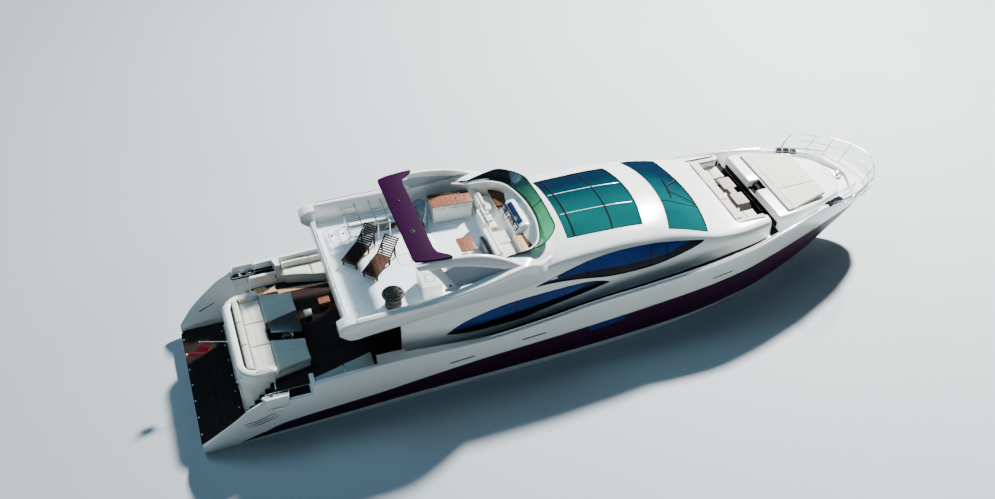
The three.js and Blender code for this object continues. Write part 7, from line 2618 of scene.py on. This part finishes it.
# Saloon: bulkhead with its fixed pane and sliding door, furniture and lower helm behind the glass
def build_saloon():
    wall, trim = Build(), Build()
    for sign in (1, -1):
        post = [(-6.058, sign * 1.902), (-5.942, sign * 1.902), (-5.942, sign * 2.478),
                (-6.058, sign * 2.478)][::sign]
        wall.prism(post, 1.932, 4.372, 0.012)
        ear = [(-6.056, sign * 2.47), (-5.944, sign * 2.47), (-5.944, sign * 2.595),
               (-6.056, sign * 2.595)][::sign]
        wall.prism(ear, 2.272, 4.148, 0.01)
        wall.prism(rounded_outline([(-6.064, sign * 2.02), (-6.05, sign * 2.02), (-6.05, sign * 2.40),
                                    (-6.064, sign * 2.40)][::sign], 0.004),
                   2.2, 3.9, 0.004)
    wall.box((-6.058, -1.92, 4.052), (-5.942, 1.92, 4.372), 0.012)
    wall.box((-6.058, -1.92, 1.932), (-5.942, 1.92, 1.998), 0.006)
    wall.piece("bulkhead_frame", GELCOAT, "gelcoat", replaces=["saloon_bulkhead"])
    for z in (4.046,):
        trim.box((-6.05, -1.895, z - 0.006), (-5.952, 1.895, z + 0.004), 0.003)
    for x in (-6.052, -6.01):
        trim.box((x - 0.003, -1.89, 1.998), (x + 0.003, 1.89, 2.0075), 0.001)
    trim.piece("saloon_door_track", STEEL, "stainless")

    screen, screen_edge = Build(), Build()
    screen.box((-5.999, 0.03, 2.03), (-5.977, 1.87, 4.02), 0.004)
    screen.piece("saloon_screen_glass", SIDE_GLASS, "side_glass", replaces=["saloon_screen"])
    loop = rounded_outline([(0.018, 2.016), (1.884, 2.016), (1.884, 4.034), (0.018, 4.034)], 0.03, 4)
    screen_edge.sweep([(-5.988, y, z) for y, z in loop],
                      [(-0.011, -0.014), (0.011, -0.014), (0.011, 0.014), (-0.011, 0.014)],
                      up=(1, 0, 0), closed=True)
    screen_edge.piece("saloon_screen_frame", STEEL, "stainless")

    glass, frame_bars, grip = Build(), Build(), Build()
    glass.box((-6.036, -1.86, 2.035), (-6.026, 0.015, 4.015), 0.003)
    glass.piece("saloon_door_glass", SIDE_GLASS, "side_glass", "saloon_door", ["saloon_door"])
    loop = [(-1.865, 2.029), (0.02, 2.029), (0.02, 4.021), (-1.865, 4.021)]
    frame_bars.sweep([(-6.031, y, z) for y, z in resample(loop, 0.2, closed=True)],
                     [(-0.0145, -0.0195), (0.0145, -0.0195), (0.0145, 0.0195), (-0.0145, 0.0195)],
                     up=(1, 0, 0), closed=True)
    for y in (-1.80, -0.14):
        frame_bars.box((-6.042, y, 2.001), (-6.022, y + 0.08, 2.018), 0.003)
    frame_bars.piece("saloon_door_frame", STEEL, "stainless", "saloon_door")
    grip.tube(rounded_path([(-6.045, -1.80, 2.95), (-6.052, -1.80, 2.95), (-6.052, -1.80, 3.25),
                            (-6.045, -1.80, 3.25)], 0.004), 0.006, 8)
    grip.piece("saloon_door_grip", BLACK, "black_plastic", "saloon_door")

    base = Build()
    base.prism(rounded_outline(rect(-4.58, 1.52, -1.62, 2.34), 0.04), 1.932, 2.28, 0.012)
    base.prism(rounded_outline(rect(-4.58, 2.30, -1.62, 2.39), 0.03), 1.95, 2.72, 0.012)
    base.piece("saloon_sofa_base", WOOD, "wood_warm", replaces=["saloon_sofa"])
    for k in range(3):
        x0 = -4.60 + k * 1.0
        cushion(f"saloon_sofa_seat_{k + 1}", rect(x0 + 0.01, 1.51, x0 + 0.99, 2.16), 2.27, 2.41, crown=0.03,
                steps=(24, 18, 6))
        cushion(f"saloon_sofa_back_{k + 1}", rect(x0 + 0.01, 2.17, x0 + 0.99, 2.31), 2.40, 2.78, crown=0.015,
                steps=(24, 8, 8))
    table, leg = Build(), Build()
    table.prism(rounded_outline(rect(-3.69, -0.19, -2.11, 0.79), 0.12, 6), 2.642, 2.679, 0.012)
    table.piece("saloon_table_top", TABLE_DARK, "wood_warm", replaces=["saloon_table"])
    leg.prism(rounded_outline(rect(-3.08, 0.22, -2.72, 0.38), 0.05, 5), 1.932, 2.644, 0.01)
    leg.prism(rounded_outline(rect(-3.10, 0.20, -2.70, 0.40), 0.05, 5), 1.932, 1.96, 0.006)
    leg.piece("saloon_table_leg", STEEL, "stainless")
    floor = Build()
    floor.prism([(-5.93, -2.48), (1.48, -2.48), (1.48, 2.48), (-5.93, 2.48)], 1.931, 1.936, 0.001)
    floor.piece("saloon_floor", WOOD, "wood_warm")

    helm, dials = Build(), Build()
    outline = rounded_outline([(3.66, 3.21), (3.37, 3.90), (3.37, 4.14), (3.90, 4.285), (4.48, 4.14),
                               (4.48, 3.21)],
                              [0, 0.05, 0.08, 0.1, 0.08, 0], 5)
    rows = []
    for y in np.linspace(-1.49, 1.49, 40):
        edge = (1.49 - abs(y)) / 0.12
        k = 1 if edge >= 1 else 0.88 + 0.12 * math.sqrt(max(0.0, 1 - (1 - edge) ** 2))
        rows.append([(3.93 + (x - 3.93) * k, y, 3.205 + (z - 3.205) * k) for x, z in outline])
    helm.grid(rows, ring=True, caps=True)
    helm.piece("lower_dash", BLACK, "black_plastic", replaces=["lower_helm"])
    lean = Vector((-0.26, 0, 0.96)).normalized()
    for y in (0.35, 0.60, 0.85):
        dials.lathe(Vector((3.62, y, 4.205)), [(0, 0), (0.08, 0), (0.085, 0.01), (0.07, 0.016), (0, 0.01)],
                    lean, 22)
    dials.piece("lower_dash_dials", STEEL, "stainless")


build_saloon()


# Flybridge stair and the rails aft
def build_fly_stair():
    foot, head = Vector((-8.5, 0, 1.965)), Vector((-6.302, 0, 4.598))
    stringers, treads = Build(), Build()
    for y in (1.945, 2.415):
        beam = [(foot.x, foot.z), (foot.x + 0.42, foot.z), (head.x, head.z - 0.42), (head.x, head.z),
                (head.x - 0.12, head.z)]
        stringers.wall(rounded_outline(beam, [0.02, 0.02, 0.02, 0.02, 0.02], 3), y, y + 0.06, 0.01)
    count = 11
    for i in range(count):
        share = (i + 1) / (count + 1)
        x, z = foot.x + (head.x - foot.x) * share, 1.96 + 2.64 * share
        treads.prism(rounded_outline(rect(x - 0.088, 1.915, x + 0.148, 2.505), 0.02, 3), z - 0.018, z + 0.018,
                     0.006)
        stringers.box((x - 0.03, 1.99, z - 0.05), (x + 0.10, 2.43, z - 0.017), 0.006)
    stringers.piece("fly_stair_stringers", GELCOAT, "gelcoat", replaces=["fly_stair"])
    treads.piece("fly_stair_treads", TEAK_BROWN, "teak_dark")

    rails = Build()
    y, aft, end = 1.84, -8.36, 2.60
    for z in (5.05, 5.45):
        rails.tube(rounded_path([(-6.35, y, z), (aft, y, z), (aft, end if z > 5.1 else y + 0.02, z)], 0.09),
                   0.0185 if z > 5.1 else 0.014, 12)
    for x, py in ((aft, y), (-7.3, y), (-6.35, y), (aft, end)):
        rails.tube([(x, py, z) for z in np.linspace(4.602, 5.45, 8)], 0.0185, 12)
        rails.lathe((x, py, 4.601), [(0, 0), (0.045, 0), (0.046, 0.006), (0.036, 0.014), (0.024, 0.03),
                                     (0, 0.03)], sides=18)
    for x in (-8.05, -7.68):
        rails.tube([(x, y, 5.05), (x, y, 5.45)], 0.010, 8)
    for x0, x1 in ((-8.42, -7.87), (-7.28, -6.80)):
        for x in (x0, x1):
            rails.tube(rounded_path([(x, 1.42, 4.62), (x, 1.42, 5.44), (x, 2.96, 5.44), (x, 2.96, 5.30)],
                                    0.09), 0.021, 10)
        for step in (1.62, 1.98, 2.34, 2.70):
            rails.tube([(x0, step, 5.44), (x1, step, 5.44)], 0.014, 8)
    rails.piece("fly_stair_rails", STEEL, "stainless", replaces=["fly_stair_rail"])

    aft_rail = Build()
    line = [(-9.61, 2.92, 4.97), (-9.61, 2.92, 5.16), (-9.61, -2.92, 5.16), (-9.61, -2.92, 4.97)]
    aft_rail.tube(rounded_path(line, 0.09), 0.018, 12)
    for py in np.linspace(-1.95, 1.95, 5):
        aft_rail.tube([(-9.61, py, 4.965), (-9.61, py, 5.16)], 0.012, 8)
        aft_rail.lathe((-9.61, py, 4.965), [(0, 0), (0.03, 0), (0.03, 0.005), (0.018, 0.014), (0, 0.014)],
                       sides=14)
    for sign in (1, -1):
        side = [(x, sign * 3.30, 5.545) for x in np.linspace(-9.3, -6.7, 16)]
        side = [(-9.36, sign * 3.30, 5.44)] + side + [(-6.62, sign * 3.30, 5.46)]
        aft_rail.tube(rounded_path(side, 0.05), 0.016, 10)
        for x in (-8.6, -7.9, -7.2):
            aft_rail.tube([(x, sign * 3.30, 5.44), (x, sign * 3.30, 5.545)], 0.010, 8)
    aft_rail.piece("fly_side_rails", STEEL, "stainless")


build_fly_stair()


# Running gear: shaft and strut, five-bladed propeller, rudder
SHAFT_Y, SHAFT_X, SHAFT_Z = 1.25, -12.5, -1.42
RUDDER_X, PROPELLER_BLADES = -13.75, 5
SHAFT_AXIS = Vector((3.6, 0, 0.82)).normalized()


def build_running_gear():
    for side, sign in (("port", 1), ("starboard", -1)):
        start = Vector((SHAFT_X, SHAFT_Y, SHAFT_Z))
        shaft, strut = Build(), Build()
        shaft.tube([start + SHAFT_AXIS * s for s in np.linspace(0.004, 3.66, 24)], 0.047, 20)
        shaft.lathe(start + SHAFT_AXIS * 0.20, [(0, -0.15), (0.06, -0.15), (0.085, -0.10), (0.09, 0.0),
                                                (0.085, 0.14), (0.055, 0.20), (0, 0.20)],
                    SHAFT_AXIS, 28)
        shaft.lathe(start + SHAFT_AXIS * 3.40, [(0, -0.10), (0.055, -0.10), (0.075, -0.04), (0.08, 0.1),
                                                (0, 0.1)], SHAFT_AXIS, 24)
        foil = [(-12.44, 0.0), (-12.38, 0.016), (-12.20, 0.026), (-12.05, 0.016), (-12.0, 0.0),
                (-12.05, -0.016), (-12.20, -0.026), (-12.38, -0.016)]
        rows = []
        for t in np.linspace(0, 1, 12):
            z, swell = -1.36 + 0.90 * t, 1 + 0.45 * abs(2 * t - 1) ** 3
            rows.append([(x, SHAFT_Y + y * swell, z) for x, y in foil])
        strut.grid(rows, ring=True, caps=True)
        rudder, stock = Build(), Build()
        rows = []
        for t in np.linspace(0, 1, 22):
            z = -1.848 + 0.856 * t
            nose, tail = 0.218 - 0.05 * (1 - t) ** 2, -0.378 + 0.08 * (1 - t) ** 2
            fat = (0.034 * (0.55 + 0.45 * math.sin(PI * min(1, t + 0.25) / 1.25))
                   * min(1.0, 0.25 + 6 * t, 0.25 + 6 * (1 - t)))
            ring = []
            for k in range(28):
                a = 2 * PI * k / 28
                along = 0.5 + 0.5 * math.cos(a)
                ring.append((RUDDER_X + tail + (nose - tail) * along,
                             SHAFT_Y + fat * math.sin(a) * (0.35 + 0.65 * along ** 0.6), z))
            rows.append(ring)
        rudder.grid(rows, ring=True, caps=True)
        stock.lathe((RUDDER_X, SHAFT_Y, -1.10), [(0, 0), (0.034, 0), (0.05, 0.06), (0.0545, 0.12),
                                               (0.0545, 0.199), (0, 0.199)], sides=28)
        hub, blades = Build(), Build()
        hub.lathe(start, [(0, -0.365), (0.03, -0.35), (0.058, -0.31), (0.078, -0.262), (0.084, -0.25),
                          (0.085, -0.03), (0.078, -0.002), (0, -0.002)],
                  SHAFT_AXIS, 32)
        basis = Matrix((SHAFT_AXIS, Vector((0, 1, 0)),
                        SHAFT_AXIS.cross(Vector((0, 1, 0))))).transposed().to_4x4()
        place = Matrix.Translation(start) @ basis
        for k in range(PROPELLER_BLADES):
            spin = (place @ Matrix.Rotation(2 * PI * k / PROPELLER_BLADES, 4, "X")
                    @ Matrix.Translation((-0.13, 0, 0)))
            rows = []
            for s in np.linspace(0, 1, 18):
                radius = 0.07 + 0.405 * s
                pitch = math.radians(58 - 27 * s)
                chord = 0.05 + 0.155 * math.sin(PI * min(0.999, 0.12 + 0.86 * s)) ** 0.7
                thick = 0.013 * (1 - s) + 0.003
                skew = 0.05 * s * s
                ring = []
                for j in range(18):
                    a = 2 * PI * j / 18
                    along = chord * math.cos(a) - skew
                    up = thick * math.sin(a) * (0.3 + 0.7 * abs(math.sin(a)))
                    camber = 0.02 * (1 - math.cos(a) ** 2)
                    x = along * math.sin(pitch) * 0.75 + (up + camber) * math.cos(pitch)
                    y = along * math.cos(pitch) - (up + camber) * math.sin(pitch)
                    ring.append(spin @ Vector((x, y, math.sqrt(max(radius**2 - y * y, 0.0)))))
                rows.append(ring)
            blades.grid(rows, ring=True, caps=True)
        rides = {"root": "root", "propeller": f"propeller_{side}", "rudder": f"rudder_{side}"}
        for shape, name, material, slot, body, nodes in (
                (shaft, "shaft_tube", STEEL, "stainless", "root", [f"shaft_{side}"]),
                (strut, "shaft_strut", BRONZE, "bronze", "root", []),
                (hub, "propeller_hub", BRONZE, "bronze", "propeller", [f"propeller_{side}"]),
                (blades, "propeller_blades", BRONZE, "bronze", "propeller", []),
                (rudder, "rudder_blade", BRONZE, "bronze", "rudder", [f"rudder_{side}"]),
                (stock, "rudder_stock", STEEL, "stainless", "rudder", [])):
            if sign < 0:
                shape.mirrored_only()
            shape.piece(f"{name}_{side}", material, slot, rides[body], nodes)
        bearing = Build()
        bearing.lathe((RUDDER_X, SHAFT_Y, -0.899), [(0, 0), (0.095, 0), (0.109, 0.012), (0.11, 0.10),
                                                  (0.14, 0.20), (0, 0.20)], sides=32)
        if sign < 0:
            bearing.mirrored_only()
        bearing.piece(f"rudder_bearing_{side}", BRONZE, "bronze")


build_running_gear()


# Topside details: window grid in the stripe, slots in the white band, rubbing strake, drains and anchor
def topside_patch(x0, x1, z0, z1, lift, thick=0.01, nx=24, nz=6, slope=0.0):
    b = Build()
    rows = []
    for x in np.linspace(x0, x1, nx):
        rise = slope * (x - x0)
        face = [(x, topside_y(x, z + rise) + lift, z + rise) for z in np.linspace(z0, z1, nz)]
        rows.append(face + [(px, y - thick, z) for px, y, z in face[::-1]])
    return b.grid(rows, ring=True, caps=True)


def build_topside_details():
    glass, dark, strake, steel = Build(), Build(), Build(), Build()
    for k in range(4):
        x0 = 0.10 + 0.42 * k
        pane = topside_patch(x0, x0 + 0.36, 1.45 + 0.04 * k, 1.73 + 0.04 * k, 0.004)
        glass.add(pane.vertices, pane.faces, 0)
    for x0, x1, z0, slope in ((-5.9, -4.9, 1.86, 0.05), (-2.9, -1.9, 2.12, 0.05), (5.6, 6.6, 2.74, 0.06)):
        cutout = topside_patch(x0, x1, z0, z0 + 0.075, 0.003, slope=slope)
        dark.add(cutout.vertices, cutout.faces, 0)
    for x in (-10.2, -8.0, -6.6, -3.6, 1.2, 4.0):
        z = HULL.at("sheer_z", x) - 0.55
        steel.lathe((x, topside_y(x, z) - 0.004, z),
                    [(0, 0), (0.035, 0), (0.036, 0.008), (0.024, 0.012), (0.018, 0.004), (0, 0.004)],
                    (0, 1, 0), 18)
    line = [(x, topside_y(x, STRIPE.at("high", x)) + 0.004,
             STRIPE.at("high", x)) for x in np.arange(-13.2, 14.3, 0.25)]
    strake.tube(line, 0.014, 8)
    glass.mirror().piece("hull_windows", SIDE_GLASS, "side_glass")
    dark.mirror().piece("hull_slots", RUBBER, "black_plastic")
    steel.mirror().piece("hull_drains", STEEL, "stainless")
    strake.mirror().piece("stripe_strake", GELCOAT, "gelcoat")

    anchor = Build()
    z = 2.95
    for sign in (1, -1):
        pocket = rounded_outline([(14.72, z - 0.16), (15.12, z - 0.12), (15.14, z + 0.16), (14.80, z + 0.14)],
                                 0.05, 4)
        loop = [(x, sign * (topside_y(x, zz) + 0.004), zz) for x, zz in resample(pocket, 0.04, closed=True)]
        anchor.tube(loop, 0.013, 8, closed=True)
    anchor.piece("anchor_pocket_rims", STEEL, "stainless")


build_topside_details()
